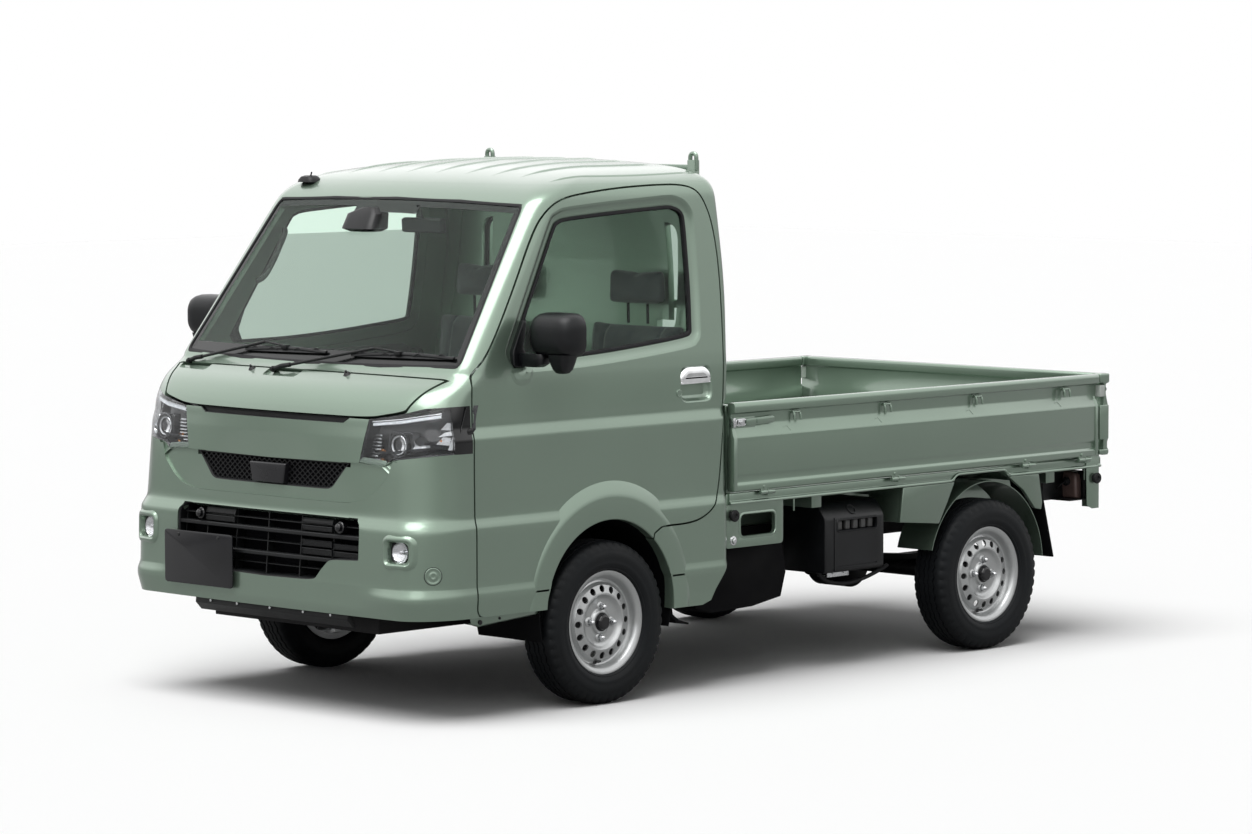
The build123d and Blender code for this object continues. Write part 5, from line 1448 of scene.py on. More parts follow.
class TRUCK_OT_lower_grille(bpy.types.Operator):
    """Makes the lower grille with its bars, ribs, blanks and studs, and the air dam"""

    bl_idname = "truck.lower_grille"
    bl_label = "Lower grille"

    def execute(self, context):
        opening = both_sides(GRILLE)
        pieces = [collar("grille_duct", spread(opening, 60), (
            (1, 3), (-1.5, 5), (-4, 9), (-6, GRILLE_BACK),
        ), on_front)]
        for z, half, front in [(z, 6.5, 8) for z in MAIN_BARS] + [(z, 2.2, 27) for z in FINS]:
            low, high = crossing(opening, Vector((0, z)), Vector((1, 0)))
            path = spread([(low, z), (high, z)], 50, closed=False)
            pieces.append(strip("bar", path, (
                (-half, front + 26), (-half, front + 3), (-half * 0.6, front), (half * 0.6, front),
                (half, front + 3), (half, front + 26),
            ), on_front))
        for x in RIBS:
            low, high = crossing(opening, Vector((x, 540)), Vector((0, 1)))
            pieces.append(strip("rib", [(x, 540 + low), (x, 540 + high)], (
                (-2.2, 54), (-2.2, 22), (2.2, 22), (2.2, 54),
            ), on_front))
        for x_low, x_high, z_low, z_high in BLANKS:
            middle = (z_low + z_high) / 2
            for low, high in ((z_low, middle - 3), (middle + 3, z_high)):
                pieces.append(collar("blank", rectangle(x_low, x_high, low, high), (
                    (0, 40), (0, 19), (-2, 17), (-3, 17), (-3, 20), (-9, 20), (-9.5, 20),
                ), on_front))
                pieces += [
                    strip(
                        "slat", [(x_low + 3, z), (x_high - 3, z)], ((-1, 21), (-1, 18), (1, 18), (1, 21)),
                        on_front,
                    )
                    for z in (low + 6, (low + high) / 2, high - 6)
                ]
        finished("grille_bars", pieces, "trim", "black_plastic", "lower_grille", angle=30)
        # The plate at the back of the grille duct is a sheet of painted shade.
        ready(filled("grille_back", opening, on_front, GRILLE_BACK), "shade_black")
        studs = []
        for x, z in STUDS:
            place, away = facing(x, z)
            studs.append(lathe("stud", [
                (-40, 0), (-40, 19), (-14, 19), (-12, 16), (-12, 13), (-4, 12), (-1, 8), (0, 0),
            ], place, 28, away))
        finished("grille_studs", studs, "gloss_black")

        dam = prism("air_dam", [
            (at(DAM_Y[0]), DAM_TOP_Z), (at(DAM_Y[0]) + 14, DAM_TOP_Z),
            (at(DAM_Y[1]) + 12, DAM_BOTTOM_Z + 4), (at(DAM_Y[1]) + 8, DAM_BOTTOM_Z),
            (at(DAM_Y[1]), DAM_BOTTOM_Z), (at(DAM_Y[0]) - 2, DAM_TOP_Z - 20),
        ], "X", -DAM_HALF, DAM_HALF)
        edge_round(dam, 2)
        bolts = [
            pin("bolt", (x, at(-811), DAM_TOP_Z - 9), (x, at(-800), DAM_TOP_Z - 9), 5, 1.5, 12)
            for x in (-290, -160, 0, 160, 290)
        ]
        ready(dam, "trim")
        finished("air_dam_bolts", bolts, "nut")
        return {"FINISHED"}


class TRUCK_OT_plates(bpy.types.Operator):
    """Makes the two blank number plates with their bolts"""

    bl_idname = "truck.plates"
    bl_label = "Number plates"

    def execute(self, context):
        plates, bolts = [], []
        for name, x_low, x_high, z_low, z_high, back, thickness in BODY_PLATES:
            outline = filleted(rectangle(x_low, x_high, z_low, z_high), 14)
            plate = prism(name, outline, "Y", at(back), at(back) + thickness)
            plates.append(edge_round(plate, 1.6))
            out = at(back) - 2 if back < 0 else at(back) + thickness + 1.6
            for x in (x_low + 70, x_high - 70):
                bolts.append(pin("bolt", (x, out, z_high - 14), (x, at(back) + 2, z_high - 14), 6, 1.5, 16))
        finished("plates", plates, "plate", "plate_black", "number_plates")
        finished("plate_bolts", bolts, "frit")
        bracket = joined("plate_brackets", [
            slab("bracket", (-440, at(-843.5), 392), (-170, at(-826), 420), 2),
            slab("bracket", (-30, at(2470), 560), (30, at(2505.5), 602), 2),
        ])
        ready(bracket, "trim")
        return {"FINISHED"}


# ------------------------------------------------------------ the lamps at the front
LAMP_DEPTH = 52
LED_PATH = ((452, 934), (560, 945), (630, 957), (680, 966))
SIGNAL = (436, 486, 820, 906)      # low and high x, low and high z
SIGNAL_RIBS = 8
PROJECTOR = (566, 878, 29)           # x, z, radius
REFLECTOR = (650, 872, 30)
FOG_FACE = (125, 106)
FOG_CORNER = 34
FOG_LENS = 33
TOW_COVER = (700, 474, 27)
GARNISH_BUMP = (-601, 912, 15)


def lamp_inside():
    """The left headlamp's fittings behind its lens, by finish."""
    outline = [(x, z) for x, z in spread([p[:2] for p in LAMP_OUTLINE], 20) if x < 722]
    shell = collar("lamp_shell", outline, ((-0.5, 3), (-5, 8), (-9, LAMP_DEPTH)), on_front)
    back = filled("lamp_back", outline, on_front, LAMP_DEPTH, 2, 25)
    x, z, radius = PROJECTOR
    place, away = facing(x, z, 36)
    away = (away + Vector((0, -1.2, 0))).normalized()
    frame_ring = lathe("projector_frame", [
        (0, radius + 3), (26, radius + 12), (28, radius + 10), (26, radius + 6), (8, radius - 2),
        (0, radius - 2),
    ], place, 40, away)
    plate = strip("lamp_shelf", [(470, 842), (560, 846), (640, 858), (700, 862)], (
        (-10, 8), (-3, 10), (0, 16), (4, LAMP_DEPTH),
    ), on_front)
    bezel = [shell, back, frame_ring, plate]
    bezel.append(collar("projector_shroud", filleted(rectangle(x - 46, x + 44, z - 32, z + 36), 14), (
        (2, 40), (2, 16), (0, 13), (-4, 15), (-8, 40),
    ), on_front))
    bright = [lathe("projector_ring", [
        (20, radius - 3), (25, radius + 2), (26, radius + 1), (24, radius - 4),
    ], place, 40, away)]
    x, z, radius = REFLECTOR
    bowl_place, bowl_away = facing(x, z, 40)
    bright.append(lathe("reflector", [
        (0, 0), (2, 10), (10, 20), (24, radius), (25, radius), (10, 18), (2, 9), (-2, 0),
    ], bowl_place, 24, (bowl_away + Vector((0.2, -0.9, 0.3))).normalized()))
    bright.append(strip("outer_trim", [(705, 862), (708, 920), (704, 978)], (
        (-3, 22), (-2, 9), (2, 9), (3, 22),
    ), on_front))
    for k, tilt in enumerate((-4, 5, -3)):
        low = 880 + 22 * k
        bright.append(filled("facet", [
            (672, low), (700, low + tilt), (700, low + 19), (684, low + 19 - tilt),
        ], on_front, 24 + 3 * k, 2))
    low_x, high_x, low_z, high_z = SIGNAL
    pitch = (high_z - low_z) / SIGNAL_RIBS
    for k in range(SIGNAL_RIBS):
        z = low_z + pitch * (k + 0.5)
        shift = 22 * (k / SIGNAL_RIBS)
        bright.append(strip("signal_rib", [(low_x + shift, z), (high_x, z)], (
            (-pitch * 0.45, 34), (-pitch * 0.25, 19), (pitch * 0.1, 16), (pitch * 0.42, 26),
            (pitch * 0.42, 36),
        ), on_front))
    bright.append(strip(
        "top_trim", [(x, z + 9) for x, z in LED_PATH], ((-1.6, 20), (-1.6, 6), (1.6, 6), (1.6, 20)),
        on_front,
    ))
    led = strip("led_bar", LED_PATH, ((-5, 22), (-5, 12), (-2, 9), (3, 9), (5, 12), (5, 22)), on_front)
    amber = []
    for x, z in ((490, 856), (492, 828), (694, 896)):
        place, away = facing(x, z, 30)
        amber.append(lathe("amber", [(0, 0), (0, 6), (10, 6), (14, 3), (15, 0)], place, 16, away))
    x, z, radius = PROJECTOR
    place, away = facing(x, z, 30)
    away = (away + Vector((0, -1.2, 0))).normalized()
    ball = lathe("projector_glass", [
        (0, 0), (4, radius - 3), (12, radius - 6), (20, radius - 14), (24, 0),
    ], place, 36, away)
    return {"bezel": bezel, "reflector": bright, "led": [led], "amber": amber, "fog_lens": [ball]}


class TRUCK_OT_headlamps(bpy.types.Operator):
    """Makes the headlamps behind their smoked lenses, and the black corner garnish"""

    bl_idname = "truck.headlamps"
    bl_label = "Headlamps"

    def execute(self, context):
        for finish, pieces in lamp_inside().items():
            part = joined("lamp_" + finish, pieces)
            part = joined("headlamp_" + finish, [part, copied(part, "other", mirror=True)])
            ready(part, finish, angle=30)
        lens = thickened(SPARE_SKIN.pop("lens"), 3)
        lens.name = "headlamp_lenses"
        ready(lens, "lens", "lamp_glass", "front_lamps")
        garnish = thickened(SPARE_SKIN.pop("garnish"), 16)
        distance, z, radius = GARNISH_BUMP
        bumps = []
        for side in (1, -1):
            outline = [(at(distance) + 12, z - radius)] + [
                (at(distance) + 2 - radius * cos(radians(a)), z + radius * sin(radians(a)))
                for a in range(-90, 91, 15)
            ] + [(at(distance) + 12, z + radius)]
            bump = prism("bump", outline, "X", half_at(z) - 8, half_at(z) + 1.5)
            if side < 0:
                bump, old = copied(bump, "bump", mirror=True), bump
                removed(old)
            bumps.append(edge_round(bump, 1.5))
        finished("lamp_garnish", [garnish] + bumps, "gloss_black", angle=30)
        return {"FINISHED"}


class TRUCK_OT_fog_lamps(bpy.types.Operator):
    """Makes the fog lamps in their square bezels, and the round covers beside them"""

    bl_idname = "truck.fog_lamps"
    bl_label = "Fog lamps"

    def execute(self, context):
        width, height = FOG_FACE
        face = filleted(rectangle(
            FOG_X - width / 2, FOG_X + width / 2, FOG_Z - height / 2, FOG_Z + height / 2,
        ), FOG_CORNER, 8)
        bezel = collar("fog_bezel", face, (
            (3, 0.8), (0, -0.6), (-4, -6.5), (-8, -8.5), (-13, -8.2), (-17, -5), (-21, 3), (-23, 12),
            (-24, 26),
        ), on_front)
        place, away = facing(FOG_X, FOG_Z, 22)
        cup = lathe("fog_cup", [
            (-12, 0), (-12, FOG_LENS + 10), (2, FOG_LENS + 10), (4, FOG_LENS + 6), (2, FOG_LENS + 2),
            (-8, FOG_LENS - 2), (-10, 0),
        ], place, 48, away)
        bowl = lathe("fog_bowl", [
            (-9, 0), (-8, 12), (-4, 22), (2, FOG_LENS - 2), (3, FOG_LENS - 1), (-5, 22), (-10, 11), (-11, 0),
        ], place, 16, away)
        bulb = pin("bulb", place - away * 8, place + away * 1, 6, 2)
        lens = lathe("fog_lens", [
            (3, 0), (3, FOG_LENS), (6, FOG_LENS), (8, FOG_LENS * 0.7), (9, 0),
        ], place, 40, away)
        x, z, radius = TOW_COVER
        place, away = facing(x, z)
        cover = lathe("tow_cover", [
            (-6, 0), (-6, radius), (0.2, radius), (1, radius - 1.5), (1.2, radius - 4), (0.2, radius - 6),
            (0.2, 13), (1.4, 11), (1.4, 8), (0.6, 6), (0.6, 0),
        ], place, 48, away)
        seam = lathe("tow_seam", [
            (-4, radius + 2), (0.25, radius + 2), (0.45, radius + 1), (0.25, radius), (-4, radius),
        ], place, 48, away)
        for name, pieces, finish, slot in (
            ("fog_bezels", [bezel, cover], "paint", "body_paint"), ("fog_cups", [cup, seam], "trim", None),
            ("fog_bowls", [bowl, bulb], "reflector", None), ("fog_lenses", [lens], "fog_lens", "lamp_glass"),
        ):
            part = joined(name, pieces)
            doubled(name, part, finish, slot)
        return {"FINISHED"}


# ------------------------------------------------------------ mirrors, handles and wipers
MIRROR_ROWS = (             # distance behind the axle, and how far the outline shrinks
    (-318, 9), (-306, 7), (-300, 4), (-297, 1.5), (-301, 0), (-330, 0), (-350, 3), (-366, 9),
    (-377, 18), (-383, 29), (-386, 42), (-387, 58),
)
MIRROR_LOW = (735, 1140)
MIRROR_HIGH = (925, 1279)
LOBE_ROWS = (               # height, low and high x, low and high distance
    (1150, 812, 905, -372, -304), (1126, 818, 898, -368, -308), (1104, 828, 890, -362, -314),
    (1093, 838, 880, -356, -320), (1090, 848, 870, -350, -326),
)
SAIL = ((-399, 1106), (-399, 1152), (-340, 1252), (-326, 1246), (-352, 1168), (-330, 1128), (-330, 1106))
FLAP = ((352, 1014), (498, 1014), (498, 1046), (470, 1069), (380, 1069), (352, 1046))
WIPERS = (                  # pivot, elbow, joint with the blade, and the blade's ends
    ((-588, 1082), (-243, 1157), (-135, 1149), (-330, 1131), (68, 1138)),
    ((-115, 1078), (280, 1158), (390, 1150), (190, 1134), (622, 1140)),
)
NOZZLES = ((-225, 1074), (229, 1076))


class TRUCK_OT_mirrors(bpy.types.Operator):
    """Makes the door mirrors with their housings, arms and glass"""

    bl_idname = "truck.mirrors"
    bl_label = "Door mirrors"

    def execute(self, context):
        loops = []
        for distance, shrink in MIRROR_ROWS:
            (x_low, z_low), (x_high, z_high) = MIRROR_LOW, MIRROR_HIGH
            outline = filleted(
                rectangle(x_low + shrink, x_high - shrink, z_low + shrink, z_high - shrink * 1.05),
                max(50 - shrink * 0.5, 12), 8,
            )
            loops.append([(x, at(distance), z) for x, z in outline])
        case = capped(lattice("case", loops, closed=True))
        lobe = block_loops("lobe", LOBE_ROWS)
        arm = block_loops("arm", (
            (1150, 700, 800, -378, -330), (1138, 694, 806, -380, -328), (1118, 694, 800, -380, -328),
            (1108, 697, 780, -377, -331),
        ))
        sail = collar("sail", filleted(SAIL, 10), ((0, 22), (0, -1), (-2, -3), (-8, -3.5)), on_side)
        cover = pane_of("sail_face", grown(filleted(SAIL, 10), -7), on_side, -3.2, 3)
        paired(
            "mirror_case", joined("mirror_case", [case, lobe, arm, sail, cover]), "door_", "mirror_case",
            "black_plastic", "mirror_", angle=40,
        )
        glass = prism("mirror_glass", filleted(
            rectangle(MIRROR_LOW[0] + 9, MIRROR_HIGH[0] - 9, MIRROR_LOW[1] + 9, MIRROR_HIGH[1] - 9), 42, 8,
        ), "Y", at(-309), at(-306))
        paired("mirror_glass", glass, "door_", "mirror")
        bulge = collar(
            "mirror_foot", filleted([(-424, 1098), (-310, 1098), (-334, 1052), (-392, 1046)], 34, 8),
            ((5, 0.6), (0, -0.6), (-7, -2.6), (-14, -3.2), (-24, -3.4), (-30, -3.4)), on_side,
        )
        paired("mirror_foot", bulge, "door_", "paint", "body_paint")
        return {"FINISHED"}


class TRUCK_OT_handles(bpy.types.Operator):
    """Makes the bright door handles in their cups, and the locks"""

    bl_idname = "truck.handles"
    bl_label = "Door handles"

    def execute(self, context):
        cup = pane_of("cup_floor", grown(HANDLE, -20), on_side, 22, 2)
        paired("cup_floor", cup, "door_", "paint", "body_paint")
        outline = filleted(FLAP, 16, 5)
        flap = collar("flap", outline, (
            (-2, 16), (-0.5, 10), (0, 5), (-2, 1.5), (-6, -0.5), (-13, -1.6), (-22, -2),
        ), on_side)
        face = pane_of("flap_face", grown(outline, -21.5), on_side, -1.9, 2)
        pin_run = pin("hinge", on_side(356, 1016, 6), on_side(494, 1016, 6), 5, 1)
        paired("door_handle", joined("door_handle", [flap, face, pin_run]), "door_", "chrome", angle=50)
        lock = lathe("door_lock", [
            (0, 0), (0, 13), (2.4, 12.5), (3, 10), (2.2, 9), (2.2, 0),
        ], on_side(342, 985, 0.4), 28)
        paired("door_lock", lock, "door_", "paint", "body_paint")
        return {"FINISHED"}


class TRUCK_OT_wipers(bpy.types.Operator):
    """Makes the wipers, the washer nozzles and the aerial"""

    bl_idname = "truck.wipers"
    bl_label = "Wipers"

    def execute(self, context):
        pieces = []
        for pivot, elbow, joint, start, end in WIPERS:
            near = Vector(on_front(*pivot, -8))
            bend = Vector(on_front(*elbow, -13))
            knuckle = near + (bend - near) * 0.17 + Vector((0, 0, 3))
            lid = bpy.data.objects["panel_hood"]
            tool = slab("recess", (pivot[0] - 30, at(-740), 1060), (pivot[0] + 135, at(-560), 1150), 10, 3)
            shelf = cut_away(copied(lid, "wiper_recess"), copied(tool, "recess_copy"), operation="INTERSECT")
            shelf.data.transform(Matrix.Translation((0, 0.004, -0.007)))
            ready(shelf, "paint")
            cut_away(lid, tool)
            pieces.append(pin("pivot", near + Vector((0, 14, 0)), near - Vector((0, 6, 0)), 10, 2))
            pieces.append(pin("nut", near - Vector((0, 5, 0)), near - Vector((0, 12, 0)), 7, 2, 6))
            pieces.append(wire("knuckle", [
                near, near + (knuckle - near) * 0.5 + Vector((0, -3, 3)), knuckle,
            ], 7.5, 2))
            pieces.append(wire("arm", [
                knuckle, knuckle + (bend - knuckle) * 0.5 - Vector((0, 3, 0)), bend,
            ], 5, 2))
            pieces.append(wire("arm_end", [bend, Vector(on_front(*joint, -12))], 3.6, 2))
            path = spread([start, end], 40, closed=False)
            pieces.append(strip(
                "spine", [(x, z + 9 * sin(pi * k / (len(path) - 1))) for k, (x, z) in enumerate(path)],
                ((-4, -4), (-4, -9), (0, -11), (4, -9), (4, -4), (-4, -4)), on_front,
            ))
            pieces.append(strip("squeegee", path, (
                (-4, -5.5), (-1, -1.2), (1, -1.2), (5, -5.5), (-4, -5.5),
            ), on_front))
            for share in (0.12, 0.34, 0.66, 0.88):
                x, z = start[0] + (end[0] - start[0]) * share, start[1] + (end[1] - start[1]) * share
                pieces.append(wire("claw", [
                    Vector(on_front(x - 22, z + 2, -6)), Vector(on_front(x, z + 10, -12)),
                    Vector(on_front(x + 22, z + 2, -6)),
                ], 2.6, 1))
            pieces.append(slab(
                "link", tuple(Vector(on_front(joint[0] - 14, joint[1] - 10)) - Vector((0, 13, 0))),
                tuple(Vector(on_front(joint[0] + 14, joint[1] + 3)) - Vector((0, 4, 0))), 2,
            ))
        finished("wiper_blades", pieces, "trim", "black_plastic", "wipers", angle=40)
        for x, z in NOZZLES:
            place, away = facing(x, z)
            body = lathe("washer_nozzle", [
                (-6, 0), (-6, 13), (0, 13), (4, 10), (8, 7), (10, 0),
            ], place, 24, away)
            jet = pin("jet", place + away * 7, place + away * 12 + Vector((0, -3, 2)), 4, 1)
            finished("washer_nozzle", [body, jet], "gloss_black", body="hood")
        strip_base = block_loops("aerial", (
            (1664, -551, -473, -232, -170), (1672, -549, -475, -230, -172), (1682, -540, -484, -224, -178),
            (1686, -528, -492, -214, -186),
        ))
        strip_base.data.transform(Matrix.Translation((0, 0.03, -0.002)))
        rod_piece = pin("aerial_rod", (-500, at(-180), 1674), (-494, at(-178), 1696), 2.6, 1)
        finished("aerial", [strip_base, rod_piece], "trim")
        return {"FINISHED"}


# ------------------------------------------------------------ the roof's ribs and the cab's seams
ROOF_RIBS = (-405, -262, -120, 22, 162, 290, 420)
RIB_START = -128
RIB_END = 560
RIB_PROFILE = ((-17, -1.5), (-13, 0.2), (-8, 3.2), (-3, 4.4), (3, 4.4), (8, 3.2), (13, 0.2), (17, -1.5))


def draped(piece):
    """Lays a flat sheet down onto the cab's roof."""
    target = bpy.data.objects["panel_roof"]
    return modify(
        piece, "SHRINKWRAP", target=target, wrap_method="PROJECT", use_project_z=True,
        use_negative_direction=True, use_positive_direction=False,
    )


class TRUCK_OT_roof_ribs(bpy.types.Operator):
    """Makes the ribs pressed lengthwise into the roof, and the gutters at its sides"""

    bl_idname = "truck.roof_ribs"
    bl_label = "Roof ribs"

    def execute(self, context):
        ribs = []
        for x in ROOF_RIBS:
            slim = 0.7 if abs(x) > 300 else 1
            rows = []
            run = 30
            for k in range(run + 1):
                distance = RIB_START + (RIB_END - RIB_START - abs(x) * 0.08) * k / run
                rows.append([(x + out * slim, at(distance), 1790) for out, _ in RIB_PROFILE])
            rib = draped(lattice("rib", rows))
            width = len(RIB_PROFILE)
            for index, vertex in enumerate(rib.data.vertices):
                k, j = divmod(index, width)
                fade = min(k / 6, (run - k) / 3, 1)
                vertex.co.z += (RIB_PROFILE[j][1] * fade - 1.2 * (1 - fade)) * MM
            ribs.append(rib)
        gutters = []
        for side in (-1, 1):
            rows = []
            for k in range(37):
                distance = -120 + 680 * k / 36
                x = side * (560 + 14 * sin(pi * k / 36))
                rows.append([(x + out * side, at(distance), 1790) for out, _ in GUTTER_PROFILE])
            gutter = draped(lattice("gutter", rows))
            width = len(GUTTER_PROFILE)
            for index, vertex in enumerate(gutter.data.vertices):
                k, j = divmod(index, width)
                fade = min(k / 4, (36 - k) / 3, 1)
                vertex.co.z += (GUTTER_PROFILE[j][1] * fade - 1.2 * (1 - fade)) * MM
            gutters.append(gutter)
        for piece in ribs + gutters:
            piece.data.flip_normals() if piece.data.polygons[0].normal.z < 0 else None
        finished("roof_ribs", ribs + gutters, "paint", "body_paint", angle=60)
        return {"FINISHED"}


GUTTER_PROFILE = ((-16, -1.5), (-11, 1.4), (-5, 3.4), (0, 3.6), (3, 1.2), (5, -1), (8, -1.6))


# ------------------------------------------------------------ wheels
TYRE_STEPS = 192
# Half of the tyre's section: distance from the middle, radius, zigzag, and depth in the tread.
TYRE_HALF = (
    (0, 265, 0, 0), (6.2, 264.9, 2.6, 0), (7.2, 264.9, 2.6, 1), (11, 264.9, 2.6, 1),
    (12, 264.8, 2.6, 0), (29.5, 264.2, 3.2, 0), (30.7, 264.1, 3.2, 1), (34.6, 264, 3.2, 1),
    (35.8, 264, 3.2, 0), (46, 262.8, 0, 0), (53, 261, 2, 0.35), (59.5, 257, 2.4, 0.9),
    (64.5, 250, 1.6, 0.9), (68.3, 241.5, 0.6, 0.35), (70.4, 235, 0, 0), (71.4, 228, 0, 0), (72, 227, 0, 0),
    (72.5, 214, 0, 0), (72.3, 205, 0, 0), (71, 195.5, 0, 0), (71.4, 194, 0, 0), (69.4, 187, 0, 0),
    (66.5, 180.5, 0, 0), (63.6, 176, 0, 0), (64.2, 174, 0, 0), (60.5, 169, 0, 0), (57, 167.2, 0, 0),
    (52.6, 167.2, 0, 0), (51, 160, 0, 0), (49.5, 152.8, 0, 0),
)
RIM_SECTION = (
    (-57, 148), (-57, 166), (-55.5, 167.3), (-53, 167), (-52, 164), (-49.8, 152.4), (-40, 151.5),
    (-24, 146), (24, 146), (40, 151.5), (49.8, 152.4), (52, 164), (53, 167), (55.2, 168), (57, 167.4),
    (57.4, 165), (55.8, 159), (52.4, 152), (47.5, 148), (38, 145), (30, 142.5), (25.6, 139), (24, 134.5),
    (25.5, 129.5), (31, 124.5), (37, 120), (41.5, 104), (43.8, 98), (45.4, 93.5), (45.2, 89), (42.4, 85),
    (36, 80.5), (32, 75.5), (30.2, 68), (30, 60), (30.3, 45), (32.6, 41), (37.5, 38), (39.5, 34.5),
    (39.5, 24), (35, 24), (26, 34), (26, 66), (28, 77), (33, 85), (40, 91), (39, 97), (37, 103),
    (32.5, 116), (27, 120.5), (21, 126), (19.4, 133), (21, 138.5), (20, 141), (-24, 141), (-40, 146.5),
    (-50, 147),
)
DRUM_SECTION = ((-24, 39), (-24, 88), (-20, 94), (12, 94), (17, 90), (20, 80), (20, 39))
VENT_CIRCLE = 111
VENT_RADIUS = 10.6
NUT_CIRCLE = 50
NUT_COUNT = 4
CAP_RADIUS = 27.5
WHEELS = tuple(
    (f"{end}_{side}", distance, x if side == "left" else -x)
    for end, distance, x in (("front", 0, FRONT_WHEEL_X), ("rear", WHEELBASE, REAR_WHEEL_X))
    for side in ("left", "right")
)


def tyre_form(depth):
    """The left front tyre, with a zigzag tread and cut shoulders."""
    section = [(-u, r, z, d) for u, r, z, d in reversed(TYRE_HALF)] + list(TYRE_HALF[1:])
    rows = []
    for u, radius, zigzag, sunk in section:
        row = []
        for k in range(TYRE_STEPS):
            phase = k % 4
            swing = (0, 1, 0, -1)[phase] * zigzag
            if abs(u) > 45 and zigzag:
                swing = (0, 0.5, 1, 0.2)[phase] * zigzag * (1 if u > 0 else -1) * 0.5
                r = radius - depth * sunk * (1 if phase == (0 if u > 0 else 2) else 0)
            else:
                r = radius - depth * sunk
            turn = tau * k / TYRE_STEPS
            row.append((FRONT_WHEEL_X + u + swing, at(r * sin(turn)), AXLE_Z + r * cos(turn)))
        rows.append(row)
    tyre = lattice("tyre", rows, closed=True)
    return weld(tyre)


def rim_form(vents):
    """The left front wheel's pressed steel rim."""
    centre = (FRONT_WHEEL_X, at(0), AXLE_Z)
    rim = lathe("rim", RIM_SECTION, centre, 112)
    tools = []
    for k in range(vents):
        turn = tau * k / vents
        y, z = VENT_CIRCLE * sin(turn), VENT_CIRCLE * cos(turn)
        tools.append(pin("tool", (FRONT_WHEEL_X + 12, at(y * 1.03), AXLE_Z + z * 1.03),
                         (FRONT_WHEEL_X + 62, at(y * 0.93), AXLE_Z + z * 0.93), VENT_RADIUS, 0, 28))
    cut_away(rim, joined("tools", tools))
    return edge_round(rim, 1.3, 2, 50)


def wheel_fittings():
    """The nuts, the cap and its collar, the valve and the brake drum of one wheel."""
    centre = Vector((FRONT_WHEEL_X, at(0), AXLE_Z))
    nuts, seats = [], []
    for k in range(NUT_COUNT):
        turn = tau * k / NUT_COUNT + radians(4)
        place = centre + Vector((0, NUT_CIRCLE * sin(turn), NUT_CIRCLE * cos(turn)))
        seats.append(lathe("seat", [
            (28, 0), (28, 17), (31, 16.5), (34, 13.5), (35, 11), (33, 9), (28, 9),
        ], place, 28))
        nuts.append(pin("nut", place + Vector((31, 0, 0)), place + Vector((45, 0, 0)), 10.2, 1.6, 6))
        nuts.append(lathe("dome", [
            (44, 0), (44, 8.6), (49, 7.8), (53, 5.2), (54.5, 2.4), (55, 0),
        ], place, 20))
    cap = lathe("cap", [
        (34, 0), (34, CAP_RADIUS), (49, CAP_RADIUS - 1), (54, CAP_RADIUS - 4), (56.5, CAP_RADIUS - 9),
        (57, 0),
    ], centre, 10)
    rim_collar = lathe("cap_collar", [(34, 20), (34, 31), (40, 30.5), (42, 28.5), (42, 20)], centre, 40)
    stem = centre + Vector((0, 132 * sin(radians(188)), 132 * cos(radians(188))))
    valve = [pin("valve", stem + Vector((18, 0, 0)), stem + Vector((50, 0, 6)), 4.4, 1.4, 16),
             pin("valve_foot", stem + Vector((16, 0, 0)), stem + Vector((30, 0, 2)), 7, 2, 16)]
    drum = lathe("drum", DRUM_SECTION, centre, 48)
    return {
        "nut": (nuts, 30), "silver": (seats, 30), "gloss_black": ([edge_round(cap, 1.2)] + valve, 24),
        "trim": ([rim_collar], 30), "cast": ([drum], 30),
    }


class TRUCK_OT_wheels(bpy.types.Operator):
    """Makes the four wheels with their tyres, nuts, caps and valves"""

    bl_idname = "truck.wheels"
    bl_label = "Wheels"

    def execute(self, context):
        sizes = context.scene.truck_sizes
        kinds = [("tyre", [tyre_form(sizes.tread_depth)], "tyre", 38, "tyre_rubber", "tyre_"),
                 ("rim", [rim_form(sizes.vent_count)], "silver", 26, "wheel_silver", "rim_")]
        kinds += [("wheel_" + finish, pieces, finish, angle, None, None)
                  for finish, (pieces, angle) in wheel_fittings().items()]
        for name, pieces, finish, angle, slot, node in kinds:
            model = joined(name, pieces)
            for place, distance, x in WHEELS:
                shift = (abs(x) - FRONT_WHEEL_X, distance, 0)
                copy = copied(model, f"{name}_{place}", shift)
                if x < 0:
                    copy, old = copied(copy, f"{name}_{place}", mirror=True), copy
                    removed(old)
                    copy.name = f"{name}_{place}"
                ready(copy, finish, slot, node + place if node else (), body="wheel_" + place, angle=angle)
            removed(model)
        return {"FINISHED"}


# ------------------------------------------------------------ wheel arches
LINER_RADIUS = 299
LINER_X = (420, 712)
SPLASH_FLAP = ((296, 345), (304, 345), (322, 262), (352, 240), (398, 228), (396, 222), (344, 230), (312, 254))
FLANGE = ((-596, 332), (-300, 332), (-300, 318), (-480, 306), (-560, 300), (-590, 309))


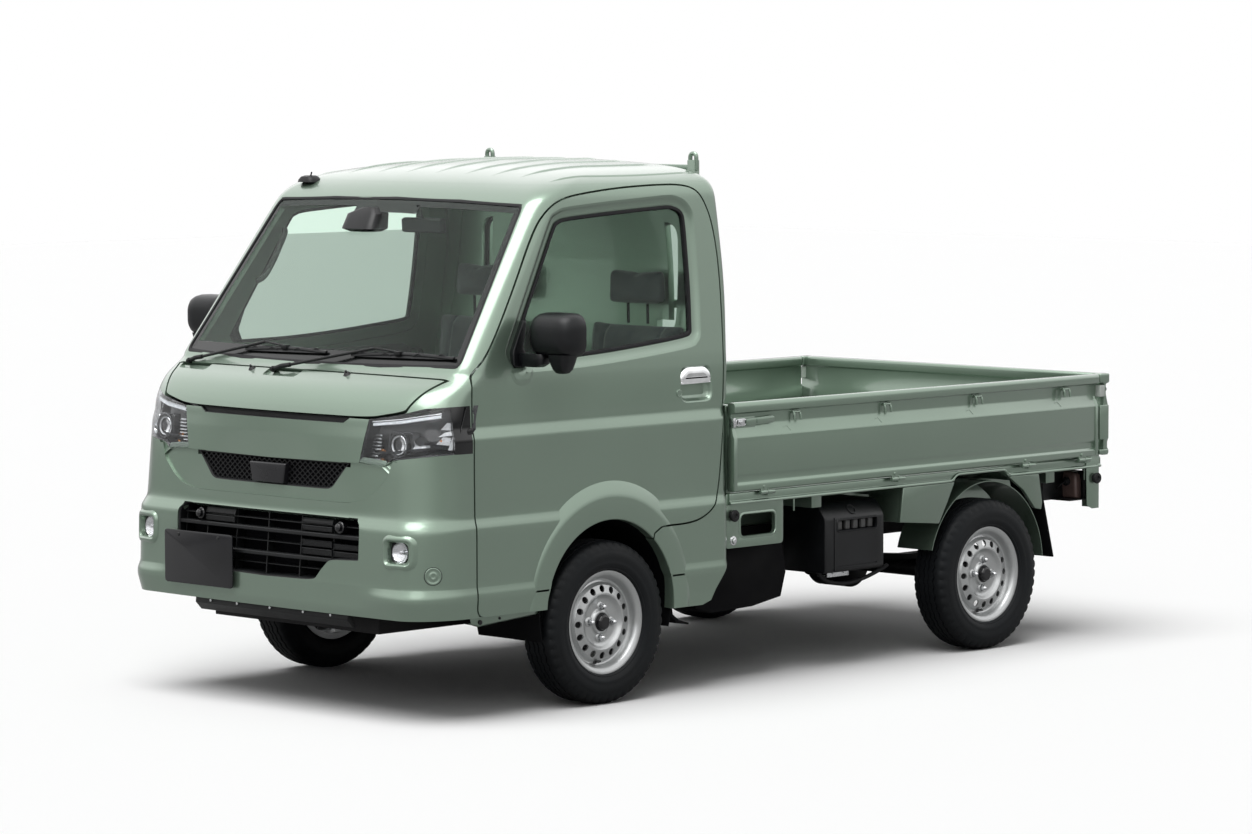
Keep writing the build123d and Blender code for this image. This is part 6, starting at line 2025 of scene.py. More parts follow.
class TRUCK_OT_wheel_arches(bpy.types.Operator):
    """Makes the dark liners over the front wheels, the flaps behind them and the lower flanges"""

    bl_idname = "truck.wheel_arches"
    bl_label = "Wheel arches"

    def execute(self, context):
        arc = ring_points((0, ARCH_Z), LINER_RADIUS, radians(-16), radians(212), 60)
        rows = [[(x, at(d), z) for d, z in arc] for x in (LINER_X[0], 560, LINER_X[1])]
        liner = lattice("liner", rows)
        modify(liner, "SOLIDIFY", thickness=3 * MM, offset=0)
        wall_rows = [
            [(LINER_X[0], at(d * share), ARCH_Z + (z - ARCH_Z) * share) for d, z in arc]
            for share in (1, 0.62)
        ]
        back_wall = modify(lattice("liner_wall", wall_rows), "SOLIDIFY", thickness=3 * MM, offset=0)
        flap = side_prism("flap", SPLASH_FLAP, 560, 700)
        pieces = [liner, back_wall, edge_round(flap, 1.5)]
        part = joined("arch_liners", pieces)
        doubled("arch_liners", part, "flap")
        flange = side_prism("flange", FLANGE, 702, 706)
        lip = side_prism("flange_lip", [
            (-590, 309), (-560, 300), (-480, 306), (-300, 318), (-300, 322), (-480, 310), (-560, 304),
            (-590, 313),
        ], 690, 706)
        flange = edge_round(joined("flange", [flange, lip]), 1.2)
        # The flanges take the body paint darkened as painted shade.
        doubled("cab_flanges", flange, "shade_darkened_paint", "body_paint_inner")
        bolts = []
        for side in (-1, 1):
            bolts.append(pin("bolt", (side * 704, at(-556), 314), (side * 711, at(-556), 314), 8, 1.6, 24))
            bolts.append(pin("bolt", (side * 704, at(-470), 320), (side * 709, at(-470), 320), 5, 1.2, 6))
        finished("flange_bolts", bolts, "trim")
        return {"FINISHED"}


# ------------------------------------------------------------ the load bed
BED_START = 578
SIDE_GATE_END = 2487
TAIL_FACE = 2547
TAIL_HALF = 734
GATE_FACE = 737.5
# A gate's section: how far each point stands inside the gate's outermost plane, and its height.
GATE_SECTION = (
    (34, 648), (7, 648), (5, 650), (4.6, 654), (4.6, 667), (5.6, 670.5), (8.6, 673.5), (9.4, 677),
    (9.4, 693), (8.6, 697), (6.2, 700.5), (5.4, 704), (5.4, 822), (5.8, 826), (7.5, 830), (17.4, 862),
    (18.6, 866), (18.8, 870), (18.8, 898), (17.8, 902.5), (13, 905.5), (5, 906.5), (1.6, 908.5), (0.4, 913),
    (0, 919), (0.2, 928), (1.6, 934.5), (5, 939), (10, 941), (24, 941), (29.5, 939.5), (33, 936), (34, 930),
    (34, 908), (29, 902), (29, 836), (34, 828), (34, 712), (31, 706), (31, 664), (34, 658),
)
HOOK_PLACES = (887, 1345, 1826, 2309)
HINGE_PLACES = (707, 1365, 2063, 2378)
TAIL_HINGES = (-600, -200, 200, 600)
HINGE_X = 730.5
HINGE_Z = 637
BARREL_RADIUS = 7
BARREL_LENGTH = 34
LEAF_TOP = 655              # where the hinges' leaves end on the gates
SILL_SECTION = (
    (684, 602), (712, 602), (716, 604.5), (718, 608), (716.5, 612), (713, 614), (712.5, 618), (712.5, 634),
    (711, 640), (706, 642), (684, 642),
)
SILL_CUT_PLACES = (1704, 2011)
SILL_RISE = 22


def along_side(name, section, start, end):
    """A section of (depth inside the gate's face, height) drawn out along the left side."""
    return prism(name, [(GATE_FACE - depth, z) for depth, z in section], "Y", at(start), at(end))


def barrel(x, y, across=False):
    """One rolled barrel of a gate's hinge, along the side or across the tail."""
    end = (x + BARREL_LENGTH, y, HINGE_Z) if across else (x, y + BARREL_LENGTH, HINGE_Z)
    return pin("barrel", (x, y, HINGE_Z), end, BARREL_RADIUS, 1.2)


def hook_wire(place, radius):
    """One rope hook on the left gate."""
    out = GATE_FACE - 1
    points = eased([
        (out - 18, at(place) - 17, 896), (out - 3, at(place) - 16, 893), (out - 1, at(place) - 15, 870),
        (out - 1, at(place) - 15, 868),
    ], 9)
    one = wire("hook", points, radius, 2)
    other = copied(one, "hook", (0, 30, 0))
    top = bent("hook_top", [
        (out - 18, at(place) - 17, 896), (out - 5, at(place) - 17, 896), (out - 5, at(place) + 15, 896),
        (out - 18, at(place) + 15, 896),
    ], 6, radius, 2)
    plate = slab("hook_plate", (out - 19, at(place) - 22, 872), (out - 17.2, at(place) + 20, 902), 0.8)
    return [one, other, top, plate]


def dent_strip(place):
    """The small pressed chevron under a hook, on the gate's sloping face."""
    rows = []
    for shift, rise in ((0, 0.2), (2.2, 1.4), (4.4, 0.2)):
        row = []
        for distance, z in ((place - 62, 849), (place - 46, 853), (place - 30, 836)):
            depth = 7.5 + (z - 830) * (9.9 / 32) - rise
            row.append((GATE_FACE - depth, at(distance + shift), z - shift * 0.6))
        rows.append(row)
    return lattice("dent", rows, flip=True)


def side_latch():
    """The over-centre latch at a side gate's front end, by finish."""
    lever = prism("lever", [
        (at(640), 866), (at(652), 862), (at(770), 866), (at(779), 871), (at(779), 885), (at(768), 890),
        (at(652), 886), (at(640), 884),
    ], "X", 724, 731)
    grip = prism("grip", [(at(690), 868), (at(772), 870), (at(772), 886), (at(690), 885)], "X", 730, 733)
    base = slab("latch_base", (719, at(586), 856), (723, at(690), 892), 1)
    loops = [
        bent("loop", [
            (727, at(596), 866), (733, at(588), 866), (733, at(588), 884), (727, at(596), 884),
            (726, at(650), 882), (726, at(650), 868), (727, at(596), 866),
        ], 5, 3, 2), pin("latch_pin", (720, at(612), 875), (736, at(612), 875), 7, 1.5),
        slab("latch_block", (720, at(600), 862), (731, at(634), 888), 2),
    ]
    catch = slab("catch", (716, at(574), 860), (736, at(585), 892), 2)
    return {"paint": [edge_round(lever, 2), edge_round(grip, 1.4), base], "nut": loops + [catch]}


class TRUCK_OT_side_gates(bpy.types.Operator):
    """Makes the side gates with their rails, rope hooks, latches and hinges"""

    bl_idname = "truck.side_gates"
    bl_label = "Side gates"

    def execute(self, context):
        radius = context.scene.truck_sizes.hook_size
        body = along_side("gate", GATE_SECTION, BED_START, SIDE_GATE_END)
        edge_round(body, 1, 2, 50)
        fold = along_side("fold", (
            (18, 650), (3.6, 650), (3.6, 822), (8, 832), (16, 862), (22, 862),
        ), BED_START + 0.4, BED_START + 16)
        rear_fold = copied(fold, "fold", (0, SIDE_GATE_END - BED_START - 17, 0))
        pieces = [body, edge_round(fold, 1), edge_round(rear_fold, 1)]
        for place in HINGE_PLACES:
            y = at(place)
            low, high = (HINGE_X - 3, y + 1, HINGE_Z), (HINGE_X + 2, y + BARREL_LENGTH - 1, LEAF_TOP)
            rivet = pin("rivet", (HINGE_X, y + 17, LEAF_TOP), (HINGE_X + 5, y + 17, LEAF_TOP), 6, 1.5, 16)
            pieces += [barrel(HINGE_X, y), slab("leaf", low, high, 1), rivet]
        for place in HOOK_PLACES:
            pieces += hook_wire(place, radius) + [dent_strip(place)]
        latch = side_latch()
        pieces += latch["paint"]
        paired("side_gate", joined("side_gate", pieces), "gate_", "paint", "body_paint", "gate_", angle=34)
        paired("gate_latch", joined("gate_latch", latch["nut"]), "gate_", "nut", angle=40)
        return {"FINISHED"}


class TRUCK_OT_tailgate(bpy.types.Operator):
    """Makes the tailgate with its rail, end pieces, latches and hinges"""

    bl_idname = "truck.tailgate"
    bl_label = "Tailgate"

    def execute(self, context):
        outline = [(at(TAIL_FACE) - depth, z) for depth, z in GATE_SECTION]
        body = edge_round(prism("tail", outline, "X", -TAIL_HALF, TAIL_HALF), 1, 2, 50)
        pieces = [body]
        latches, knobs = [], []
        for side in (-1, 1):
            inner, outer = sorted((side * (TAIL_HALF - 8), side * GATE_FACE))
            for low, high in ((704, 828), (652, 668)):
                start, end = (inner, at(SIDE_GATE_END + 6), low), (outer, at(TAIL_FACE) - 5, high)
                pieces.append(slab("end", start, end, 3, 3))
            low, high = sorted((side * 703, side * GATE_FACE))
            rail = slab("end_rail", (low, at(SIDE_GATE_END + 5), 908), (high, at(TAIL_FACE) - 1, 941), 5, 3)
            pieces.append(rail)
            low, high = sorted((side * 712, side * 736))
            latches.append(slab(
                "latch_box", (low, at(SIDE_GATE_END + 7), 858), (high, at(SIDE_GATE_END + 34), 900), 3, 3,
            ))
            x, start, end = side * 724, at(SIDE_GATE_END + 33), at(SIDE_GATE_END + 48)
            knobs.append(pin("latch_knob", (x, start, 884), (x, end, 884), 9, 2.5))
        for x in TAIL_HINGES:
            y = at(TAIL_FACE) - 7
            low, high = (x + 1, y - 3, HINGE_Z), (x + BARREL_LENGTH - 1, y + 2, LEAF_TOP)
            pieces += [barrel(x, y, across=True), slab("leaf", low, high, 1)]
        for x in (-560, -190, 190, 560):
            hook = bent("hook", [
                (x - 15, at(TAIL_FACE) - 18, 893), (x - 15, at(TAIL_FACE) - 2, 893),
                (x - 15, at(TAIL_FACE) - 2, 868),
            ], 7, 4, 2)
            pieces += [hook, copied(hook, "hook", (30, 0, 0))]
        finished("tailgate_panel", pieces, "paint", "body_paint", "tailgate", body="tailgate", angle=34)
        finished("tailgate_latches", latches, "latch_white", body="tailgate")
        finished("tailgate_knobs", knobs, "trim", body="tailgate")
        return {"FINISHED"}


def bed_floor():
    """The bed's ribbed floor on its bearers."""
    pieces = []
    for k in range(13):
        x = -600 + 100 * k
        rib = prism("rib", [
            (x - 26, 649.2), (x - 19, 652.4), (x + 19, 652.4), (x + 26, 649.2),
        ], "Y", at(690), at(2470))
        pieces.append(edge_round(rib, 1.2))
    floor = slab("floor", (-697, at(BED_START), 630), (697, at(2490), 649.9), 1)
    bearers = [
        slab("bearer", (-686, at(y), 560), (686, at(y + 50), 631), 3)
        for y in (590, 1010, 1500, 2250)
    ]
    bearers += [slab("stringer", (x - 20, at(600), 480), (x + 20, at(2470), 562), 4) for x in (-368, 368)]
    # The floor pan takes the body paint darkened as painted shade.
    finished("bed_floor_pan", pieces + [floor] + bearers, "shade_darkened_paint", "body_paint_inner", "bed_floor")


def bed_sills():
    """The sills along the bed, with their half of the gates' hinges, brackets and tail panels."""
    sill = prism("sill", list(SILL_SECTION), "Y", at(BED_START), at(2526))
    cut_start, cut_end = SILL_CUT_PLACES
    tool = side_prism("tool", [
        (cut_start - 6, 590), (cut_start + 26, 604 + SILL_RISE), (cut_end - 26, 604 + SILL_RISE),
        (cut_end + 6, 590),
    ], 600, 760)
    cut_away(sill, tool)
    lip = bent("sill_bead", [
        (714, at(BED_START + 2), 607), (714, at(cut_start - 4), 607), (714, at(cut_start + 26), 629),
        (714, at(cut_end - 26), 629), (714, at(cut_end + 4), 607), (714, at(2500), 607), (712, at(2516), 615),
    ], 14, 5, 2)
    sills = [edge_round(sill, 1.2), lip]
    for place in HINGE_PLACES:
        y = at(place) + BARREL_LENGTH + 1
        low, high = (708, y + 1, HINGE_Z - 12), (HINGE_X + 1, y + BARREL_LENGTH - 1, HINGE_Z - 3)
        start, end = (HINGE_X - 2, y + 3, HINGE_Z + 6), (HINGE_X + 1, y + 3, HINGE_Z + 11)
        knuckle = pin("knuckle", start, end, 5, 1.4, 16)
        sills += [barrel(HINGE_X, y), slab("leaf", low, high, 1), knuckle]
    for distance in (905, 1536, 2450):
        sills.append(pin("rod", (700, at(distance), 606), (700, at(distance), 560), 3.5, 1, 12))
    bracket = side_prism("bracket", filleted([
        (566, 457), (848, 457), (848, 640), (566, 640),
    ], 16), 700, 705)
    hole = filleted([(637, 491), (810, 491), (810, 568), (637, 568)], 22)
    cut_away(bracket, side_prism("hole", hole, 690, 720))
    rim_rows = collar("hole_rim", hole, (
        (6, 0), (3, 2.2), (-1, 2.4), (-3, 0), (-3, -14),
    ), lambda a, b, depth: (705 + depth, at(a), b))
    sills += [edge_round(bracket, 1.5), rim_rows]
    tail_panel = side_prism("tail_panel", [
        (2440, 649), (2514, 649), (2514, 456), (2476, 456), (2446, 470),
    ], 712, 716)
    fold = slab("tail_fold", (640, at(2510.5), 457), (713, at(2515), 641), 1)
    sills += [edge_round(tail_panel, 1.5), fold]
    side_part = joined("sills", sills)
    cross = slab("rear_sill", (-711, at(2485), 602), (711, at(2525), 642), 3)
    rear = []
    for x in TAIL_HINGES:
        y = at(TAIL_FACE) - 7
        start = x + BARREL_LENGTH + 1
        low, high = (start + 1, at(2520), HINGE_Z - 12), (start + BARREL_LENGTH - 1, y + 1, HINGE_Z - 3)
        rear += [barrel(start, y, across=True), slab("leaf", low, high, 1)]
    finished(
        "bed_sills", [side_part, copied(side_part, "other", mirror=True), cross] + rear, "paint",
        "body_paint", angle=34,
    )


def bed_fittings():
    """The rubber stops of the gates and the bolts of the brackets."""
    stops, bolts = [], []
    for side in (-1, 1):
        for distance, z, x in ((597, 566, 705), (2486, 566, 716)):
            stops.append(lathe("stop", [
                (0, 0), (0, 15), (6, 15), (8, 19), (16, 20), (19, 18), (20, 9), (16, 7), (16, 0),
            ], (side * x, at(distance), z), 28, (side, 0, 0)))
        bolts.append(lathe("bolt", [
            (0, 0), (0, 16), (2, 15), (3, 11), (8, 9), (10, 6), (10, 0),
        ], (side * 705, at(604), 482), 18, (side, 0, 0)))
    finished("gate_stops", stops, "rubber")
    finished("bracket_bolts", bolts, "nut")


def headboard():
    """The guard frame behind the cab and the ribbed board below it."""
    board = [slab("board", (-697, at(BED_START), 647), (697, at(600), 930), 3)]
    board += [slab("board_rail", (-697, at(576.5), 905), (697, at(604), 933), 6, 3)]
    for side in (-1, 1):
        x = side * 488
        board.append(slab("post", (x - 15, at(627), 647), (x + 15, at(657), 1736), 3))
        board.append(bent("hoop", [
            (x - 15, at(642), 1700), (x - 13, at(642), 1757), (x + 13, at(642), 1757),
            (x + 15, at(642), 1700),
        ], 13, 7.5, 3, steps=6))
        board.append(slab("tie", (x - 14, at(600), 862), (x + 14, at(630), 898), 2))
    for low in (1240, 1690):
        board.append(slab("bar", (-476, at(629), low + 1), (476, at(655), low + 30), 4))
    for x in (-250, 0, 250):
        board.append(pin("rail_bar", (x, at(642), 1268), (x, at(642), 1694), 7, 0, 16))
    for x in (-610, -360, -120, 120, 360, 610):
        board.append(prism("board_rib", [
            (x - 40, at(599)), (x - 30, at(603)), (x + 30, at(603)), (x + 40, at(599)),
        ], "Z", 665, 890))
    finished("headboard_frame", board, "paint", "body_paint", "headboard")


class TRUCK_OT_bed(bpy.types.Operator):
    """Makes the bed's floor ribs, sills, hinges, brackets, stoppers and headboard"""

    bl_idname = "truck.bed"
    bl_label = "Load bed"

    def execute(self, context):
        bed_floor()
        bed_sills()
        bed_fittings()
        headboard()
        return {"FINISHED"}


# ------------------------------------------------------------ under the bed
BOX_SECTION = (
    (502, 332), (690, 332), (699, 340), (700, 348), (700, 512), (697, 522), (668, 560), (655, 569),
    (640, 571), (502, 571),
)
BOX_FRONT = 1064
BOX_BACK = 1364
BOX_SLOT = (1126, 1326, 474, 510)
FENDER_FRONT = ((1430, 482), (1447, 602), (1717, 602), (1680, 536), (1635, 463), (1584, 468))
FENDER_BACK = ((2092, 549), (2010, 602), (2176, 602), (2196, 500), (2190, 473), (2156, 480))
REAR_LINER = 306
UNDER_COVER = (
    (470, 300), (556, 455), (905, 458), (925, 350), (900, 268), (760, 246), (560, 240), (486, 262),
)
BEVELLED_NODES = (
    ("chassis_frame", "chassis", "chassis"), ("engine", "cast", "chassis"),
    ("front_suspension", "chassis", "chassis"), ("rear_axle", "chassis", "chassis"),
    ("leaf_springs", "chassis", "chassis"), ("exhaust", "cast", "chassis"),
    ("fuel_tank", "trim", "chassis"), ("knuckle_left", "chassis", "knuckle_left"),
    ("knuckle_right", "chassis", "knuckle_right"), ("steering_rack", "nut", "steering_rack"),
    ("steering_column", "dash", "chassis"), ("cab_floor", "floor_grey", "chassis"),
)


class TRUCK_OT_running_gear(bpy.types.Operator):
    """Gives the frame, axles, engine and exhaust smooth welded copies with eased edges"""

    bl_idname = "truck.running_gear"
    bl_label = "Running gear"

    def execute(self, context):
        for node, finish, body in BEVELLED_NODES:
            piece = merged_copy(node, node + "_dressed", 30)
            edge_round(piece, 2 if node != "cab_floor" else 1, 1, 40)
            ready(piece, finish, body=body, angle=34)
        return {"FINISHED"}


class TRUCK_OT_battery_box(bpy.types.Operator):
    """Makes the box under the bed with its slot, and the pipe that hangs below it"""

    bl_idname = "truck.battery_box"
    bl_label = "Battery box"

    def execute(self, context):
        body = edge_round(prism("box", list(BOX_SECTION), "Y", at(BOX_FRONT), at(BOX_BACK)), 7, 3, 20)
        front, back, low, high = BOX_SLOT
        mouth = side_outline(filleted([(front, low), (back, low), (back, high), (front, high)], 9))
        cut_away(body, prism("mouth", mouth, "X", 676, 720))
        for name, high_z, low_z in (("groove", 356, 352), ("edge", 530, 526)):
            cut_away(body, slab(name, (697.5, at(front), low_z), (720, at(back), high_z)))
        lip = collar("lip", filleted([(front, low), (back, low), (back, high), (front, high)], 9), (
            (6, 0), (3.5, 2.6), (0, 3), (-1.5, 0), (-1.5, -20),
        ), lambda a, b, depth: (699.6 + depth, at(a), b))
        crease = slab("crease", (640, at(BOX_FRONT + 44), 338), (702.5, at(BOX_FRONT + 49), 520), 1.5)
        emblem = lathe("moulded_ring", [(-4, 12), (-4, 22), (1.2, 21), (1.8, 18), (1.2, 15), (-4, 12)],
                       (682, at(1214), 544), 30, (0.76, 0, 0.65))
        arms = [slab("arm", (396, at(y), 420), (503, at(y + 40), 460), 2) for y in (1150, 1280)]
        finished(
            "battery_case", [body, lip, crease, emblem] + arms, "mirror_case", "black_plastic",
            "battery_box", angle=34,
        )
        bars = [
            slab("bar", (679, at(y), low + 3), (691, at(y + 22), high - 3), 2)
            for y in (1136, 1176, 1216, 1256, 1292)
        ]
        finished("battery_vents", bars, "cast")
        hose = bent("under_hose", [
            (610, at(1120), 334), (614, at(1150), 296), (616, at(1250), 276), (612, at(1360), 288),
            (590, at(1470), 308), (540, at(1560), 312),
        ], 60, 7, 3, steps=8)
        ready(hose, "rubber", angle=None)
        foot = [
            slab("foot", (600, at(1180), 306), (604, at(1290), 334), 1),
            slab("foot", (560, at(1180), 304), (604, at(1290), 307), 1),
        ]
        foot += [pin("foot_bolt", (600, at(y), 320), (610, at(y), 320), 6, 1.4, 6) for y in (1206, 1262)]
        finished("box_bracket", foot, "nut")
        return {"FINISHED"}


class TRUCK_OT_rear_fenders(bpy.types.Operator):
    """Makes the rear fender pieces, the dark arch between them and the mud flaps"""

    bl_idname = "truck.rear_fenders"
    bl_label = "Rear fenders"

    def execute(self, context):
        pieces = []
        for outline in (FENDER_FRONT, FENDER_BACK):
            pieces.append(edge_round(side_prism("fender", outline, 709, 715.6), 3, 3))
            pieces.append(edge_round(side_prism("fender_fold", outline, 700, 712), 2, 2))
        front_face = side_prism("fender_face", [(1431, 484), (1437, 480), (1453, 600), (1447, 602)], 560, 712)
        pieces.append(edge_round(front_face, 1))
        part = joined("fenders", pieces)
        # The rear fender panels take the body paint darkened as painted shade.
        doubled("rear_fender_panels", part, "shade_darkened_paint", "body_paint_inner", "rear_fenders")
        arc = ring_points((WHEELBASE, 286), REAR_LINER, radians(4), radians(160), 48)
        rows = [[(x, at(d), min(z, 600)) for d, z in arc] for x in (545, 620, 704)]
        liner = modify(lattice("rear_liner", rows), "SOLIDIFY", thickness=3 * MM, offset=0)
        flap = side_prism("mud_flap", [(2172, 600), (2181, 600), (2264, 299), (2256, 298)], 575, 713)
        cover = side_prism("under_cover", UNDER_COVER, 640, 646)
        floor_cover = side_prism("cover_low", [
            (486, 262), (560, 240), (760, 246), (900, 268), (900, 273), (760, 251), (560, 245),
            (486, 267),
        ], 470, 644)
        # The rear arch liners take the body paint darkened as painted shade.
        paired("rear_arch", liner, "chassis", "shade_darkened_paint", "body_paint_inner", angle=60)
        part = joined("dark_covers", [edge_round(flap, 2), edge_round(cover, 2), edge_round(floor_cover, 1)])
        doubled("dark_covers", part, "flap")
        return {"FINISHED"}


class TRUCK_OT_tail_lamps(bpy.types.Operator):
    """Makes the tail lamps with their lenses, backs, bulb holders and leads"""

    bl_idname = "truck.tail_lamps"
    bl_label = "Tail lamps"

    def execute(self, context):
        frame_piece = slab("lamp_case", (470, at(2476), 487), (680, at(2496), 589), 5, 3)
        tray = [
            slab("tray", (600, at(2330), 487), (606, at(2478), 589), 2),
            slab("tray", (560, at(2380), 487), (690, at(2478), 491), 2),
        ]
        lenses = {
            "red": slab("stop", (560, at(2494), 490), (677, at(2505), 586), 4, 3),
            "reflex": slab("turn", (517, at(2494), 490), (558, at(2504.5), 586), 4, 3),
            "fog_lens": slab("reverse", (473, at(2494), 490), (515, at(2504.5), 586), 4, 3),
        }
        back = block_loops("lamp_back", (
            (489, 484, 664, 2452, 2477), (496, 480, 668, 2444, 2478), (560, 480, 668, 2440, 2478),
            (580, 490, 660, 2448, 2477), (586, 500, 650, 2456, 2476),
        ))
        holders = [
            lathe("holder", [
                (0, 0), (0, 13), (10, 13), (12, 16), (18, 16), (20, 11), (26, 9), (26, 0),
            ], (x, at(2448), z), 24, (0, -1, 0))
            for x, z in ((630, 552), (584, 544), (530, 548))
        ]
        leads = [
            bent("lead", [
                (630, at(2424), 552), (624, at(2404), 536), (600, at(2408), 520), (584, at(2424), 544),
            ], 16, 2.4, 1),
            bent("lead", [
                (584, at(2424), 540), (560, at(2402), 512), (520, at(2390), 506), (440, at(2396), 520),
            ], 20, 2.4, 1),
        ]
        stay = slab("stay", (562, at(2472), 584), (598, at(2488), 603), 2)
        groups = [
            ("tail_case", [frame_piece, stay] + tray, "trim", "black_plastic"),
            ("tail_back", [back], "lamp_back", None), ("tail_holders", holders + leads, "rubber", None),
        ]
        groups += [
            ("tail_" + name, [lens], name, "red_lens" if name == "red" else None)
            for name, lens in lenses.items()
        ]
        for name, pieces, finish, slot in groups:
            part = joined(name, pieces)
            doubled(name, part, finish, slot, "tail_lamps" if name == "tail_case" else ())
        return {"FINISHED"}


# ------------------------------------------------------------ inside the cab
SEAT_X = 370
SEAT_FLOOR = 618.3
SEAT_TOP = 768.3
BACK_BASE = 768.8
SEAT_VOXEL = 9
SWELL_STEPS = 20


def swollen(piece, pressure, cap):
    """Swells a closed form as stuffed fabric does, and holds each point within a cap."""
    modify(piece, "REMESH", mode="VOXEL", voxel_size=SEAT_VOXEL * MM)
    starts = [vertex.co.copy() for vertex in piece.data.vertices]
    choose(piece)
    bpy.ops.object.modifier_add(type="CLOTH")
    cloth = piece.modifiers[-1]
    cloth.settings.use_pressure = True
    cloth.settings.uniform_pressure_force = pressure
    cloth.settings.effector_weights.gravity = 0
    cloth.settings.quality = 3
    cloth.point_cache.frame_start = 1
    cloth.point_cache.frame_end = SWELL_STEPS
    for step in range(1, SWELL_STEPS + 1):
        bpy.context.scene.frame_set(step)
    bpy.ops.object.modifier_apply(modifier=cloth.name)
    bpy.context.scene.frame_set(1)
    for vertex, start in zip(piece.data.vertices, starts):
        shift = vertex.co - start
        if shift.length > cap * MM:
            vertex.co = start + shift * (cap * MM / shift.length)
    return modify(piece, "SUBSURF", levels=1, render_levels=1)


def channelled(piece, lines, along, depth):
    """Presses sewn channels into the faces that look along an axis."""
    for vertex in piece.data.vertices:
        if vertex.normal[along] * (1 if along == 2 else -1) < 0.3:
            continue
        pressed = sum(2.718 ** -(((vertex.co.x / MM - line) / 7) ** 2) for line in lines)
        vertex.co[along] -= depth * MM * min(pressed, 1) * (1 if along == 2 else -1)
    piece.data.update()
    return piece


class TRUCK_OT_seats(bpy.types.Operator):
    """Makes the two stuffed seats with their channels, headrests and frames"""

    bl_idname = "truck.seats"
    bl_label = "Seats"

    def execute(self, context):
        cushion = edge_round(slab(
            "cushion", (SEAT_X - 218, at(-8), SEAT_FLOOR + 14), (SEAT_X + 218, at(458), SEAT_TOP - 24),
        ), 30, 3)
        cushion = channelled(swollen(cushion, 4, 22), (SEAT_X - 128, SEAT_X + 128), 2, 9)
        back = side_prism("back", [
            (416, BACK_BASE + 14), (484, BACK_BASE + 436), (512, BACK_BASE + 436), (490, BACK_BASE + 14),
        ], SEAT_X - 216, SEAT_X + 216)
        back = channelled(swollen(edge_round(back, 14, 3), 4, 16), (SEAT_X - 128, SEAT_X + 128), 1, 8)
        rest = side_prism("rest", [
            (470, BACK_BASE + 490), (476, BACK_BASE + 598), (512, BACK_BASE + 604),
            (518, BACK_BASE + 496),
        ], SEAT_X - 118, SEAT_X + 118)
        rest = swollen(edge_round(rest, 14, 3), 3, 8)
        for name, model, fill, node in (
            ("seat_cushion", cushion, 0.7, "seat_cushions"), ("seat_back", back, 0.6, "seat_backs"),
            ("headrest", rest, 0.6, None),
        ):
            for side, piece in both(name, model):
                ready(piece, "seat", "seat_cloth" if node else None, node or (), angle=60)
        trims = []
        for side in (-1, 1):
            x = side * SEAT_X
            trims += [
                pin(
                    "rest_post", (x + shift, at(498), BACK_BASE + 425),
                    (x + shift, at(496), BACK_BASE + 500), 5, 0, 16,
                )
                for shift in (-45, 45)
            ]
            trims.append(slab(
                "seat_base", (x - 205, at(10), SEAT_FLOOR - 1), (x + 205, at(440), SEAT_FLOOR + 14), 4,
            ))
        finished("seat_frames", trims, "trim")
        return {"FINISHED"}


DASH_SECTION = (
    (-686, 782), (-686, 1008), (-670, 1016), (-640, 1021), (-560, 1030), (-480, 1035), (-450, 1030),
    (-436, 1018), (-431, 1004), (-434, 960), (-440, 900), (-470, 850), (-520, 782),
)
WHEEL_TILT = 40
STEER_CENTRE = (-370, -200, 990)
STEER_RADIUS = 178


class TRUCK_OT_dashboard(bpy.types.Operator):
    """Makes the dashboard with its vents, meters, shelf and levers"""

    bl_idname = "truck.dashboard"
    bl_label = "Dashboard"

    def execute(self, context):
        board = edge_round(side_prism("board", DASH_SECTION, -588, 588), 8, 3, 20)
        tray = slab("tray_mouth", (60, at(-520), 880), (520, at(-400), 950), 10)
        cut_away(board, tray)
        hood = block_loops("meter_hood", (
            (1010, -520, -220, -560, -440), (1040, -510, -230, -556, -442),
            (1058, -490, -250, -550, -452), (1064, -460, -280, -540, -466),
        ))
        stack = slab("stack", (-110, at(-470), 700), (90, at(-428), 1000), 12, 3)
        finished("dash_panel", [board, hood, stack], "dash", "dark_plastic", "dashboard")
        darks, brights = [], []
        for x in (-520, -60, 40, 520):
            vent = collar("vent", filleted(rectangle(x - 44, x + 44, 962, 1002), 12), (
                (4, 0), (2, 3), (-3, 3), (-5, 0), (-5, -8),
            ), lambda a, b, depth: (a, at(-430) + depth, b))
            brights.append(vent)
            darks += [
                slab("vane", (x - 38, at(-434), z), (x + 38, at(-428.5), z + 3), 0.6)
                for z in (970, 978, 986, 994)
            ]
        for x in (-430, -330):
            brights.append(lathe(
                "dial", [(0, 36), (0, 42), (4, 42), (5, 39), (4, 36)], (x, at(-446), 1026), 36,
                (0, 0.8, 0.6),
            ))
        darks.append(slab("radio", (-90, at(-430), 880), (70, at(-425), 940), 3))
        brights += [
            lathe(
                "knob", [(0, 0), (0, 16), (12, 14), (14, 11), (14, 0)], (x, at(-428), 820), 24, (0, 1, 0),
            )
            for x in (-70, -10, 50)
        ]
        lever = pin("gear_lever", (-150, at(-400), 620), (-150, at(-330), 860), 7, 2)
        darks += [lever, lathe(
            "gear_knob", [(0, 0), (4, 16), (20, 22), (36, 20), (44, 10), (46, 0)], (-150, at(-332), 850),
            24, (0, 0.25, 1),
        )]
        darks.append(bent("stalk", [
            (-370, at(-262), 930), (-300, at(-262), 940), (-230, at(-240), 950),
        ], 20, 6, 2))
        finished("dash_details", darks, "gloss_black")
        finished("dash_rings", brights, "bezel")
        return {"FINISHED"}


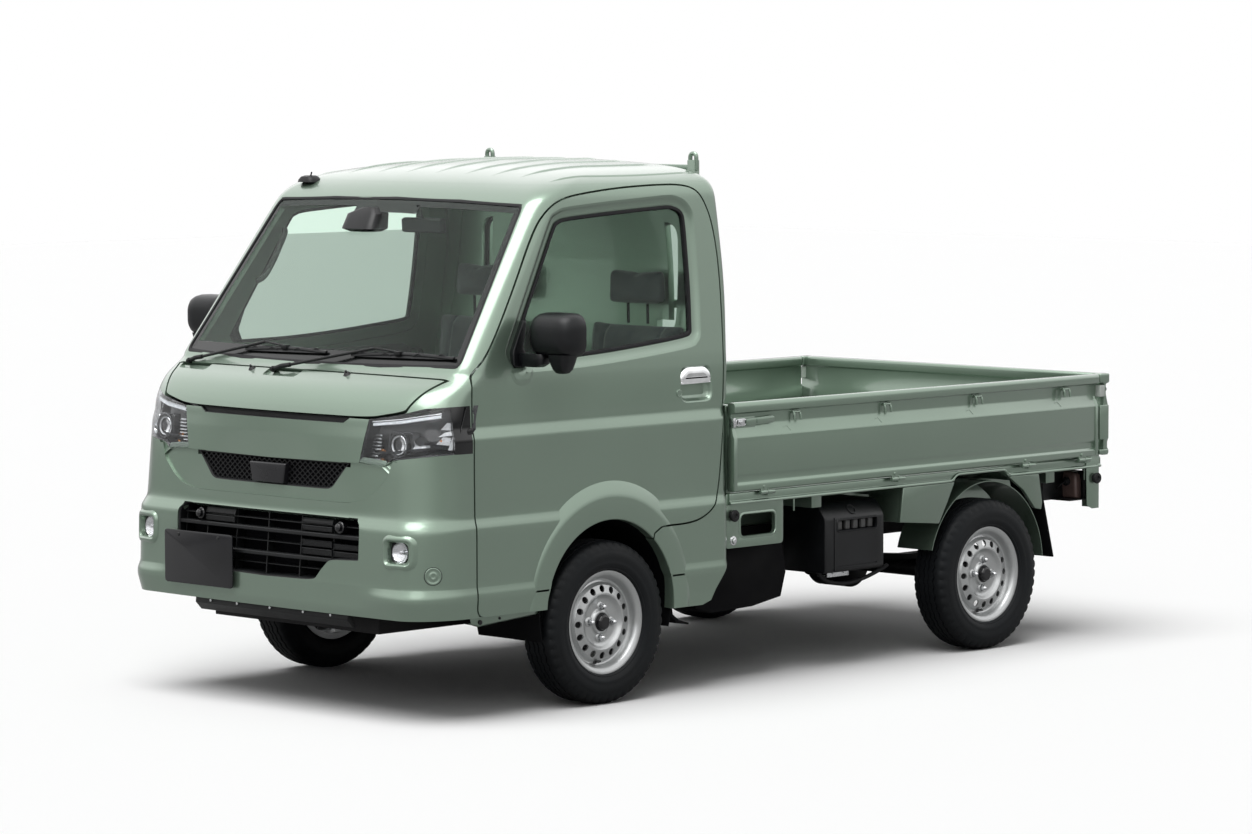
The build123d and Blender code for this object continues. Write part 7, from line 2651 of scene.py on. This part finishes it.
class TRUCK_OT_steering_wheel(bpy.types.Operator):
    """Makes the steering wheel with its rim, spokes and pad"""

    bl_idname = "truck.steering_wheel"
    bl_label = "Steering wheel"

    def execute(self, context):
        tilt = radians(WHEEL_TILT)
        axis = Vector((0, sin(tilt), cos(tilt)))
        across, up = Vector((1, 0, 0)), Vector((0, cos(tilt), -sin(tilt))) * -1
        centre = Vector((STEER_CENTRE[0], at(STEER_CENTRE[1]), STEER_CENTRE[2]))
        rim = lathe("rim", [
            (13.5 * cos(radians(a)), STEER_RADIUS + 13.5 * sin(radians(a))) for a in range(0, 360, 24)
        ], centre, 96, axis)
        pieces = [rim]
        for turn in (0, 180, 270):
            way = across * cos(radians(turn)) + up * sin(radians(turn))
            pieces.append(bent("spoke", [
                centre - axis * 20 + way * 30, centre - axis * 14 + way * 90,
                centre + way * (STEER_RADIUS - 2),
            ], 30, 12, 3))
        pieces.append(lathe("pad", [
            (-38, 0), (-38, 34), (-24, 58), (-8, 66), (0, 64), (5, 52), (7, 20), (7, 0),
        ], centre, 10, axis))
        finished(
            "steering_wheel_form", pieces, "mirror_case", "black_plastic", "steering_wheel",
            body="steering_wheel", angle=40,
        )
        return {"FINISHED"}


class TRUCK_OT_cab_trim(bpy.types.Operator):
    """Makes the door linings, window cranks, inner mirror, sensor housing, grip, sun visors, glass borders
    and rear window seal
    """

    bl_idname = "truck.cab_trim"
    bl_label = "Cab trim"

    def execute(self, context):
        lining = collar("lining", filleted([(-480, 620), (430, 640), (440, 1090), (-440, 1080)], 60, 8), (
            (0, 32), (-3, 40), (-12, 46), (-40, 47),
        ), on_side)
        face = pane_of("lining_face", grown(filleted([
            (-480, 620), (430, 640), (440, 1090), (-440, 1080),
        ], 60, 8), -39.5), on_side, 47, 3)
        rest = block_loops("arm_rest", (
            (880, 640, 672, -180, 260), (892, 632, 674, -186, 266), (915, 634, 674, -186, 266),
            (922, 640, 672, -180, 260),
        ))
        handle = bent("window_crank", [
            (664, at(-60), 840), (640, at(-60), 840), (636, at(-20), 800), (620, at(-20), 800),
        ], 8, 7, 2)
        paired("door_lining", joined("door_lining", [face, lining, rest]), "door_", "lining")
        paired("window_crank", handle, "door_", "trim", angle=None)
        mirror_case = block_loops("inner_mirror", (
            (1510, 50, 225, -262, -240), (1514, 42, 232, -268, -238), (1552, 42, 232, -270, -240),
            (1558, 50, 225, -264, -242),
        ))
        stem = wire("mirror_stem", [(130, at(-256), 1552), (120, at(-262), 1600)], 7, 2)
        sensor = block_loops("sensor_housing", (
            (1510, -150, -40, -330, -262), (1520, -180, -20, -345, -250), (1568, -176, -30, -318, -240),
            (1590, -120, -60, -296, -238),
        ))
        finished("mirror_and_sensor", [mirror_case, stem, sensor], "mirror_case")
        grip = bent("assist_grip", [
            (-618, at(-190), 1500), (-598, at(-206), 1488), (-592, at(-262), 1400),
            (-596, at(-300), 1344), (-618, at(-318), 1330),
        ], 30, 10, 3, steps=6)
        ready(grip, "lining", angle=None)
        visors = [
            edge_round(prism("visor", [
                (side * 110, 1600), (side * 470, 1592), (side * 470, 1598), (side * 110, 1606),
            ], "Y", at(-215), at(-70)), 2)
            for side in (-1, 1)
        ]
        finished("sun_visors", visors, "lining")
        low = collar("lower_border", SCREEN_LOOP, ((-4, 3.4), (-20, 3.4)), on_front)
        band = strip(
            "border_band", spread([(-640, 1128), (640, 1128)], 40, closed=False), ((-16, 3.7), (22, 3.7)),
            on_front,
        )
        tab = strip(
            "border_tab", [(-170, 1590), (-60, 1594), (60, 1594), (130, 1592)], ((-26, 3.7), (20, 3.7)),
            on_front,
        )
        finished("screen_borders", [low, band, tab], "frit")
        seal = collar("rear_seal", REAR_WINDOW, ((5, -2), (4, -6), (-2, -6), (-9, -4), (-9, 6), (5, 6)),
                      lambda x, z, depth: (x, at(level_at(z)[6]) - depth, z))
        mull = [slab("mullion", (x - 9, at(607), 1150), (x + 9, at(616), 1530), 2) for x in (-160, 160)]
        finished("rear_window_seal", [seal] + mull, "rubber")
        return {"FINISHED"}


NODE_FINISHES = {
    # The bed's inner slot maps to the body paint darkened as painted shade.
    "body_paint": "paint", "body_paint_inner": "shade_darkened_paint", "chassis_black": "chassis",
    "engine_grey": "cast", "spring_steel": "chassis", "exhaust_steel": "cast",
    "black_plastic": "trim", "clear_glass": "glass", "lamp_glass": "lens", "plate_black": "frit",
    "dark_plastic": "dash", "seat_cloth": "seat", "rubber_black": "rubber", "red_lens": "red",
    "wheel_silver": "silver", "tyre_rubber": "tyre",
}


class TRUCK_OT_frame_finishes(bpy.types.Operator):
    """Gives every part of the bare frame its finish"""

    bl_idname = "truck.frame_finishes"
    bl_label = "Frame finishes"

    def execute(self, context):
        FINISHES.update(make_finishes(context.scene.truck_paint))
        slots = {part["node"]: part["material_slot"] for part in frame["record"]["subparts"]}
        for node, piece in frame["nodes"].items():
            piece.data.materials.clear()
            piece.data.materials.append(FINISHES[NODE_FINISHES[slots[node]]])
        return {"FINISHED"}
OPERATORS = (
    TRUCK_OT_frame_finishes, TRUCK_OT_stage, TRUCK_OT_cab_panels, TRUCK_OT_glazing,
    TRUCK_OT_nose_trim, TRUCK_OT_lower_grille, TRUCK_OT_plates, TRUCK_OT_headlamps,
    TRUCK_OT_fog_lamps, TRUCK_OT_mirrors, TRUCK_OT_handles, TRUCK_OT_wipers, TRUCK_OT_roof_ribs,
    TRUCK_OT_wheels, TRUCK_OT_wheel_arches, TRUCK_OT_side_gates, TRUCK_OT_tailgate, TRUCK_OT_bed,
    TRUCK_OT_running_gear, TRUCK_OT_battery_box, TRUCK_OT_rear_fenders, TRUCK_OT_tail_lamps, TRUCK_OT_seats,
    TRUCK_OT_dashboard, TRUCK_OT_steering_wheel, TRUCK_OT_cab_trim,
)


class TRUCK_PT_pieces(bpy.types.Panel):
    """Lists the truck's settings and its pieces"""

    bl_idname = "TRUCK_PT_pieces"
    bl_label = "Drop-side truck"
    bl_space_type = "VIEW_3D"
    bl_region_type = "UI"
    bl_category = "Truck"

    def draw(self, context):
        for settings in (context.scene.truck_paint, context.scene.truck_sizes):
            for name in settings.__annotations__:
                self.layout.prop(settings, name)
        for operator in OPERATORS:
            self.layout.operator(operator.bl_idname)


SETTINGS = (TruckPaintSettings, TruckSizeSettings)


def register():
    for kind in (*SETTINGS, *OPERATORS, TRUCK_PT_pieces):
        bpy.utils.register_class(kind)
    bpy.types.Scene.truck_paint = bpy.props.PointerProperty(type=TruckPaintSettings)
    bpy.types.Scene.truck_sizes = bpy.props.PointerProperty(type=TruckSizeSettings)


def unregister():
    del bpy.types.Scene.truck_sizes
    del bpy.types.Scene.truck_paint
    for kind in reversed((*SETTINGS, *OPERATORS, TRUCK_PT_pieces)):
        bpy.utils.unregister_class(kind)


def main():
    register()
    for operator in OPERATORS:
        group, action = operator.bl_idname.split(".")
        getattr(getattr(bpy.ops, group), action)()


if __name__ == "__main__":
    main()
